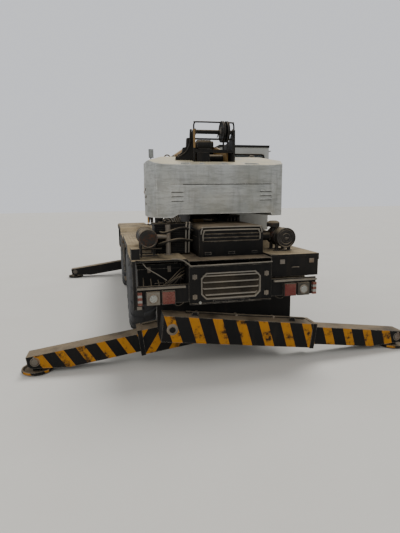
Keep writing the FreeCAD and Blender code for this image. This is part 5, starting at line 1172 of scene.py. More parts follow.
    def _hood_trim(self) -> None:
        """Grab rails with rounded corners round the hood's rear, hinges, latches and bolts."""
        form = Form("hood_trim", "carrier", "carrier_paint", Paints.bars)
        y = REAR_Y + 0.262
        for x0, x1, z0, z1 in ((-0.345, 0.525, 1.790, 1.878), (-0.320, 0.500, 1.700, 1.836)):
            path = [(x0, z0), (x0, z1 - 0.06), (x0 + 0.02, z1 - 0.015), (x0 + 0.07, z1), (x1 - 0.07, z1),
                    (x1 - 0.02, z1 - 0.015), (x1, z1 - 0.06), (x1, z0)]
            form.pipe([(x, y, z) for x, z in path], 0.010, 10, 3)
            for x in (x0, x1):
                form.pipe([(x, y, z0 + 0.004), (x, REAR_Y + 0.290, z0 - 0.008)], 0.010, 8)
        form.use(Paints.carrier)
        for x in (-0.25, 0.09, 0.43):
            form.box((x - 0.045, REAR_Y + 0.270, 1.500), (x + 0.045, REAR_Y + 0.282, 1.535), 0.004)
        form.use(Paints.louvre)
        slots = REPEAT.make("row", Paints.louvre, Count=9, Step=(0.0, 0.085, 0.0), Round=False,
                            Size=(0.012, 0.060, 0.200))
        for x in (-0.379, 0.559):
            form.shape(slots, Matrix.Translation((x, REAR_Y + 0.400, 1.640)))
        form.use(Paints.zinc)
        heads = REPEAT.make("row", Paints.zinc, Count=8, Step=(0.0, 0.115, 0.0), Size=(0.018, 0.018, 0.008))
        for x, turn in ((-0.378, -1), (0.558, 1)):
            for i in range(8):
                head = REPEAT.make("ring", Paints.zinc, Count=1, Circle=0.0, Head=0.009, Height=0.010)
                form.shape(head, facing((x, REAR_Y + 0.33 + 0.115 * i, 1.510), (turn, 0, 0)))
        form.done()

    def _air_cleaner(self) -> None:
        """The drum on the right deck with its ringed end, bands, inlet and duct."""
        form = Form("air_cleaner_dressed", "carrier", "drum_paint", Paints.drum)
        centre = at(0.930, 0.320, 1.690)
        outline = [(0.012, 0.0), (0.012, 0.020), (0.006, 0.028), (0.006, 0.060), (0.014, 0.066), (0.014, 0.084),
                   (0.004, 0.092), (0.004, 0.112), (0.014, 0.122), (0.000, 0.132), (0.000, 0.141), (0.006, 0.145),
                   (0.030, 0.145), (0.032, 0.139), (0.120, 0.139), (0.124, 0.143), (0.140, 0.143), (0.144, 0.139),
                   (0.330, 0.139), (0.334, 0.143), (0.350, 0.143), (0.354, 0.139), (0.440, 0.139), (0.470, 0.120),
                   (0.470, 0.0)]
        form.lathe(outline, centre, Axis.Y, 56)
        form.use(Paints.zinc)
        form.lathe([(-0.014, 0.0), (-0.014, 0.010), (0.012, 0.010), (0.012, 0.0)], centre, Axis.Y, 16)
        form.box(centre + Vector((-0.030, -0.012, -0.005)), centre + Vector((0.030, -0.004, 0.005)), 0.002)
        form.use(Paints.drum)
        for y in (0.13, 0.34):
            form.box(centre + Vector((-0.115, y - 0.020, -0.204)), centre + Vector((-0.075, y + 0.020, -0.090)), 0.004)
            form.box(centre + Vector((0.075, y - 0.020, -0.204)), centre + Vector((0.115, y + 0.020, -0.090)), 0.004)
            form.box(centre + Vector((-0.135, y - 0.030, -0.204)), centre + Vector((0.135, y + 0.030, -0.190)), 0.003)
        stem = at(0.820, 0.560, 1.690)
        form.pipe([stem, stem + Vector((0, 0, 0.16))], 0.042, 24)
        cap = [(0.150, 0.045), (0.150, 0.085), (0.158, 0.095), (0.205, 0.095), (0.222, 0.084), (0.238, 0.050),
               (0.240, 0.0)]
        form.lathe([(0.150, 0.0)] + cap, stem, Axis.Z, 36)
        form.use(Paints.rubber)
        duct = [at(0.830, 0.650, 1.690), at(0.760, 0.652, 1.690), at(0.690, 0.650, 1.688), at(0.570, 0.650, 1.690)]
        form.pipe(duct, 0.060, 24, 4)
        form.use(Paints.zinc)
        for x in (0.585, 0.790):
            form.lathe([(-0.008, 0.062), (-0.008, 0.065), (0.008, 0.065), (0.008, 0.062)], at(x, 0.650, 1.690),
                       Axis.X, 24, closed=True)
        form.done("air_cleaner")

    def _muffler(self) -> None:
        """The drum on the left deck with its bands, saddle, elbow and upright pipe."""
        form = Form("muffler_dressed", "carrier", "drum_paint", Paints.drum)
        centre = at(-1.060, 0.280, 1.745)
        outline = [(0.012, 0.0), (0.010, 0.050), (0.004, 0.090), (0.010, 0.104), (0.000, 0.112), (0.000, 0.121),
                   (0.006, 0.126), (0.018, 0.126), (0.022, 0.120), (0.150, 0.120), (0.154, 0.1245), (0.186, 0.1245),
                   (0.190, 0.120), (0.400, 0.120), (0.404, 0.1245), (0.436, 0.1245), (0.440, 0.120),
                   (0.568, 0.120), (0.572, 0.126), (0.586, 0.126), (0.590, 0.118), (0.580, 0.060), (0.578, 0.0)]
        form.lathe(outline, centre, Axis.Y, 52)
        for y in (0.170, 0.420):
            form.prism([(-0.118, -0.249), (0.128, -0.249), (0.110, -0.205), (0.095, -0.090), (-0.095, -0.090),
                        (-0.108, -0.205)], y - 0.020, y + 0.020, Axis.Y, 0.003, 1) if False else None
            form.box(centre + Vector((-0.120, y - 0.025, -0.253)), centre + Vector((0.130, y + 0.025, -0.238)), 0.003)
            for x in (-0.100, 0.075):
                form.box(centre + Vector((x, y - 0.018, -0.245)), centre + Vector((x + 0.025, y + 0.018, -0.075)),
                         0.003)
        form.use(Paints.zinc)
        pipe = at(-0.760, 0.540, 0.0)
        form.pipe([pipe + Vector((0, 0, 1.491)), pipe + Vector((0, 0, 1.895))], 0.036, 24)
        form.lathe([(1.880, 0.030), (1.880, 0.038), (1.910, 0.038), (1.910, 0.030)], pipe, Axis.Z, 28, closed=True)
        form.pipe([at(-0.960, 0.540, 1.745), at(-0.880, 0.540, 1.745), at(-0.800, 0.540, 1.745),
                   at(-0.765, 0.540, 1.745)], 0.033, 20)
        form.lathe([(1.485, 0.040), (1.485, 0.062), (1.497, 0.062), (1.497, 0.040)], pipe, Axis.Z, 28, closed=True)
        form.done("muffler")


@dataclass
class UpperWorks:
    """What the slewing platform carries: tail guard, winches, slew drive, tank, steps and hoses."""

    guard_ahead: float = 0.850
    inner: float = 0.285
    cheek: float = 0.032
    tube_z: float = 3.215
    shelf_z: float = 3.105
    hoop_z: float = 3.352
    cheek_top: float = 3.250
    drums: tuple = ((1.560, 2.080), (1.180, 2.420))

    def build(self) -> None:
        """Makes every piece of the upper works but the cab and boom."""
        self._guard()
        self._winches()
        self._platform()
        self._weight_trim()

    def _guard(self) -> None:
        """Hoop with bent corners, cross tube, shelf, motor and two grooved rope discs."""
        form = Form("tail_guard_dressed", "superstructure", "guard_steel", Paints.guard)
        y = REAR_Y + self.guard_ahead
        reach = self.inner + self.cheek / 2
        top = self.hoop_z
        hoop = [(-reach, self.cheek_top - 0.002), (-reach, top - 0.045), (-reach + 0.012, top - 0.012),
                (-reach + 0.045, top), (reach - 0.045, top), (reach - 0.012, top - 0.012), (reach, top - 0.045),
                (reach, self.cheek_top - 0.002)]
        form.pipe([(x, y + 0.015, z) for x, z in hoop], 0.0118, 12, 2)
        form.lathe([(-self.inner, 0.0), (-self.inner, 0.046), (-self.inner + 0.008, 0.046),
                    (-self.inner + 0.010, 0.030), (self.inner - 0.010, 0.030), (self.inner - 0.008, 0.046),
                    (self.inner, 0.046), (self.inner, 0.0)], (0, y + 0.010, self.tube_z), Axis.X, 32)
        form.box((-self.inner, y - 0.005, self.shelf_z), (self.inner, y + 0.025, self.shelf_z + 0.022), 0.003)
        form.box((-self.inner, y - 0.020, 2.925), (self.inner, y + 0.060, 2.965), 0.004)
        form.lathe([(-0.285, 0.0), (-0.285, 0.040), (-0.262, 0.040), (-0.262, 0.062), (-0.245, 0.068),
                    (-0.060, 0.068), (-0.050, 0.052), (-0.020, 0.052), (-0.020, 0.0)],
                   (0, y + 0.020, 3.034), Axis.X, 32)
        form.box((-0.240, y - 0.020, 2.962), (-0.070, y + 0.060, 3.010), 0.006)
        form.box((-0.262, y - 0.010, 2.790), (-0.075, y + 0.055, 2.930), 0.010, 3)
        for x in (0.095, 0.160):
            wide = 0.032
            disc = [(0.0, 0.030), (0.0, 0.062), (0.006, 0.068), (0.006, 0.118), (0.0, 0.124), (0.0, 0.150),
                    (0.008, 0.150), (0.013, 0.136), (wide - 0.013, 0.136), (wide - 0.008, 0.150), (wide, 0.150),
                    (wide, 0.124), (wide - 0.006, 0.118), (wide - 0.006, 0.068), (wide, 0.062), (wide, 0.030)]
            form.lathe(disc, (x, y - 0.020, self.tube_z), Axis.X, 48, closed=True)
            form.prism([(y - 0.048, self.tube_z - 0.02), (y + 0.010, self.tube_z - 0.02), (y + 0.030, 2.950),
                        (y - 0.020, 2.950)], x + 0.034, x + 0.046, Axis.X, 0.003, 1)
        form.use(Paints.zinc)
        form.lathe([(0.080, 0.0), (0.080, 0.030), (0.210, 0.030), (0.210, 0.0)], (0, y - 0.020, self.tube_z),
                   Axis.X, 24)
        heads = REPEAT.make("ring", Paints.zinc, Count=6, Circle=0.052, Head=0.007, Height=0.010)
        form.shape(heads, facing((0.078, y - 0.020, self.tube_z), (-1, 0, 0)))
        form.shape(heads, facing((-0.290 + 0.030, y + 0.020, 3.034), (-1, 0, 0)))
        form.use(Paints.rope)
        form.pipe([(0.111, y - 0.020, self.tube_z + 0.140), (0.111, y + 0.060, self.tube_z + 0.116),
                   (0.105, REAR_Y + 1.080, 3.172)], 0.007, 8, 3)
        form.done("tail_guard")
        steps = Form("cheek_covers", "superstructure", "guard_steel", Paints.guard)
        stepped = [(-0.3165, 3.262), (-0.338, 3.262), (-0.345, 3.140), (-0.392, 3.135), (-0.402, 3.010),
                   (-0.452, 3.000), (-0.462, 2.940), (-0.560, 2.865), (-0.560, 2.830), (-0.3165, 2.830)]
        steps.prism(stepped, REAR_Y + 0.930, REAR_Y + 0.990, Axis.Y, 0.004)
        for ahead, low, high, out in ((1.00, 3.02, 3.09, 0.06), (1.16, 2.90, 3.02, 0.09), (1.34, 2.88, 2.95, 0.13)):
            steps.box(at(-0.3165 - out, ahead, low), at(-0.3165, ahead + 0.10, high), 0.004)
        steps.pipe([at(-0.345, 0.925, 3.20), at(-0.360, 0.90, 3.05), at(-0.420, 0.915, 2.93), at(-0.53, 0.93, 2.86)],
                   0.010, 8, 4)
        steps.use(Paints.boom)
        steps.box(at(-0.3165, 0.8375, 2.990), at(-0.2860, 0.8400, 3.248), 0.0)
        steps.done()

    def _winches(self) -> None:
        """Both drums with their laid rope, flanges, gear cases and motors."""
        form = Form("winches_dressed", "superstructure", "engine_casting", Paints.engine)
        for ahead, z in self.drums:
            centre = at(0, ahead, z)
            for x in (-self.inner + 0.060, self.inner - 0.074):
                form.lathe([(0.0, 0.10), (0.0, 0.178), (0.003, 0.185), (0.011, 0.185), (0.014, 0.178), (0.014, 0.10)],
                           centre + Vector((x, 0, 0)), Axis.X, 44, closed=True)
            for side in (-1, 1):
                hub = [(0.0, 0.0), (0.0, 0.125), (0.020, 0.125), (0.026, 0.110), (0.055, 0.105), (0.0595, 0.080),
                       (0.0595, 0.0)]
                form.place = Matrix.Scale(side, 4, (1, 0, 0))
                form.lathe([(self.inner - 0.060 + a, r) for a, r in hub], centre, Axis.X, 36)
                form.place = Matrix.Identity(4)
            form.use(Paints.rope)
            wraps, start, end = 26, -0.2105, 0.2105
            step = (end - start) / wraps
            outline = [(start, 0.0)]
            for i in range(wraps):
                for share, rise in ((0.0, 0.150), (0.25, 0.1565), (0.5, 0.159), (0.75, 0.1565)):
                    outline.append((start + (i + share) * step, rise))
            outline += [(end, 0.150), (end, 0.0)]
            form.lathe(outline, centre, Axis.X, 40)
            form.use(Paints.engine)
        form.done("winches")

    def _platform(self) -> None:
        """Slew drive, valve bank, oil tank behind the cab, ring bolts, hoses, lamp pole and treads."""
        form = Form("platform_fittings", "superstructure", "upper_paint", Paints.upper)
        slew = at(-0.470, 3.950, 0)
        form.lathe([(1.675, 0.0), (1.675, 0.118), (1.700, 0.118), (1.704, 0.095), (1.860, 0.095), (1.864, 0.110),
                    (1.885, 0.110), (1.888, 0.070), (1.990, 0.070), (2.000, 0.060), (2.000, 0.0)], slew, Axis.Z, 36)
        form.box(at(-0.600, 2.620, 1.676), at(-0.360, 3.060, 1.800), 0.008)
        for i in range(6):
            x, y = -0.5, 2.68 + 0.064 * i
            form.lathe([(1.795, 0.0), (1.795, 0.018), (1.845, 0.018), (1.850, 0.012), (1.850, 0.0)],
                       at(x, y, 0), Axis.Z, 16)
        form.use(Paints.guard)
        form.box(at(0.352, 1.515, 1.677), at(0.612, 1.735, 1.975), 0.010, 3)
        form.box(at(0.350, 1.508, 1.958), at(0.614, 1.742, 1.978), 0.004)
        form.use(Paints.bars)
        form.lathe([(1.978, 0.0), (1.978, 0.032), (1.992, 0.032), (1.996, 0.026), (1.996, 0.0)], at(0.42, 1.60, 0),
                   Axis.Z, 24)
        for x in (0.40, 0.46, 0.52, 0.58):
            form.pipe([at(x, 1.504, 1.700), at(x, 1.500, 1.80), at(x, 1.504, 1.940)], 0.007, 8, 2)
        heads = REPEAT.make("ring", Paints.zinc, Count=30, Circle=0.585, Head=0.014, Height=0.018)
        form.shape(heads, Matrix.Translation((0, -1.9875, 1.684)))
        for side in (-1, 1):
            for ahead, z, count in ((1.62, 1.745, 9), (2.90, 1.745, 6)):
                row = REPEAT.make("row", Paints.zinc, Count=count, Step=(0.0, 0.0, 0.135), Size=(0.026, 0.026, 0.012))
                turned = Matrix.Rotation(math.radians(90), 4, "X") @ Matrix.Identity(4)
                form.shape(row, Matrix.Translation(at(side * 0.3225, ahead, z))
                           @ Matrix.Rotation(math.radians(90), 4, "Y") @ turned)
        form.use(Paints.rubber)
        for i in range(5):
            x = -0.345 - 0.028 * i
            form.pipe([at(x - 0.06, 2.72 + 0.064 * i, 1.85), at(x, 2.60, 1.99 - 0.03 * i), at(x + 0.01, 2.30, 1.96 - 0.035 * i),
                       at(x + 0.012, 1.95, 1.80), at(x + 0.02, 1.62, 1.735 + 0.01 * i)], 0.011, 8, 5)
        form.use(Paints.guard)
        pole = at(-0.590, 4.130, 0)
        form.pipe([pole + Vector((0, 0, 1.676)), pole + Vector((0, 0, 3.300))], 0.012, 10)
        form.box(pole + Vector((-0.045, -0.012, 3.150)), pole + Vector((0.060, 0.018, 3.335)), 0.010, 3)
        form.use(Paints.white_lens)
        form.box(pole + Vector((-0.038, -0.016, 3.158)), pole + Vector((0.053, -0.011, 3.327)), 0.002)
        form.use(Paints.guard)
        form.box(pole + Vector((-0.030, -0.010, 3.050)), pole + Vector((0.035, 0.014, 3.110)), 0.006)
        for side in (-1, 1):
            form.use(Paints.upper)
            form.pipe([at(side * 0.301, ahead, z) for ahead, z in
                       ((4.235, 1.900), (2.700, 2.2505), (1.750, 2.5605), (1.330, 3.0855))], 0.0145, 10)
            for ahead, z, reach in ((1.200, 2.870, 0.115), (2.100, 1.830, 0.095)):
                ends = sorted((side * 0.3170, side * 0.3300))
                form.lathe([(ends[0], 0.0), (ends[0], reach), (ends[1], reach), (ends[1], 0.0)], at(0, ahead, z),
                           Axis.X, 36)
                caps = REPEAT.make("ring", Paints.zinc, Count=8, Circle=reach * 0.74, Head=0.012, Height=0.012)
                form.shape(caps, facing((side * 0.3300, REAR_Y + ahead, z), (side, 0, 0)))
            for ahead, top in ((2.45, 2.20), (3.10, 2.05), (3.75, 1.92)):
                low, high = sorted((side * 0.317, side * 0.335))
                form.box(at(low, ahead, 1.676), at(high, ahead + 0.014, top), 0.003)
        form.use(Paints.deck)
        treads = REPEAT.make("field", Paints.deck, Length=1.00, Width=0.24, Along=26, Across=7, Tread=0.014,
                             Rise=0.0015)
        form.shape(treads, Matrix.Translation(at(-0.46, 2.10, 1.677)))
        form.done()

    def _weight_trim(self) -> None:
        """Lifting eyes and cover bolts of the counterweight, and near-black strips that paint the shade in its groove
        and under its ribs.
        """
        form = Form("weight_trim", "superstructure", "weight_paint", Paints.louvre)
        # Painted shade: a near-black strip in the groove and painted shadows under each rib on the rear face.
        form.box(at(-0.520, 0.5985, 2.4570), at(0.800, 0.6005, 2.4635), 0.0)
        for x0, x1 in ((-0.690, -0.520), (0.620, 0.800)):
            for z in (2.357, 2.295, 2.233):
                form.box(at(x0, 0.5975, z - 0.007), at(x1, 0.6005, z), 0.0)
        form.use(Paints.zinc)
        for x in (-0.63, 0.75):
            points = [at(x + 0.045 * math.cos(a), 1.330, 2.888 + 0.045 * math.sin(a))
                      for a in [math.pi * k / 6 for k in range(7)]]
            form.pipe(points, 0.011, 10, 1)
        for x in (-0.985, 1.105):
            sign = -1 if x < 0 else 1
            heads = REPEAT.make("ring", Paints.zinc, Count=4, Circle=0.11, Head=0.020, Height=0.014)
            form.shape(heads, facing((x + sign * 0.002, REAR_Y + 1.26, 2.30), (sign, 0, 0)))
        form.done()


@dataclass
class CabDress:
    """The cab's seals, gutter, wiper, mirror, handles, lamps, controls and the padded seat."""

    inner_x: float = 0.340
    outer_x: float = 1.225
    rear: float = 1.760
    front: float = 3.460
    floor: float = 1.690
    roof: float = 3.150
    wall: float = 0.042
    seat: Vector = field(default_factory=lambda: at(0.8225, 2.320, 1.732))
    voxel: float = 0.006
    pressure: float = 4.0
    swell_limit: float = 0.018

    def build(self) -> None:
        """Makes every piece of the cab."""
        self._shell()
        self._door()
        self._controls()
        self._seat()

    @staticmethod
    def _seal(form: Form, corners: Sequence[Vector], radius: float = 0.011) -> None:
        """A rubber seal with rounded corners round a window."""
        points: list[Vector] = []
        count = len(corners)
        for i, corner in enumerate(corners):
            before, after = corners[i - 1], corners[(i + 1) % count]
            into = (before - corner).normalized() * 0.05
            out = (after - corner).normalized() * 0.05
            points += [corner + into, corner + (into + out) * 0.25, corner + out]
        points.append(points[0])
        form.pipe(points, radius, 8)

    def _shell(self) -> None:
        """Window seals, roof gutter, roof lamp, hatch rim, wiper and mirror."""
        form = Form("cab_trim", "superstructure", "cab_paint", Paints.rubber)
        rear, front = REAR_Y + self.rear, REAR_Y + self.front
        low, high = self.inner_x + 0.090, self.outer_x - 0.090
        for y, z0 in ((rear - 0.001, 2.449), (front + 0.001, 2.084)):
            self._seal(form, [Vector((low, y, z0)), Vector((high, y, z0)), Vector((high, y, 3.0)),
                              Vector((low, y, 3.0))])
        y0, y1 = rear + 0.42, front - 0.14
        self._seal(form, [Vector((self.inner_x - 0.001, y0, 2.347)), Vector((self.inner_x - 0.001, y1, 2.347)),
                          Vector((self.inner_x - 0.001, y1, 3.0)), Vector((self.inner_x - 0.001, y0, 3.0))])
        r0, r1 = front - 0.70, front - 0.20
        self._seal(form, [Vector((self.inner_x + 0.18, r0, self.roof + 0.001)),
                          Vector((self.outer_x - 0.18, r0, self.roof + 0.001)),
                          Vector((self.outer_x - 0.18, r1, self.roof + 0.001)),
                          Vector((self.inner_x + 0.18, r1, self.roof + 0.001))], 0.009)
        form.use(Paints.guard)
        edge = 0.012
        for a, b in (((self.inner_x - edge, rear - edge), (self.outer_x + 0.006, rear)),
                     ((self.inner_x - edge, front), (self.outer_x + 0.006, front + edge)),
                     ((self.inner_x - edge, rear), (self.inner_x, front)),
                     ((self.outer_x, rear), (self.outer_x + 0.006, front))):
            form.box((a[0], a[1], self.roof - 0.034), (b[0], b[1], self.roof + 0.004), 0.002, 1)
        form.pipe([(0.80, front + 0.020, 2.060), (0.80, front + 0.034, 2.085), (0.63, front + 0.018, 2.560)], 0.006, 8)
        form.box((0.615, front + 0.006, 2.260), (0.645, front + 0.018, 2.820), 0.003, 1)
        form.box((0.770, front, 2.020), (0.850, front + 0.022, 2.075), 0.006)
        form.pipe([(self.outer_x - 0.03, front + 0.004, 2.60), (self.outer_x - 0.02, front + 0.090, 2.62),
                   (self.outer_x - 0.02, front + 0.095, 2.80)], 0.008, 8, 3)
        form.box((self.outer_x - 0.110, front + 0.080, 2.62), (self.outer_x + 0.005, front + 0.104, 2.86), 0.014, 3)
        form.use(Paints.white_lens)
        form.box((self.outer_x - 0.100, front + 0.076, 2.634), (self.outer_x - 0.005, front + 0.080, 2.846), 0.001)
        for x in (0.50, 1.06):
            form.use(Paints.guard)
            form.lathe([(0.0, 0.0), (0.0, 0.030), (0.030, 0.058), (0.050, 0.062), (0.050, 0.0)],
                       (x, front + 0.006, 3.075), Axis.Y, 28)
            form.use(Paints.white_lens)
            form.lathe([(0.049, 0.056), (0.054, 0.040), (0.057, 0.0)], (x, front + 0.006, 3.075), Axis.Y, 28)
        form.use(Paints.zinc)
        for x in (self.inner_x + 0.05, self.outer_x - 0.05):
            row = REPEAT.make("row", Paints.zinc, Count=6, Step=(0.0, 0.0, 0.25), Size=(0.018, 0.018, 0.008))
            for i in range(6):
                head = REPEAT.make("ring", Paints.zinc, Count=1, Circle=0.0, Head=0.009, Height=0.008)
                form.shape(head, facing((x, rear - 0.002, 1.76 + 0.25 * i), (0, -1, 0)))
        form.use(Paints.guard)
        form.pipe([(self.inner_x - 0.004, rear + 0.16, 2.02), (self.inner_x - 0.050, rear + 0.16, 2.05),
                   (self.inner_x - 0.050, rear + 0.16, 2.62), (self.inner_x - 0.004, rear + 0.16, 2.65)], 0.010, 8)
        form.done()

    def _door(self) -> None:
        """The sliding door's leaf round its window, its seal, handles, rollers and sill strip."""
        form = Form("door_dressed", "cab_door", "cab_paint", Paints.cab)
        x, y0, y1 = 1.269, REAR_Y + 2.380, REAR_Y + 3.200
        outer = [(y0, 1.760), (y1, 1.760), (y1, 3.050), (y0, 3.050)]
        inner = [(y0 + 0.080, 2.197), (y1 - 0.080, 2.197), (y1 - 0.080, 2.980), (y0 + 0.080, 2.980)]
        part = bmesh.new()
        rings = [[part.verts.new((side, y, z)) for y, z in line] for side in (1.231, x) for line in (outer, inner)]
        for i in range(4):
            j = (i + 1) % 4
            for a, b in ((0, 1), (1, 3), (3, 2), (2, 0)):
                part.faces.new((rings[a][i], rings[a][j], rings[b][j], rings[b][i]))
        bmesh.ops.recalc_face_normals(part, faces=part.faces)
        sharp = [edge for edge in part.edges if edge.calc_face_angle(0) > 0.5]
        bmesh.ops.bevel(part, geom=sharp, offset=0.006, segments=3, profile=0.5, affect="EDGES", clamp_overlap=True)
        leaf = bpy.data.meshes.new("door_leaf")
        part.to_mesh(leaf)
        part.free()
        form.shape(leaf)
        for z in (1.840, 2.020):
            form.box((x - 0.002, y0 + 0.10, z), (x + 0.003, y1 - 0.10, z + 0.110), 0.002, 1)
        form.use(Paints.rubber)
        self._seal(form, [Vector((x + 0.001, y, z)) for y, z in inner])
        form.use(Paints.guard)
        form.box((x, y1 - 0.070, 2.180), (x + 0.022, y1 - 0.030, 2.330), 0.006, 3)
        form.pipe([(x, y0 + 0.045, 1.98), (x + 0.020, y0 + 0.045, 2.00), (x + 0.020, y0 + 0.045, 2.30),
                   (x, y0 + 0.045, 2.32)], 0.008, 8)
        form.use(Paints.zinc)
        for y in (y0 + 0.07, y1 - 0.07):
            form.lathe([(-0.004, 0.0), (-0.004, 0.020), (0.010, 0.020), (0.010, 0.0)], (x - 0.003, y, 3.020), Axis.X, 20)
        form.done("cab_door")

    def _controls(self) -> None:
        """Steering wheel, column, levers with knobs, pedals and the gauge panel."""
        form = Form("controls_dressed", "superstructure", "control_plastic", Paints.control)
        low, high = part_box("cab_controls")
        x = self.seat.x
        front = min(high.y, REAR_Y + 3.30)
        centre = Vector((x, REAR_Y + 2.94, 2.470))
        tilt = Matrix.Translation(centre) @ Matrix.Rotation(math.radians(28), 4, "X")
        form.place = tilt
        rim = [(0.014 * math.sin(a), 0.205 + 0.014 * math.cos(a)) for a in [2 * math.pi * k / 10 for k in range(10)]]
        form.lathe(rim, (0, 0, 0), Axis.Z, 48, closed=True)
        form.lathe([(-0.030, 0.0), (-0.028, 0.045), (0.006, 0.040), (0.010, 0.0)], (0, 0, 0), Axis.Z, 24)
        for k in range(3):
            a = math.radians(90 + 120 * k)
            form.pipe([(0.03 * math.cos(a), 0.03 * math.sin(a), -0.012), (0.20 * math.cos(a), 0.20 * math.sin(a), 0.0)],
                      0.009, 8)
        form.place = Matrix.Identity(4)
        down = tilt @ Vector((0, 0, -0.02))
        form.pipe([down, Vector((x, REAR_Y + 3.15, 2.05)), Vector((x, REAR_Y + 3.27, 1.735))], 0.030, 16)
        form.box((x - 0.24, REAR_Y + 3.20, 2.02), (x + 0.24, REAR_Y + 3.40, 2.30), 0.020, 3)
        form.use(Paints.rubber)
        for k in range(3):
            form.box((x - 0.20 + 0.15 * k, REAR_Y + 3.02, 1.760), (x - 0.11 + 0.15 * k, REAR_Y + 3.10, 1.776), 0.006)
            form.pipe([(x - 0.155 + 0.15 * k, REAR_Y + 3.06, 1.765), (x - 0.155 + 0.15 * k, REAR_Y + 3.20, 1.80)],
                      0.010, 8)
        form.use(Paints.control)
        for sign in (-1, 1):
            cx = x + sign * 0.335
            form.box((cx - 0.065, REAR_Y + 2.30, 1.733), (cx + 0.065, REAR_Y + 2.90, 2.100), 0.015, 3)
            for k in range(3):
                y = REAR_Y + 2.62 + 0.085 * k
                form.use(Paints.zinc)
                form.pipe([(cx, y, 2.095), (cx, y + 0.012, 2.26)], 0.007, 8)
                form.use(Paints.rubber)
                form.lathe([(0.0, 0.0), (0.0, 0.012), (0.012, 0.021), (0.030, 0.022), (0.044, 0.012), (0.048, 0.0)],
                           (cx, y + 0.012, 2.255), Axis.Z, 18)
                form.lathe([(0.0, 0.030), (0.008, 0.026), (0.016, 0.024), (0.024, 0.016), (0.034, 0.009)],
                           (cx, y, 2.098), Axis.Z, 18)
                form.use(Paints.control)
        for k in range(4):
            form.use(Paints.zinc)
            form.lathe([(-0.006, 0.028), (-0.008, 0.033), (0.0, 0.034), (0.0, 0.028)],
                       (x - 0.15 + 0.10 * k, REAR_Y + 3.201, 2.215), Axis.Y, 24, closed=True)
            form.use(Paints.white_lens)
            form.lathe([(-0.003, 0.0), (-0.002, 0.028), (0.0, 0.028)], (x - 0.15 + 0.10 * k, REAR_Y + 3.201, 2.215),
                       Axis.Y, 24)
        form.done("cab_controls")

    def _pad(self, name: str, low: Vector, high: Vector, crown: float) -> bpy.types.Object:
        """One stuffed pad: a shaped block, swollen by cloth simulation.

        Args:
            name: The pad's name.
            low: Its lowest corner.
            high: Its highest corner.
            crown: How far its flat middle stands out before it swells.

        Returns:
            The pad as an object with a plain mesh, not yet dressed.
        """
        part = bmesh.new()
        bmesh.ops.create_cube(part, size=1.0)
        bmesh.ops.subdivide_edges(part, edges=part.edges, cuts=7, use_grid_fill=True)
        size, middle = high - low, (high + low) / 2
        thin = min(range(3), key=lambda i: size[i])
        for vertex in part.verts:
            flat = [vertex.co[i] * 2 for i in range(3) if i != thin]
            pull = (1 - flat[0] ** 2) * (1 - flat[1] ** 2)
            vertex.co[thin] *= 1 + crown * pull
            for i in range(3):
                if i != thin:
                    vertex.co[i] *= 0.97 + 0.03 * abs(vertex.co[thin] * 2)
        bmesh.ops.bevel(part, geom=[e for e in part.edges if e.calc_face_angle(0) > 0.8], offset=0.1, segments=3,
                        affect="EDGES", clamp_overlap=True)
        bmesh.ops.recalc_face_normals(part, faces=part.faces)
        part.transform(Matrix.Translation(middle) @ Matrix.Diagonal(size).to_4x4())
        made = bpy.data.meshes.new(name)
        part.to_mesh(made)
        part.free()
        pad = bpy.data.objects.new(name, made)
        bpy.context.scene.collection.objects.link(pad)
        return self._swollen(pad)

    def _swollen(self, pad: bpy.types.Object) -> bpy.types.Object:
        """Remeshes a pad and blows it up a little, with the result in its mesh."""
        remesh = pad.modifiers.new("even", "REMESH")
        remesh.mode = "VOXEL"
        remesh.voxel_size = self.voxel
        self._apply(pad)
        before = [v.co.copy() for v in pad.data.vertices]
        cloth = pad.modifiers.new("cloth", "CLOTH")
        cloth.settings.use_pressure = True
        cloth.settings.uniform_pressure_force = self.pressure
        cloth.settings.effector_weights.gravity = 0.0
        scene = bpy.context.scene
        for number in range(1, 21):
            scene.frame_set(number)
        self._apply(pad)
        for vertex, place in zip(pad.data.vertices, before):
            move = vertex.co - place
            if move.length > self.swell_limit:
                vertex.co = place + move.normalized() * self.swell_limit
        scene.frame_set(1)
        smooth = pad.modifiers.new("smooth", "SUBSURF")
        smooth.levels = smooth.render_levels = 1
        self._apply(pad)
        return pad

    @staticmethod
    def _apply(pad: bpy.types.Object) -> None:
        """Turns a pad's modifiers into its mesh."""
        graph = bpy.context.evaluated_depsgraph_get()
        made = bpy.data.meshes.new_from_object(pad.evaluated_get(graph))
        pad.modifiers.clear()
        old = pad.data
        pad.data = made
        bpy.data.meshes.remove(old)

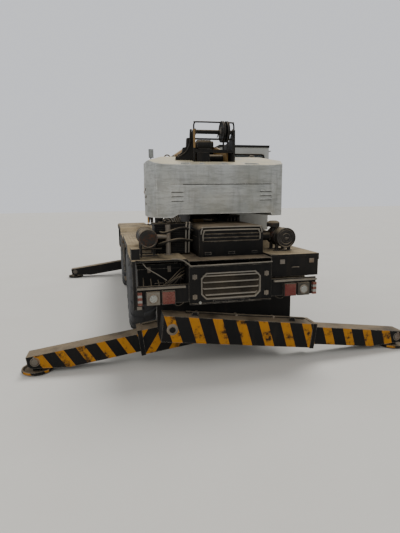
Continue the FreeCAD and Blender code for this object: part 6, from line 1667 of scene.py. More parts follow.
    def _seat(self) -> None:
        """Cushion and back, with sewn channels, on their shell and pedestal."""
        s = self.seat
        cushion = self._pad("seat_cushion", s + Vector((-0.235, -0.025, 0.428)), s + Vector((0.235, 0.425, 0.508)), 0.22)
        back = self._pad("seat_back", s + Vector((-0.222, -0.116, 0.455)), s + Vector((0.222, -0.056, 0.955)), 0.22)
        for pad, along, across, start, end in ((cushion, 0, 2, -0.235, 0.235), (back, 0, 1, -0.222, 0.222)):
            for vertex in pad.data.vertices:
                share = (vertex.co[along] - s[along] - start) / (end - start)
                groove = min(abs(share - k) for k in (0.28, 0.5, 0.72))
                dent = 0.008 * math.exp(-(groove / 0.012) ** 2)
                sign = 1 if across == 2 else 1
                vertex.co[across] -= sign * dent * (1 if across == 2 else 0.6)
            pad.data.materials.clear()
            pad.data.materials.append(Paints.vinyl.material())
            for face in pad.data.polygons:
                face.use_smooth = True
            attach(pad, "superstructure")
        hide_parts("cab_seat")
        form = Form("seat_frame", "superstructure", "seat_vinyl", Paints.control)
        form.box(s + Vector((-0.22, 0.02, 0.395)), s + Vector((0.22, 0.41, 0.424)), 0.012, 3)
        form.box(s + Vector((-0.21, -0.136, 0.440)), s + Vector((0.21, -0.120, 0.940)), 0.012, 3)
        form.lathe([(0.0, 0.0), (0.0, 0.150), (0.020, 0.145), (0.030, 0.075), (0.360, 0.060), (0.395, 0.110),
                    (0.397, 0.0)], s + Vector((0, 0.19, 0.001)), Axis.Z, 28)
        form.use(Paints.zinc)
        for sign in (-1, 1):
            form.pipe([s + Vector((sign * 0.19, 0.06, 0.405)), s + Vector((sign * 0.19, -0.10, 0.405)),
                       s + Vector((sign * 0.19, -0.132, 0.46))], 0.010, 8, 3)
        form.done()


@dataclass
class Boom:
    """The boom's rope, bolts, pads and hoses, its head sheaves, the hook block and the lift cylinder."""

    axis_z: float = 2.870
    fronts: tuple = (3.5625, 3.8125, 4.0625, 4.3125)
    widths: tuple = (0.500, 0.448, 0.396, 0.344)
    heights: tuple = (0.560, 0.508, 0.456, 0.404)
    tail: float = -3.300
    rope_z: float = 3.205
    landing: float = -3.730
    head: Vector = field(default_factory=lambda: Vector((0.0, 5.3125, 2.490)))
    idler: Vector = field(default_factory=lambda: Vector((0.0, 5.0525, 2.980)))
    hook_z: float = 1.490
    foot: Vector = field(default_factory=lambda: Vector((0.0, -3.2875, 1.830)))
    eye: Vector = field(default_factory=lambda: Vector((0.0, -1.1875, 2.470)))

    def build(self) -> None:
        """Makes every piece of the boom."""
        for number in range(4):
            self._section(number)
        self._tail_rope()
        self._sheaves()
        self._hook_block()
        self._cylinder()

    def _section(self, number: int) -> None:
        """One section's rope, collar bolts, wear pads, weld beads and marks.

        Args:
            number: 0 for the base, 3 for the tip.
        """
        body = "boom_base" if number == 0 else f"boom_section_{number + 1}"
        form = Form(f"{body}_fittings", body, "boom_paint", Paints.zinc)
        front, half, tall = self.fronts[number], self.widths[number] / 2, self.heights[number] / 2
        if number < 3:
            for along in (0.045, 0.135):
                y = front - 0.150 + along
                for side in (-1, 1):
                    for z in (-tall * 0.72, -tall * 0.36, 0.0, tall * 0.36, tall * 0.72):
                        form.lathe([(0.0, 0.0), (0.0, 0.014), (0.012, 0.014), (0.012, 0.0)],
                                   (side * (half + 0.030) - (0.012 if side < 0 else 0), y, self.axis_z + z), Axis.X, 6)
                for x in (-half * 0.7, -half * 0.25, half * 0.25, half * 0.7):
                    form.lathe([(0.0, 0.0), (0.0, 0.014), (0.011, 0.014), (0.011, 0.0)],
                               (x, y, self.axis_z + tall + 0.030), Axis.Z, 6)
            form.use(Paints.hook)
            for side in (-1, 1):
                for z in (-1, 1):
                    form.box((side * half * 0.72 - 0.045, front + 0.030, self.axis_z + z * (tall - 0.010) - 0.016),
                             (side * half * 0.72 + 0.045, front + 0.042, self.axis_z + z * (tall - 0.010) + 0.016), 0.002)
            form.use(Paints.guard)
            for x in (-0.075, 0.075):
                form.box((x - 0.006, front - 0.100, self.axis_z + tall + 0.028),
                         (x + 0.006, front - 0.020, self.rope_z + 0.045), 0.002)
            form.lathe([(-0.069, 0.0), (-0.069, 0.014), (-0.060, 0.020), (0.060, 0.020), (0.069, 0.014), (0.069, 0.0)],
                       (0, front - 0.060, self.rope_z - 0.030), Axis.X, 20)
            form.lathe([(-0.072, 0.0), (-0.072, 0.007), (0.072, 0.007), (0.072, 0.0)],
                       (0, front - 0.060, self.rope_z + 0.034), Axis.X, 12)
        form.use(Paints.boom)
        if number == 0:
            for side in (-1, 1):
                for z in (-0.190, 0.190):
                    form.pipe([(side * 0.2500, -3.36, self.axis_z + z), (side * 0.2500, front - 0.15, self.axis_z + z)],
                              0.004, 6)
            form.use(Paints.rubber)
            for lane in range(3):
                z = self.axis_z - 0.095 - 0.030 * lane
                form.pipe([(-0.262, -3.50, z - 0.05), (-0.264, -3.30, z), (-0.264, 0.0, z), (-0.264, 3.30, z)], 0.010, 8)
            form.use(Paints.guard)
            for k in range(7):
                y = -3.10 + 1.03 * k
                form.box((-0.278, y, self.axis_z - 0.172), (-0.250, y + 0.040, self.axis_z - 0.078), 0.003)
            form.lathe([(-0.30, 0.0), (-0.30, 0.17), (-0.285, 0.17), (-0.285, 0.075), (-0.252, 0.075), (-0.252, 0.0)],
                       (0, -2.55, self.axis_z + 0.05), Axis.X, 36)
            form.use(Paints.rubber)
            form.lathe([(-0.2999, 0.0), (-0.2999, 0.135), (-0.2860, 0.150), (-0.2860, 0.0)],
                       (-0.004, -2.55, self.axis_z + 0.05), Axis.X, 36)
        form.use(Paints.rope)
        start = self.tail if number else self.landing
        end = front - 0.010 if number < 3 else 4.330
        form.pipe([(0, start, self.rope_z), (0, end, self.rope_z)], 0.0082 - 0.0004 * number, 10)
        if number == 3:
            over = [(0, 4.33, self.rope_z), (0, 4.90, 3.118)]
            over += [(0, self.idler.y + 0.1265 * math.sin(a), self.idler.z + 0.1265 * math.cos(a))
                     for a in (0.0, 0.35, 0.7, 1.05)]
            over += [(0, self.head.y + 0.184 * math.cos(a), self.head.z + 0.184 * math.sin(a))
                     for a in (0.45, 0.2, 0.0)]
            form.pipe([(x + (0.038 if i > 1 else 0.0), y, z) for i, (x, y, z) in enumerate(over)], 0.007, 10)
            form.use(Paints.guard)
            for x in (-0.090, 0.090):
                form.box((x - 0.006, 4.30, self.axis_z + 0.200), (x + 0.006, 4.37, self.rope_z + 0.040), 0.002)
            form.lathe([(-0.085, 0.0), (-0.085, 0.018), (0.085, 0.018), (0.085, 0.0)],
                       (0, 4.335, self.rope_z - 0.027), Axis.X, 20)
            form.use(Paints.zinc)
            for centre, reach in ((self.head, 0.199), (self.idler, 0.180)):
                for side in (-1, 1):
                    form.lathe([(0.0, 0.0), (0.0, 0.040), (0.010, 0.040), (0.012, 0.022), (0.012, 0.0)],
                               centre + Vector((side * reach - (0.012 if side < 0 else 0), 0, 0)), Axis.X, 6)
        form.done()

    def _tail_rope(self) -> None:
        """The hoist rope from the rear drum up to the boom's tail roller."""
        form = Form("rope_to_tail", "superstructure", "guard_steel", Paints.rope)
        low, high = at(0.0, 1.325, 2.455), Vector((0.0, self.landing, self.rope_z))
        steps = [low + (high - low) * k / 8 for k in range(9)]
        form.pipe(steps, 0.0080, 10)
        form.done(bend=("boom_base", low, high))

    @staticmethod
    def _wheel(radius: float, bore: float, width: float) -> list[tuple[float, float]]:
        """A rope wheel's outline with a round groove and a dished web."""
        half, web = width / 2, width * 0.16
        deep = radius - 0.016
        return [(-half, bore), (-half, bore + 0.022), (-web, bore + 0.030), (-web, radius - 0.042),
                (-half, radius - 0.030), (-half, radius - 0.002), (-half * 0.72, radius), (-half * 0.38, deep + 0.004),
                (0.0, deep), (half * 0.38, deep + 0.004), (half * 0.72, radius), (half, radius - 0.002),
                (half, radius - 0.030), (web, radius - 0.042), (web, bore + 0.030), (half, bore + 0.022), (half, bore)]

    def _sheaves(self) -> None:
        """The head's four rope wheels and its two idlers."""
        form = Form("head_sheaves", "boom_section_4", "guard_steel", Paints.guard)
        for x in (-0.114, -0.038, 0.038, 0.114):
            form.lathe(self._wheel(0.190, 0.0402, 0.046), self.head + Vector((x, 0, 0)), Axis.X, 48, closed=True)
        for x in (-0.060, 0.060):
            form.lathe(self._wheel(0.120, 0.0302, 0.046), self.idler + Vector((x, 0, 0)), Axis.X, 40, closed=True)
        form.done("boom_head_sheaves")

    def _hook_block(self) -> None:
        """Bevelled cheeks, sheaves, crosshead, forged hook with its latch, and the rope falls."""
        form = Form("hook_block_dressed", "hook_block", "hook_paint", Paints.hook)
        y, z = self.head.y, self.hook_z
        outline = [(-0.150, 0.060), (-0.150, -0.120), (-0.090, -0.330), (0.090, -0.330), (0.150, -0.120),
                   (0.150, 0.060), (0.060, 0.210), (-0.060, 0.210)]
        for x0, x1 in ((-0.095, -0.075), (0.075, 0.095)):
            form.prism([(y + a, z + b) for a, b in outline], x0, x1, Axis.X, 0.006, 3)
        form.box((-0.0905, y - 0.070, z - 0.328), (0.0905, y + 0.070, z - 0.230), 0.010, 3)
        form.use(Paints.guard)
        for x in (-0.038, 0.038):
            form.lathe(self._wheel(0.180, 0.0365, 0.030), (x, y, z), Axis.X, 48, closed=True)
        form.use(Paints.zinc)
        form.lathe([(-0.100, 0.0), (-0.100, 0.034), (-0.098, 0.036), (0.098, 0.036), (0.100, 0.034), (0.100, 0.0)],
                   (0, y, z), Axis.X, 32)
        for side in (-1, 1):
            for a, b in ((-0.10, -0.09), (0.10, -0.09), (0.0, 0.15), (-0.06, -0.28), (0.06, -0.28)):
                form.lathe([(0.0, 0.0), (0.0, 0.012), (0.0045, 0.012), (0.0045, 0.0)],
                           (side * 0.095 - (0.0045 if side < 0 else 0), y + a, z + b), Axis.X, 6)
        form.use(Paints.hook)
        form.pipe([(0, y, z - 0.300), (0, y, z - 0.445)], 0.034, 24)
        turns = [math.radians(90 + 272 * k / 26) for k in range(27)]
        girth = [0.030 + 0.0045 * math.sin(min(1.0, k / 17) * math.pi / 2) - 0.019 * max(0.0, (k - 17) / 9) ** 1.5
                 for k in range(27)]
        form.pipe([(0, y + 0.096 * math.cos(a), z - 0.520 + 0.096 * math.sin(a)) for a in turns], girth, 20)
        form.use(Paints.zinc)
        form.pipe([(0, y + 0.012, z - 0.452), (0, y + 0.092, z - 0.512)], 0.006, 8)
        form.use(Paints.rope)
        for x in (-0.038, 0.038):
            for side in (-1, 1):
                form.pipe([(x, y + side * 0.1690, z + 0.004), (x, y + side * 0.1794, self.head.z - 0.004)], 0.0078, 10)
        form.done("hook_block")

    def _cylinder(self) -> None:
        """The round lift cylinder with gland bolts, eyes, ports and hose, and its chromed rod."""
        line = self.eye - self.foot
        lean = Matrix.Rotation(math.atan2(line.z, line.y), 4, "X")
        eye_outline = [(-0.095, 0.0512), (-0.095, 0.103), (-0.092, 0.105), (0.092, 0.105), (0.095, 0.103),
                       (0.095, 0.0512)]
        form = Form("lift_barrel_round", "lift_barrel", "boom_paint", Paints.boom)
        form.lathe(eye_outline, self.foot, Axis.X, 40, closed=True)
        form.place = Matrix.Translation(self.foot) @ lean
        form.lathe([(0.088, 0.0), (0.088, 0.118), (0.100, 0.130), (1.824, 0.130), (1.828, 0.1418), (1.892, 0.1418),
                    (1.899, 0.136), (1.899, 0.090), (1.780, 0.088), (1.780, 0.0)], (0, 0, 0), Axis.Y, 48)
        for along in (0.170, 1.730):
            form.lathe([(-0.145, 0.0), (-0.145, 0.030), (-0.120, 0.034), (-0.120, 0.0)], (0.005, along, 0), Axis.X, 20)
        form.use(Paints.zinc)
        heads = REPEAT.make("ring", Paints.zinc, Count=12, Circle=0.116, Head=0.010, Height=0.009)
        form.shape(heads, Matrix.Translation((0, 1.896, 0)) @ Matrix.Rotation(math.radians(-90), 4, "X"))
        form.pipe([(-0.128, 0.170, 0.02), (-0.128, 0.26, 0.055), (-0.128, 1.62, 0.055), (-0.128, 1.730, 0.02)], 0.009, 8)
        form.done("lift_cylinder_barrel")
        form = Form("lift_rod_round", "lift_rod", "rod_chrome", Paints.chrome)
        form.place = Matrix.Translation(self.foot) @ lean
        form.lathe([(0.300, 0.0), (0.300, 0.085), (line.length - 0.082, 0.085), (line.length - 0.082, 0.0)],
                   (0, 0, 0), Axis.Y, 48)
        form.place = Matrix.Identity(4)
        form.use(Paints.boom)
        form.lathe([(-0.095, 0.0), (-0.095, 0.088), (-0.092, 0.090), (0.092, 0.090), (0.095, 0.088), (0.095, 0.0)],
                   self.eye, Axis.X, 40)
        form.done("lift_cylinder_rod")


@dataclass
class Outriggers:
    """What the four crossed outriggers carry: stripes, mouth bands, pins and hoses."""

    inset: float = 0.820
    height: float = 0.585
    slope: float = 7.6
    mouth: float = 2.070
    tip: float = 3.540
    half_y: float = 0.150
    half_z: float = 0.176
    beam_y: float = 0.129
    beam_z: float = 0.127
    first: dict = field(default_factory=lambda: {"rear": -0.060, "front": 6.630})
    # Slant, pitch and phase of the stripes on each box and beam
    stripes: dict = field(default_factory=lambda: {
        "outrigger_box_rear_right": (0.28, 0.312, 0.27), "outrigger_beam_rear_right": (0.28, 0.312, 0.27),
        "outrigger_box_rear_left": (-0.62, 0.300, 0.15), "outrigger_beam_rear_left": (0.62, 0.292, 0.42),
        "outrigger_box_front_right": (-0.5, 0.312, 0.1), "outrigger_beam_front_right": (-0.5, 0.312, 0.1),
        "outrigger_box_front_left": (0.5, 0.312, 0.3), "outrigger_beam_front_left": (0.5, 0.312, 0.3)})

    def build(self) -> None:
        """Paints the stripes and makes each outrigger's small pieces."""
        for node, (slant, pitch, phase) in self.stripes.items():
            finish = Striped(node + "_striped", "0e0e0e", "191817", rust=0.28, lying=0.65, clinging=0.0, wear=0.9,
                             bare_and_highlight="8b8479", dust="94836a", gloss=0.12, stripe="a06c1f", pitch=pitch, slant=slant, phase=phase,
                             both_sides="rear" in node)
            for slot in frame["nodes"][node].material_slots:
                slot.material = finish.material()
        for end, first in self.first.items():
            for hand, side in (("right", 1), ("left", -1)):
                ahead = first + (0.0 if side > 0 else 0.342) + self.half_y
                pivot = at(-side * self.inset, ahead, self.height)
                place = (Matrix.Translation(pivot) @ Matrix.Scale(side, 4, (1, 0, 0))
                         @ Matrix.Rotation(math.radians(self.slope), 4, "Y"))
                self._box(f"{end}_{hand}", place)
                self._beam(f"{end}_{hand}", place)

    def _band(self, form: Form, x0: float, x1: float, thick: float) -> None:
        """A raised band round the box."""
        y, z = self.half_y, self.half_z
        for low, high in (((x0, -y - thick, z), (x1, y + thick, z + thick)),
                          ((x0, -y - thick, -z - thick), (x1, y + thick, -z)),
                          ((x0, -y - thick, -z), (x1, -y, z)), ((x0, y, -z), (x1, y + thick, z))):
            form.box(low, high, 0.002, 1)

    def _box(self, corner: str, place: Matrix) -> None:
        """Mouth band, pin heads with keepers, grease lines, a hose and the top flange of one box."""
        form = Form("box_fittings_" + corner, "outrigger_box_" + corner, "outrigger_paint", Paints.carrier)
        form.place = place
        self._band(form, self.mouth - 0.062, self.mouth, 0.008)
        for y in (-self.half_y, self.half_y):
            sign = -1 if y < 0 else 1
            form.use(Paints.zinc)
            form.lathe([(0.0, 0.0), (0.0, 0.074), (sign * 0.006, 0.076), (sign * 0.009, 0.070), (sign * 0.009, 0.0)],
                       (0, y, 0), Axis.Y, 32)
            heads = REPEAT.make("ring", Paints.zinc, Count=4, Circle=0.052, Head=0.009, Height=0.008)
            form.shape(heads, facing((0, y + sign * 0.011, 0), (0, sign, 0)))
            row = REPEAT.make("row", Paints.zinc, Count=2, Step=(0.0, 0.0, 0.22), Size=(0.022, 0.022, 0.010))
            for x in (self.mouth - 0.031,):
                for z in (-0.11, 0.0, 0.11):
                    head = REPEAT.make("ring", Paints.zinc, Count=1, Circle=0.0, Head=0.011, Height=0.010)
                    form.shape(head, facing((x, y + sign * 0.011, z), (0, sign, 0)))
        form.use(Paints.rubber)
        top = self.half_z + 0.014
        form.pipe([(0.20, 0.06, top), (0.60, 0.07, top), (1.00, 0.055, top), (1.50, 0.07, top), (1.98, 0.06, top + 0.004)],
                  0.010, 8, 4)
        form.pipe([(0.20, 0.09, top), (0.60, 0.095, top), (1.00, 0.085, top), (1.50, 0.10, top),
                   (1.98, 0.09, top + 0.004)], 0.010, 8, 4)
        form.use(Paints.zinc)
        for x in (0.36, 0.92, 1.48):
            form.box((x - 0.014, 0.035, self.half_z), (x + 0.014, 0.120, top + 0.013), 0.002, 1)
        form.use(Paints.carrier)
        for x in (0.30, 1.72):
            form.prism([(x - 0.05, self.half_z), (x + 0.05, self.half_z), (x + 0.028, self.half_z + 0.055),
                        (x - 0.028, self.half_z + 0.055)], -0.066, -0.050, Axis.Y, 0.004, 1)
        form.done()

    def _beam(self, corner: str, place: Matrix) -> None:
        """The float's pin with its keeper, and the stop block of one beam."""
        form = Form("beam_fittings_" + corner, "outrigger_beam_" + corner, "outrigger_paint", Paints.carrier)
        form.place = place
        pin = (self.tip - 0.095, 0.0, self.beam_z - 0.085)
        for sign in (-1, 1):
            y = sign * self.beam_y
            form.use(Paints.zinc)
            form.lathe([(0.0, 0.0), (0.0, 0.042), (sign * 0.008, 0.044), (sign * 0.012, 0.038), (sign * 0.012, 0.0)],
                       (pin[0], y, pin[2]), Axis.Y, 28)
            form.lathe([(0.0, 0.050), (sign * 0.004, 0.052), (sign * 0.004, 0.060), (0.0, 0.062)],
                       (pin[0], y, pin[2]), Axis.Y, 28, closed=True)
            form.box((pin[0] - 0.012, min(y, y + sign * 0.016), pin[2] + 0.030),
                     (pin[0] + 0.012, max(y, y + sign * 0.016), pin[2] + 0.072), 0.002, 1)
        form.use(Paints.carrier)
        form.box((self.tip, -self.beam_y, -0.006), (self.tip + 0.006, self.beam_y, self.beam_z), 0.002, 1)
        form.done()


@dataclass
class CarrierDress:
    """Small parts of the carrier: boxes, treads, bolts, straps, lamps, brakes, springs and engine parts."""

    deck_in: float = 0.600
    deck_out: float = 1.300
    deck_z: float = 1.490
    raised: float = 0.095
    axles: tuple = (1.950, 5.600)

    def build(self) -> None:
        """Makes every piece of the carrier."""
        self._boxes()
        self._treads()
        self._trim()
        self._tanks()
        self._front()
        self._running_gear()
        self._engine()

    @staticmethod
    def _stud(form: Form, place: Point, axis: Axis, out: float, radius: float = 0.011) -> None:
        """One six-sided bolt head, standing out along an axis.

        Args:
            form: Piece that takes it.
            place: Middle of its foot.
            axis: Its direction.
            out: Its height, negative for the axis' other way.
            radius: Its size.
        """
        ends = sorted((0.0, out))
        form.lathe([(ends[0], 0.0), (ends[0], radius), (ends[1], radius), (ends[1], 0.0)], place, axis, 6)

    def _boxes(self) -> None:
        """Battery box, air bottles and oil cooler round the engine, with their hoses; the oil cooler is a near-black
        block that paints the shade under the counterweight.
        """
        form = Form("battery_box", "carrier", "carrier_paint", Paints.carrier)
        form.box(at(-1.215, 0.400, 0.930), at(-0.620, 0.940, 1.340), 0.012, 3)
        form.box(at(-1.225, 0.390, 1.320), at(-0.610, 0.950, 1.385), 0.010, 3)
        for x in (-1.16, -0.70):
            form.box(at(x, 0.42, 1.38), at(x + 0.05, 0.90, 1.486), 0.002)
        form.box(at(0.620, 0.640, 1.140), at(1.270, 0.670, 1.470), 0.002)
        form.use(Paints.zinc)
        for x in (-1.08, -0.80):
            form.box(at(x, 0.380, 1.270), at(x + 0.045, 0.392, 1.350), 0.003)
        form.pipe([at(-0.98, 0.398, 1.11), at(-0.98, 0.370, 1.12), at(-0.86, 0.370, 1.12), at(-0.86, 0.398, 1.11)],
                  0.006, 8)
        form.use(Paints.tank)
        for x, ahead in ((0.66, 0.36), (0.66, 0.62)):
            form.lathe([(0.0, 0.0), (0.006, 0.060), (0.030, 0.105), (0.560, 0.105), (0.584, 0.060), (0.590, 0.0)],
                       at(x, ahead, 1.045), Axis.X, 32)
            for strap in (0.14, 0.45):
                form.lathe([(strap, 0.1045), (strap, 0.108), (strap + 0.03, 0.108), (strap + 0.03, 0.1045)],
                           at(x, ahead, 1.045), Axis.X, 32, closed=True)
        form.use(Paints.rubber)
        for k in range(4):
            form.pipe([at(-1.14 + 0.10 * k, 0.396, 1.20 - 0.02 * k), at(-1.12 + 0.11 * k, 0.24, 1.02 + 0.02 * k),
                       at(-0.86 + 0.07 * k, 0.20, 1.14 + 0.03 * k), at(-0.66 + 0.02 * k, 0.26, 1.30 - 0.03 * k),
                       at(-0.565, 0.32, 1.34 - 0.05 * k)], 0.010, 8, 6)
        form.done()
        # Painted shade: a near-black block with fins, pipes and hoses, put in the shaded space under the counterweight.
        form = Form("oil_cooler", "carrier", "carrier_paint", Paints.louvre)
        form.box(at(-0.930, 0.640, 1.492), at(-0.430, 1.040, 1.905), 0.012, 3)
        form.box(at(-0.945, 0.630, 1.890), at(-0.415, 1.050, 1.915), 0.004)
        fins = REPEAT.make("row", Paints.louvre, Count=14, Step=(0.0, 0.0, 0.026), Size=(0.43, 0.012, 0.006), Round=False)
        form.shape(fins, Matrix.Translation(at(-0.680, 0.637, 1.525)))
        form.use(Paints.bars)
        for x in (-0.50, -0.455):
            form.pipe([at(x, 0.60, 1.50), at(x, 0.585, 1.62), at(x + 0.01, 0.60, 1.84), at(x + 0.03, 0.66, 1.93)],
                      0.013, 10, 3)
        form.use(Paints.rubber)
        form.pipe([at(-0.88, 0.63, 1.60), at(-0.87, 0.55, 1.64), at(-0.62, 0.52, 1.70), at(-0.40, 0.62, 1.66)],
                  0.022, 12, 6)
        form.pipe([at(-0.86, 0.63, 1.80), at(-0.80, 0.52, 1.80), at(-0.55, 0.55, 1.86), at(-0.38, 0.66, 1.80)],
                  0.018, 12, 6)
        form.done()

    def _treads(self) -> None:
        """Chequered treads on the decks."""
        form = Form("deck_treads", "carrier", "deck_paint", Paints.deck)
        zones = ((0.40, 1.04, 0.0), (2.85, 4.70, 0.0), (6.50, 7.66, 0.0), (1.20, 2.70, self.raised),
                 (4.86, 6.34, self.raised))
        for side in (-1, 1):
            for start, end, lift in zones:
                if start < 1.0 and side > 0:
                    start = 0.10
                length, width = end - start, self.deck_out - self.deck_in - 0.06
                mesh = REPEAT.make("field", Paints.deck, Length=length - 0.06, Width=width, Along=int(length / 0.052),
                                   Across=13, Tread=0.019, Rise=0.0016)
                middle = side * (self.deck_in + self.deck_out) / 2
                form.shape(mesh, Matrix.Translation(at(middle, (start + end) / 2, self.deck_z + lift)))
        form.done()

    def _trim(self) -> None:
        """Skirt bolts, edge strips, grab rails, small lamps and the flecked tool box's fittings."""
        form = Form("deck_trim", "carrier", "deck_paint", Paints.zinc)
        for side in (-1, 1):
            x = side * 1.310
            for k in range(26):
                ahead = 0.14 + 0.30 * k
                near = min(abs(ahead - axle) for axle in self.axles)
                lift = self.raised if near < 0.76 else 0.0
                if 0.74 < near < 0.90:
                    continue
                self._stud(form, at(x, ahead, self.deck_z + lift - 0.045), Axis.X, side * 0.006, 0.009)
            form.use(Paints.ochre)
            for ahead in (2.90, 4.62, 7.55):
                form.box(at(x - 0.003, ahead, 1.425), at(x + 0.003, ahead + 0.08, 1.460), 0.001)
            form.use(Paints.zinc)
            for ahead in (3.05, 4.25):
                form.pipe([at(side * 1.285, ahead, 1.400), at(side * 1.303, ahead, 1.36), at(side * 1.303, ahead, 1.10),
                           at(side * 1.285, ahead, 1.06)], 0.008, 8)
        for x in (0.72, 1.16):
            form.box(at(x, 0.052, 1.36), at(x + 0.07, 0.064, 1.42), 0.003)
        form.pipe([at(0.90, 0.064, 1.30), at(0.90, 0.042, 1.31), at(1.00, 0.042, 1.31), at(1.00, 0.064, 1.30)], 0.005, 8)
        form.use(Paints.bars)
        form.box(at(-1.262, 0.004, 0.862), at(-1.200, 0.016, 0.905), 0.003)
        form.pipe([at(-1.18, 0.10, 1.49), at(-1.12, 0.06, 1.40), at(-0.97, 0.04, 1.30), at(-0.86, 0.05, 1.22)],
                  0.006, 8, 5)
        form.use(Paints.guard)
        form.pipe([at(-1.16, 0.36, 1.49), at(-1.16, 0.36, 1.60), at(-0.88, 0.36, 1.60)], 0.010, 8)
        form.done()

    def _tanks(self) -> None:
        """Straps, cap and handles of the side tank and locker."""
        form = Form("tank_trim", "carrier", "carrier_paint", Paints.tank)
        for side in (-1, 1):
            for ahead in (3.25, 3.72, 4.20):
                low, high = sorted((side * 1.284, side * 1.291))
                form.box(at(low, ahead, 0.775), at(high, ahead + 0.05, 1.332), 0.002)
                low, high = sorted((side * 0.670, side * 1.291))
                form.box(at(low, ahead, 0.772), at(high, ahead + 0.05, 0.780), 0.002)
            form.use(Paints.zinc)
            for ahead in (3.275, 3.745, 4.225):
                for z in (0.83, 1.28):
                    self._stud(form, at(side * 1.290, ahead, z), Axis.X, side * 0.008, 0.012)
            form.use(Paints.tank)
            for k in range(9):
                middle = at(side * 1.0975, 3.30 + 0.05 * k, 0.587)
        form.use(Paints.zinc)
        form.lathe([(0.0, 0.0), (0.0, 0.056), (0.012, 0.060), (0.034, 0.060), (0.040, 0.052), (0.040, 0.0)],
                   at(-0.95, 4.36, 1.328), Axis.Z, 28)
        form.pipe([at(1.288, 3.45, 1.10), at(1.302, 3.45, 1.10), at(1.302, 3.62, 1.10), at(1.288, 3.62, 1.10)],
                  0.006, 8)
        form.done()

    def _front(self) -> None:
        """Round headlamps with glass, amber lamps, tow pins and nose bolts."""
        form = Form("headlamps_round", "carrier", "lamp_plastic", Paints.plastic)
        front = REAR_Y + 7.700
        for side in (-1, 1):
            form.use(Paints.plastic)
            form.lathe([(0.0285, 0.0), (0.0285, 0.094), (0.060, 0.094), (0.0675, 0.088), (0.0675, 0.078),
                        (0.050, 0.060), (0.046, 0.0)], (side * 1.0, front, 1.080), Axis.Y, 40)
            form.use(Paints.white_lens)
            form.lathe([(0.0475, 0.0), (0.052, 0.077), (0.060, 0.074), (0.0665, 0.045), (0.068, 0.0)],
                       (side * 1.0, front, 1.080), Axis.Y, 32)
            form.use(Paints.amber_lens)
            form.box((side * 1.180 - 0.045, front + 0.0285, 1.030), (side * 1.180 + 0.045, front + 0.060, 1.130), 0.010, 3)
        form.done("headlamps")
        form = Form("nose_trim", "carrier", "carrier_paint", Paints.zinc)
        plate = front + 0.028
        for x in (-1.24, -0.80, -0.27, 0.27, 0.80, 1.24):
            for z in (0.80, 1.36):
                self._stud(form, (x, plate, z), Axis.Y, 0.010, 0.014)
        for x in (-0.4, 0.4):
            form.lathe([(-0.070, 0.0), (-0.070, 0.018), (0.070, 0.018), (0.070, 0.0)],
                       (x, plate + 0.055, 0.880), Axis.Z, 18)
        form.use(Paints.ochre)
        form.box((-1.28, plate, 0.765), (-0.98, plate + 0.002, 0.860), 0.0)
        form.box((0.98, plate, 0.765), (1.28, plate + 0.002, 0.860), 0.0)
        form.use(Paints.louvre)
        for k in range(7):
            form.box((-0.36, plate, 1.14 + 0.032 * k), (0.36, plate + 0.008, 1.158 + 0.032 * k), 0.003)
        form.done()

    def _running_gear(self) -> None:
        """U-bolts and cover bolts on the axles, brake plates and chambers on the knuckles, shaft joints."""
        form = Form("axle_bolts", "carrier", "engine_casting", Paints.engine)
        for ahead in self.axles:
            form.use(Paints.spring)
            for side in (-1, 1):
                for off in (-0.125, 0.125):
                    x = side * 0.36
                    form.pipe([at(x - 0.052, ahead + off, 0.60), at(x - 0.052, ahead + off, 1.020),
                               at(x - 0.040, ahead + off, 1.032), at(x + 0.040, ahead + off, 1.032),
                               at(x + 0.052, ahead + off, 1.020), at(x + 0.052, ahead + off, 0.60)], 0.011, 8)
            form.use(Paints.zinc)
            heads = REPEAT.make("ring", Paints.zinc, Count=12, Circle=0.165, Head=0.011, Height=0.012)
            for sign in (-1, 1):
                form.shape(heads, facing((0, REAR_Y + ahead + sign * 0.176, 0.745), (0, sign, 0)))
            form.use(Paints.rubber)
            form.pipe([at(0.10, ahead - 0.10, 0.90), at(0.30, ahead - 0.16, 1.00), at(0.60, ahead - 0.15, 0.93),
                       at(0.80, ahead - 0.10, 0.86)], 0.008, 8, 5)
            form.pipe([at(-0.10, ahead - 0.10, 0.90), at(-0.30, ahead - 0.16, 1.00), at(-0.60, ahead - 0.15, 0.93),
                       at(-0.80, ahead - 0.10, 0.86)], 0.008, 8, 5)
        form.use(Paints.zinc)
        for ahead in (2.30, 3.05, 4.10, 5.25):
            heads = REPEAT.make("ring", Paints.zinc, Count=8, Circle=0.062, Head=0.009, Height=0.018)
            form.shape(heads, facing((0, REAR_Y + ahead, 0.785), (0, 1, 0)))
        form.done()
        for corner in CORNERS:
            side = -1 if "left" in corner else 1
            ahead = self.axles[0 if "rear" in corner else 1]
            form = Form(f"brake_{corner}", f"knuckle_{corner}", "knuckle_steel", Paints.knuckle)
            centre = at(0, ahead, AXLE_Z)
            form.place = Matrix.Translation((centre.x, centre.y, centre.z)) @ Matrix.Scale(side, 4, (1, 0, 0))
            form.lathe([(0.895, 0.060), (0.895, 0.235), (0.899, 0.245), (0.9045, 0.245), (0.9045, 0.060)], (0, 0, 0),
                       Axis.X, 40, closed=True)
            form.lathe([(0.800, 0.0), (0.800, 0.050), (0.812, 0.062), (0.876, 0.062), (0.880, 0.045), (0.896, 0.045),
                        (0.896, 0.0)], (0, 0.150, 0.115), Axis.X, 24)
            form.use(Paints.zinc)
            for k in range(8):
                a = 2 * math.pi * (k + 0.5) / 8
                self._stud(form, (0.895, 0.205 * math.cos(a), 0.205 * math.sin(a)), Axis.X, -0.009, 0.010)
            form.done()

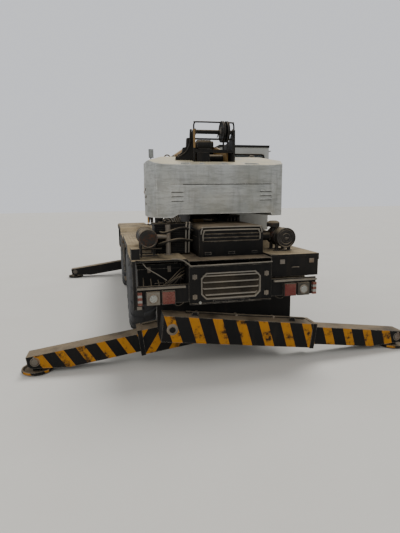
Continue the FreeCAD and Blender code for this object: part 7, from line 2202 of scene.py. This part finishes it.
    def _engine(self) -> None:
        """Cooling fan, belt, rocker covers, manifold and filters on the engine."""
        form = Form("engine_details", "carrier", "engine_casting", Paints.engine)
        hub = at(0, 0.555, 1.130)
        form.lathe([(0.0, 0.0), (0.0, 0.055), (0.030, 0.060), (0.046, 0.045), (0.046, 0.0)], hub, Axis.Y, 28)
        for k in range(8):
            turn = Matrix.Translation(hub) @ Matrix.Rotation(math.radians(45 * k), 4, "Y")
            form.place = turn @ Matrix.Rotation(math.radians(32), 4, "Z")
            form.box((-0.050, 0.006, 0.045), (0.050, 0.010, 0.250), 0.0015)
        form.place = Matrix.Identity(4)
        for x in (-0.215, 0.075):
            form.box(at(x, 0.66, 1.438), at(x + 0.140, 1.58, 1.462), 0.008, 3)
        for k in range(6):
            y = 0.70 + 0.16 * k
            form.pipe([at(0.300, y, 1.28), at(0.365, y, 1.27), at(0.385, y + 0.02, 1.20)], 0.022, 12, 3)
        form.pipe([at(0.385, 0.68, 1.20), at(0.385, 1.56, 1.20)], 0.034, 16)
        form.use(Paints.zinc)
        for k in range(3):
            form.lathe([(0.0, 0.0), (0.0, 0.046), (0.150, 0.046), (0.165, 0.030), (0.165, 0.0)],
                       at(-0.365, 0.78 + 0.13 * k, 0.98), Axis.Z, 24)
        form.use(Paints.rubber)
        for x, z in ((0.0, 1.13), (-0.14, 0.96)):
            form.lathe([(0.600 - 0.012, 0.0), (0.600 - 0.012, 0.075), (0.596, 0.068), (0.600 + 0.002, 0.075),
                        (0.600 + 0.002, 0.0)], (x, REAR_Y, z), Axis.Y, 24)
        form.done()


@dataclass
class CarriedNodes:
    """Gives every CAD node that stays in sight its procedural finish."""

    def build(self) -> None:
        """Dresses the nodes by their slots."""
        slots = {part["node"]: part["material_slot"] for part in frame["record"]["subparts"]}
        for name, node in frame["nodes"].items():
            finish = NODE_FINISH[slots[name]]
            while len(node.data.materials) < 1:
                node.data.materials.append(None)
            for slot in node.material_slots:
                slot.material = finish.material()


def main() -> None:
    """Builds the studio and every sub-assembly."""
    logging.basicConfig(level=logging.INFO)
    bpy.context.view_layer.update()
    for part in (Studio(), CarriedNodes(), Wheels(), EdgedNodes(), RearEnd(), UpperWorks(), CabDress(), Boom(), Outriggers(), CarrierDress()):
        part.build()
        LOG.info("built %s", type(part).__name__)


if __name__ == "__main__":
    main()
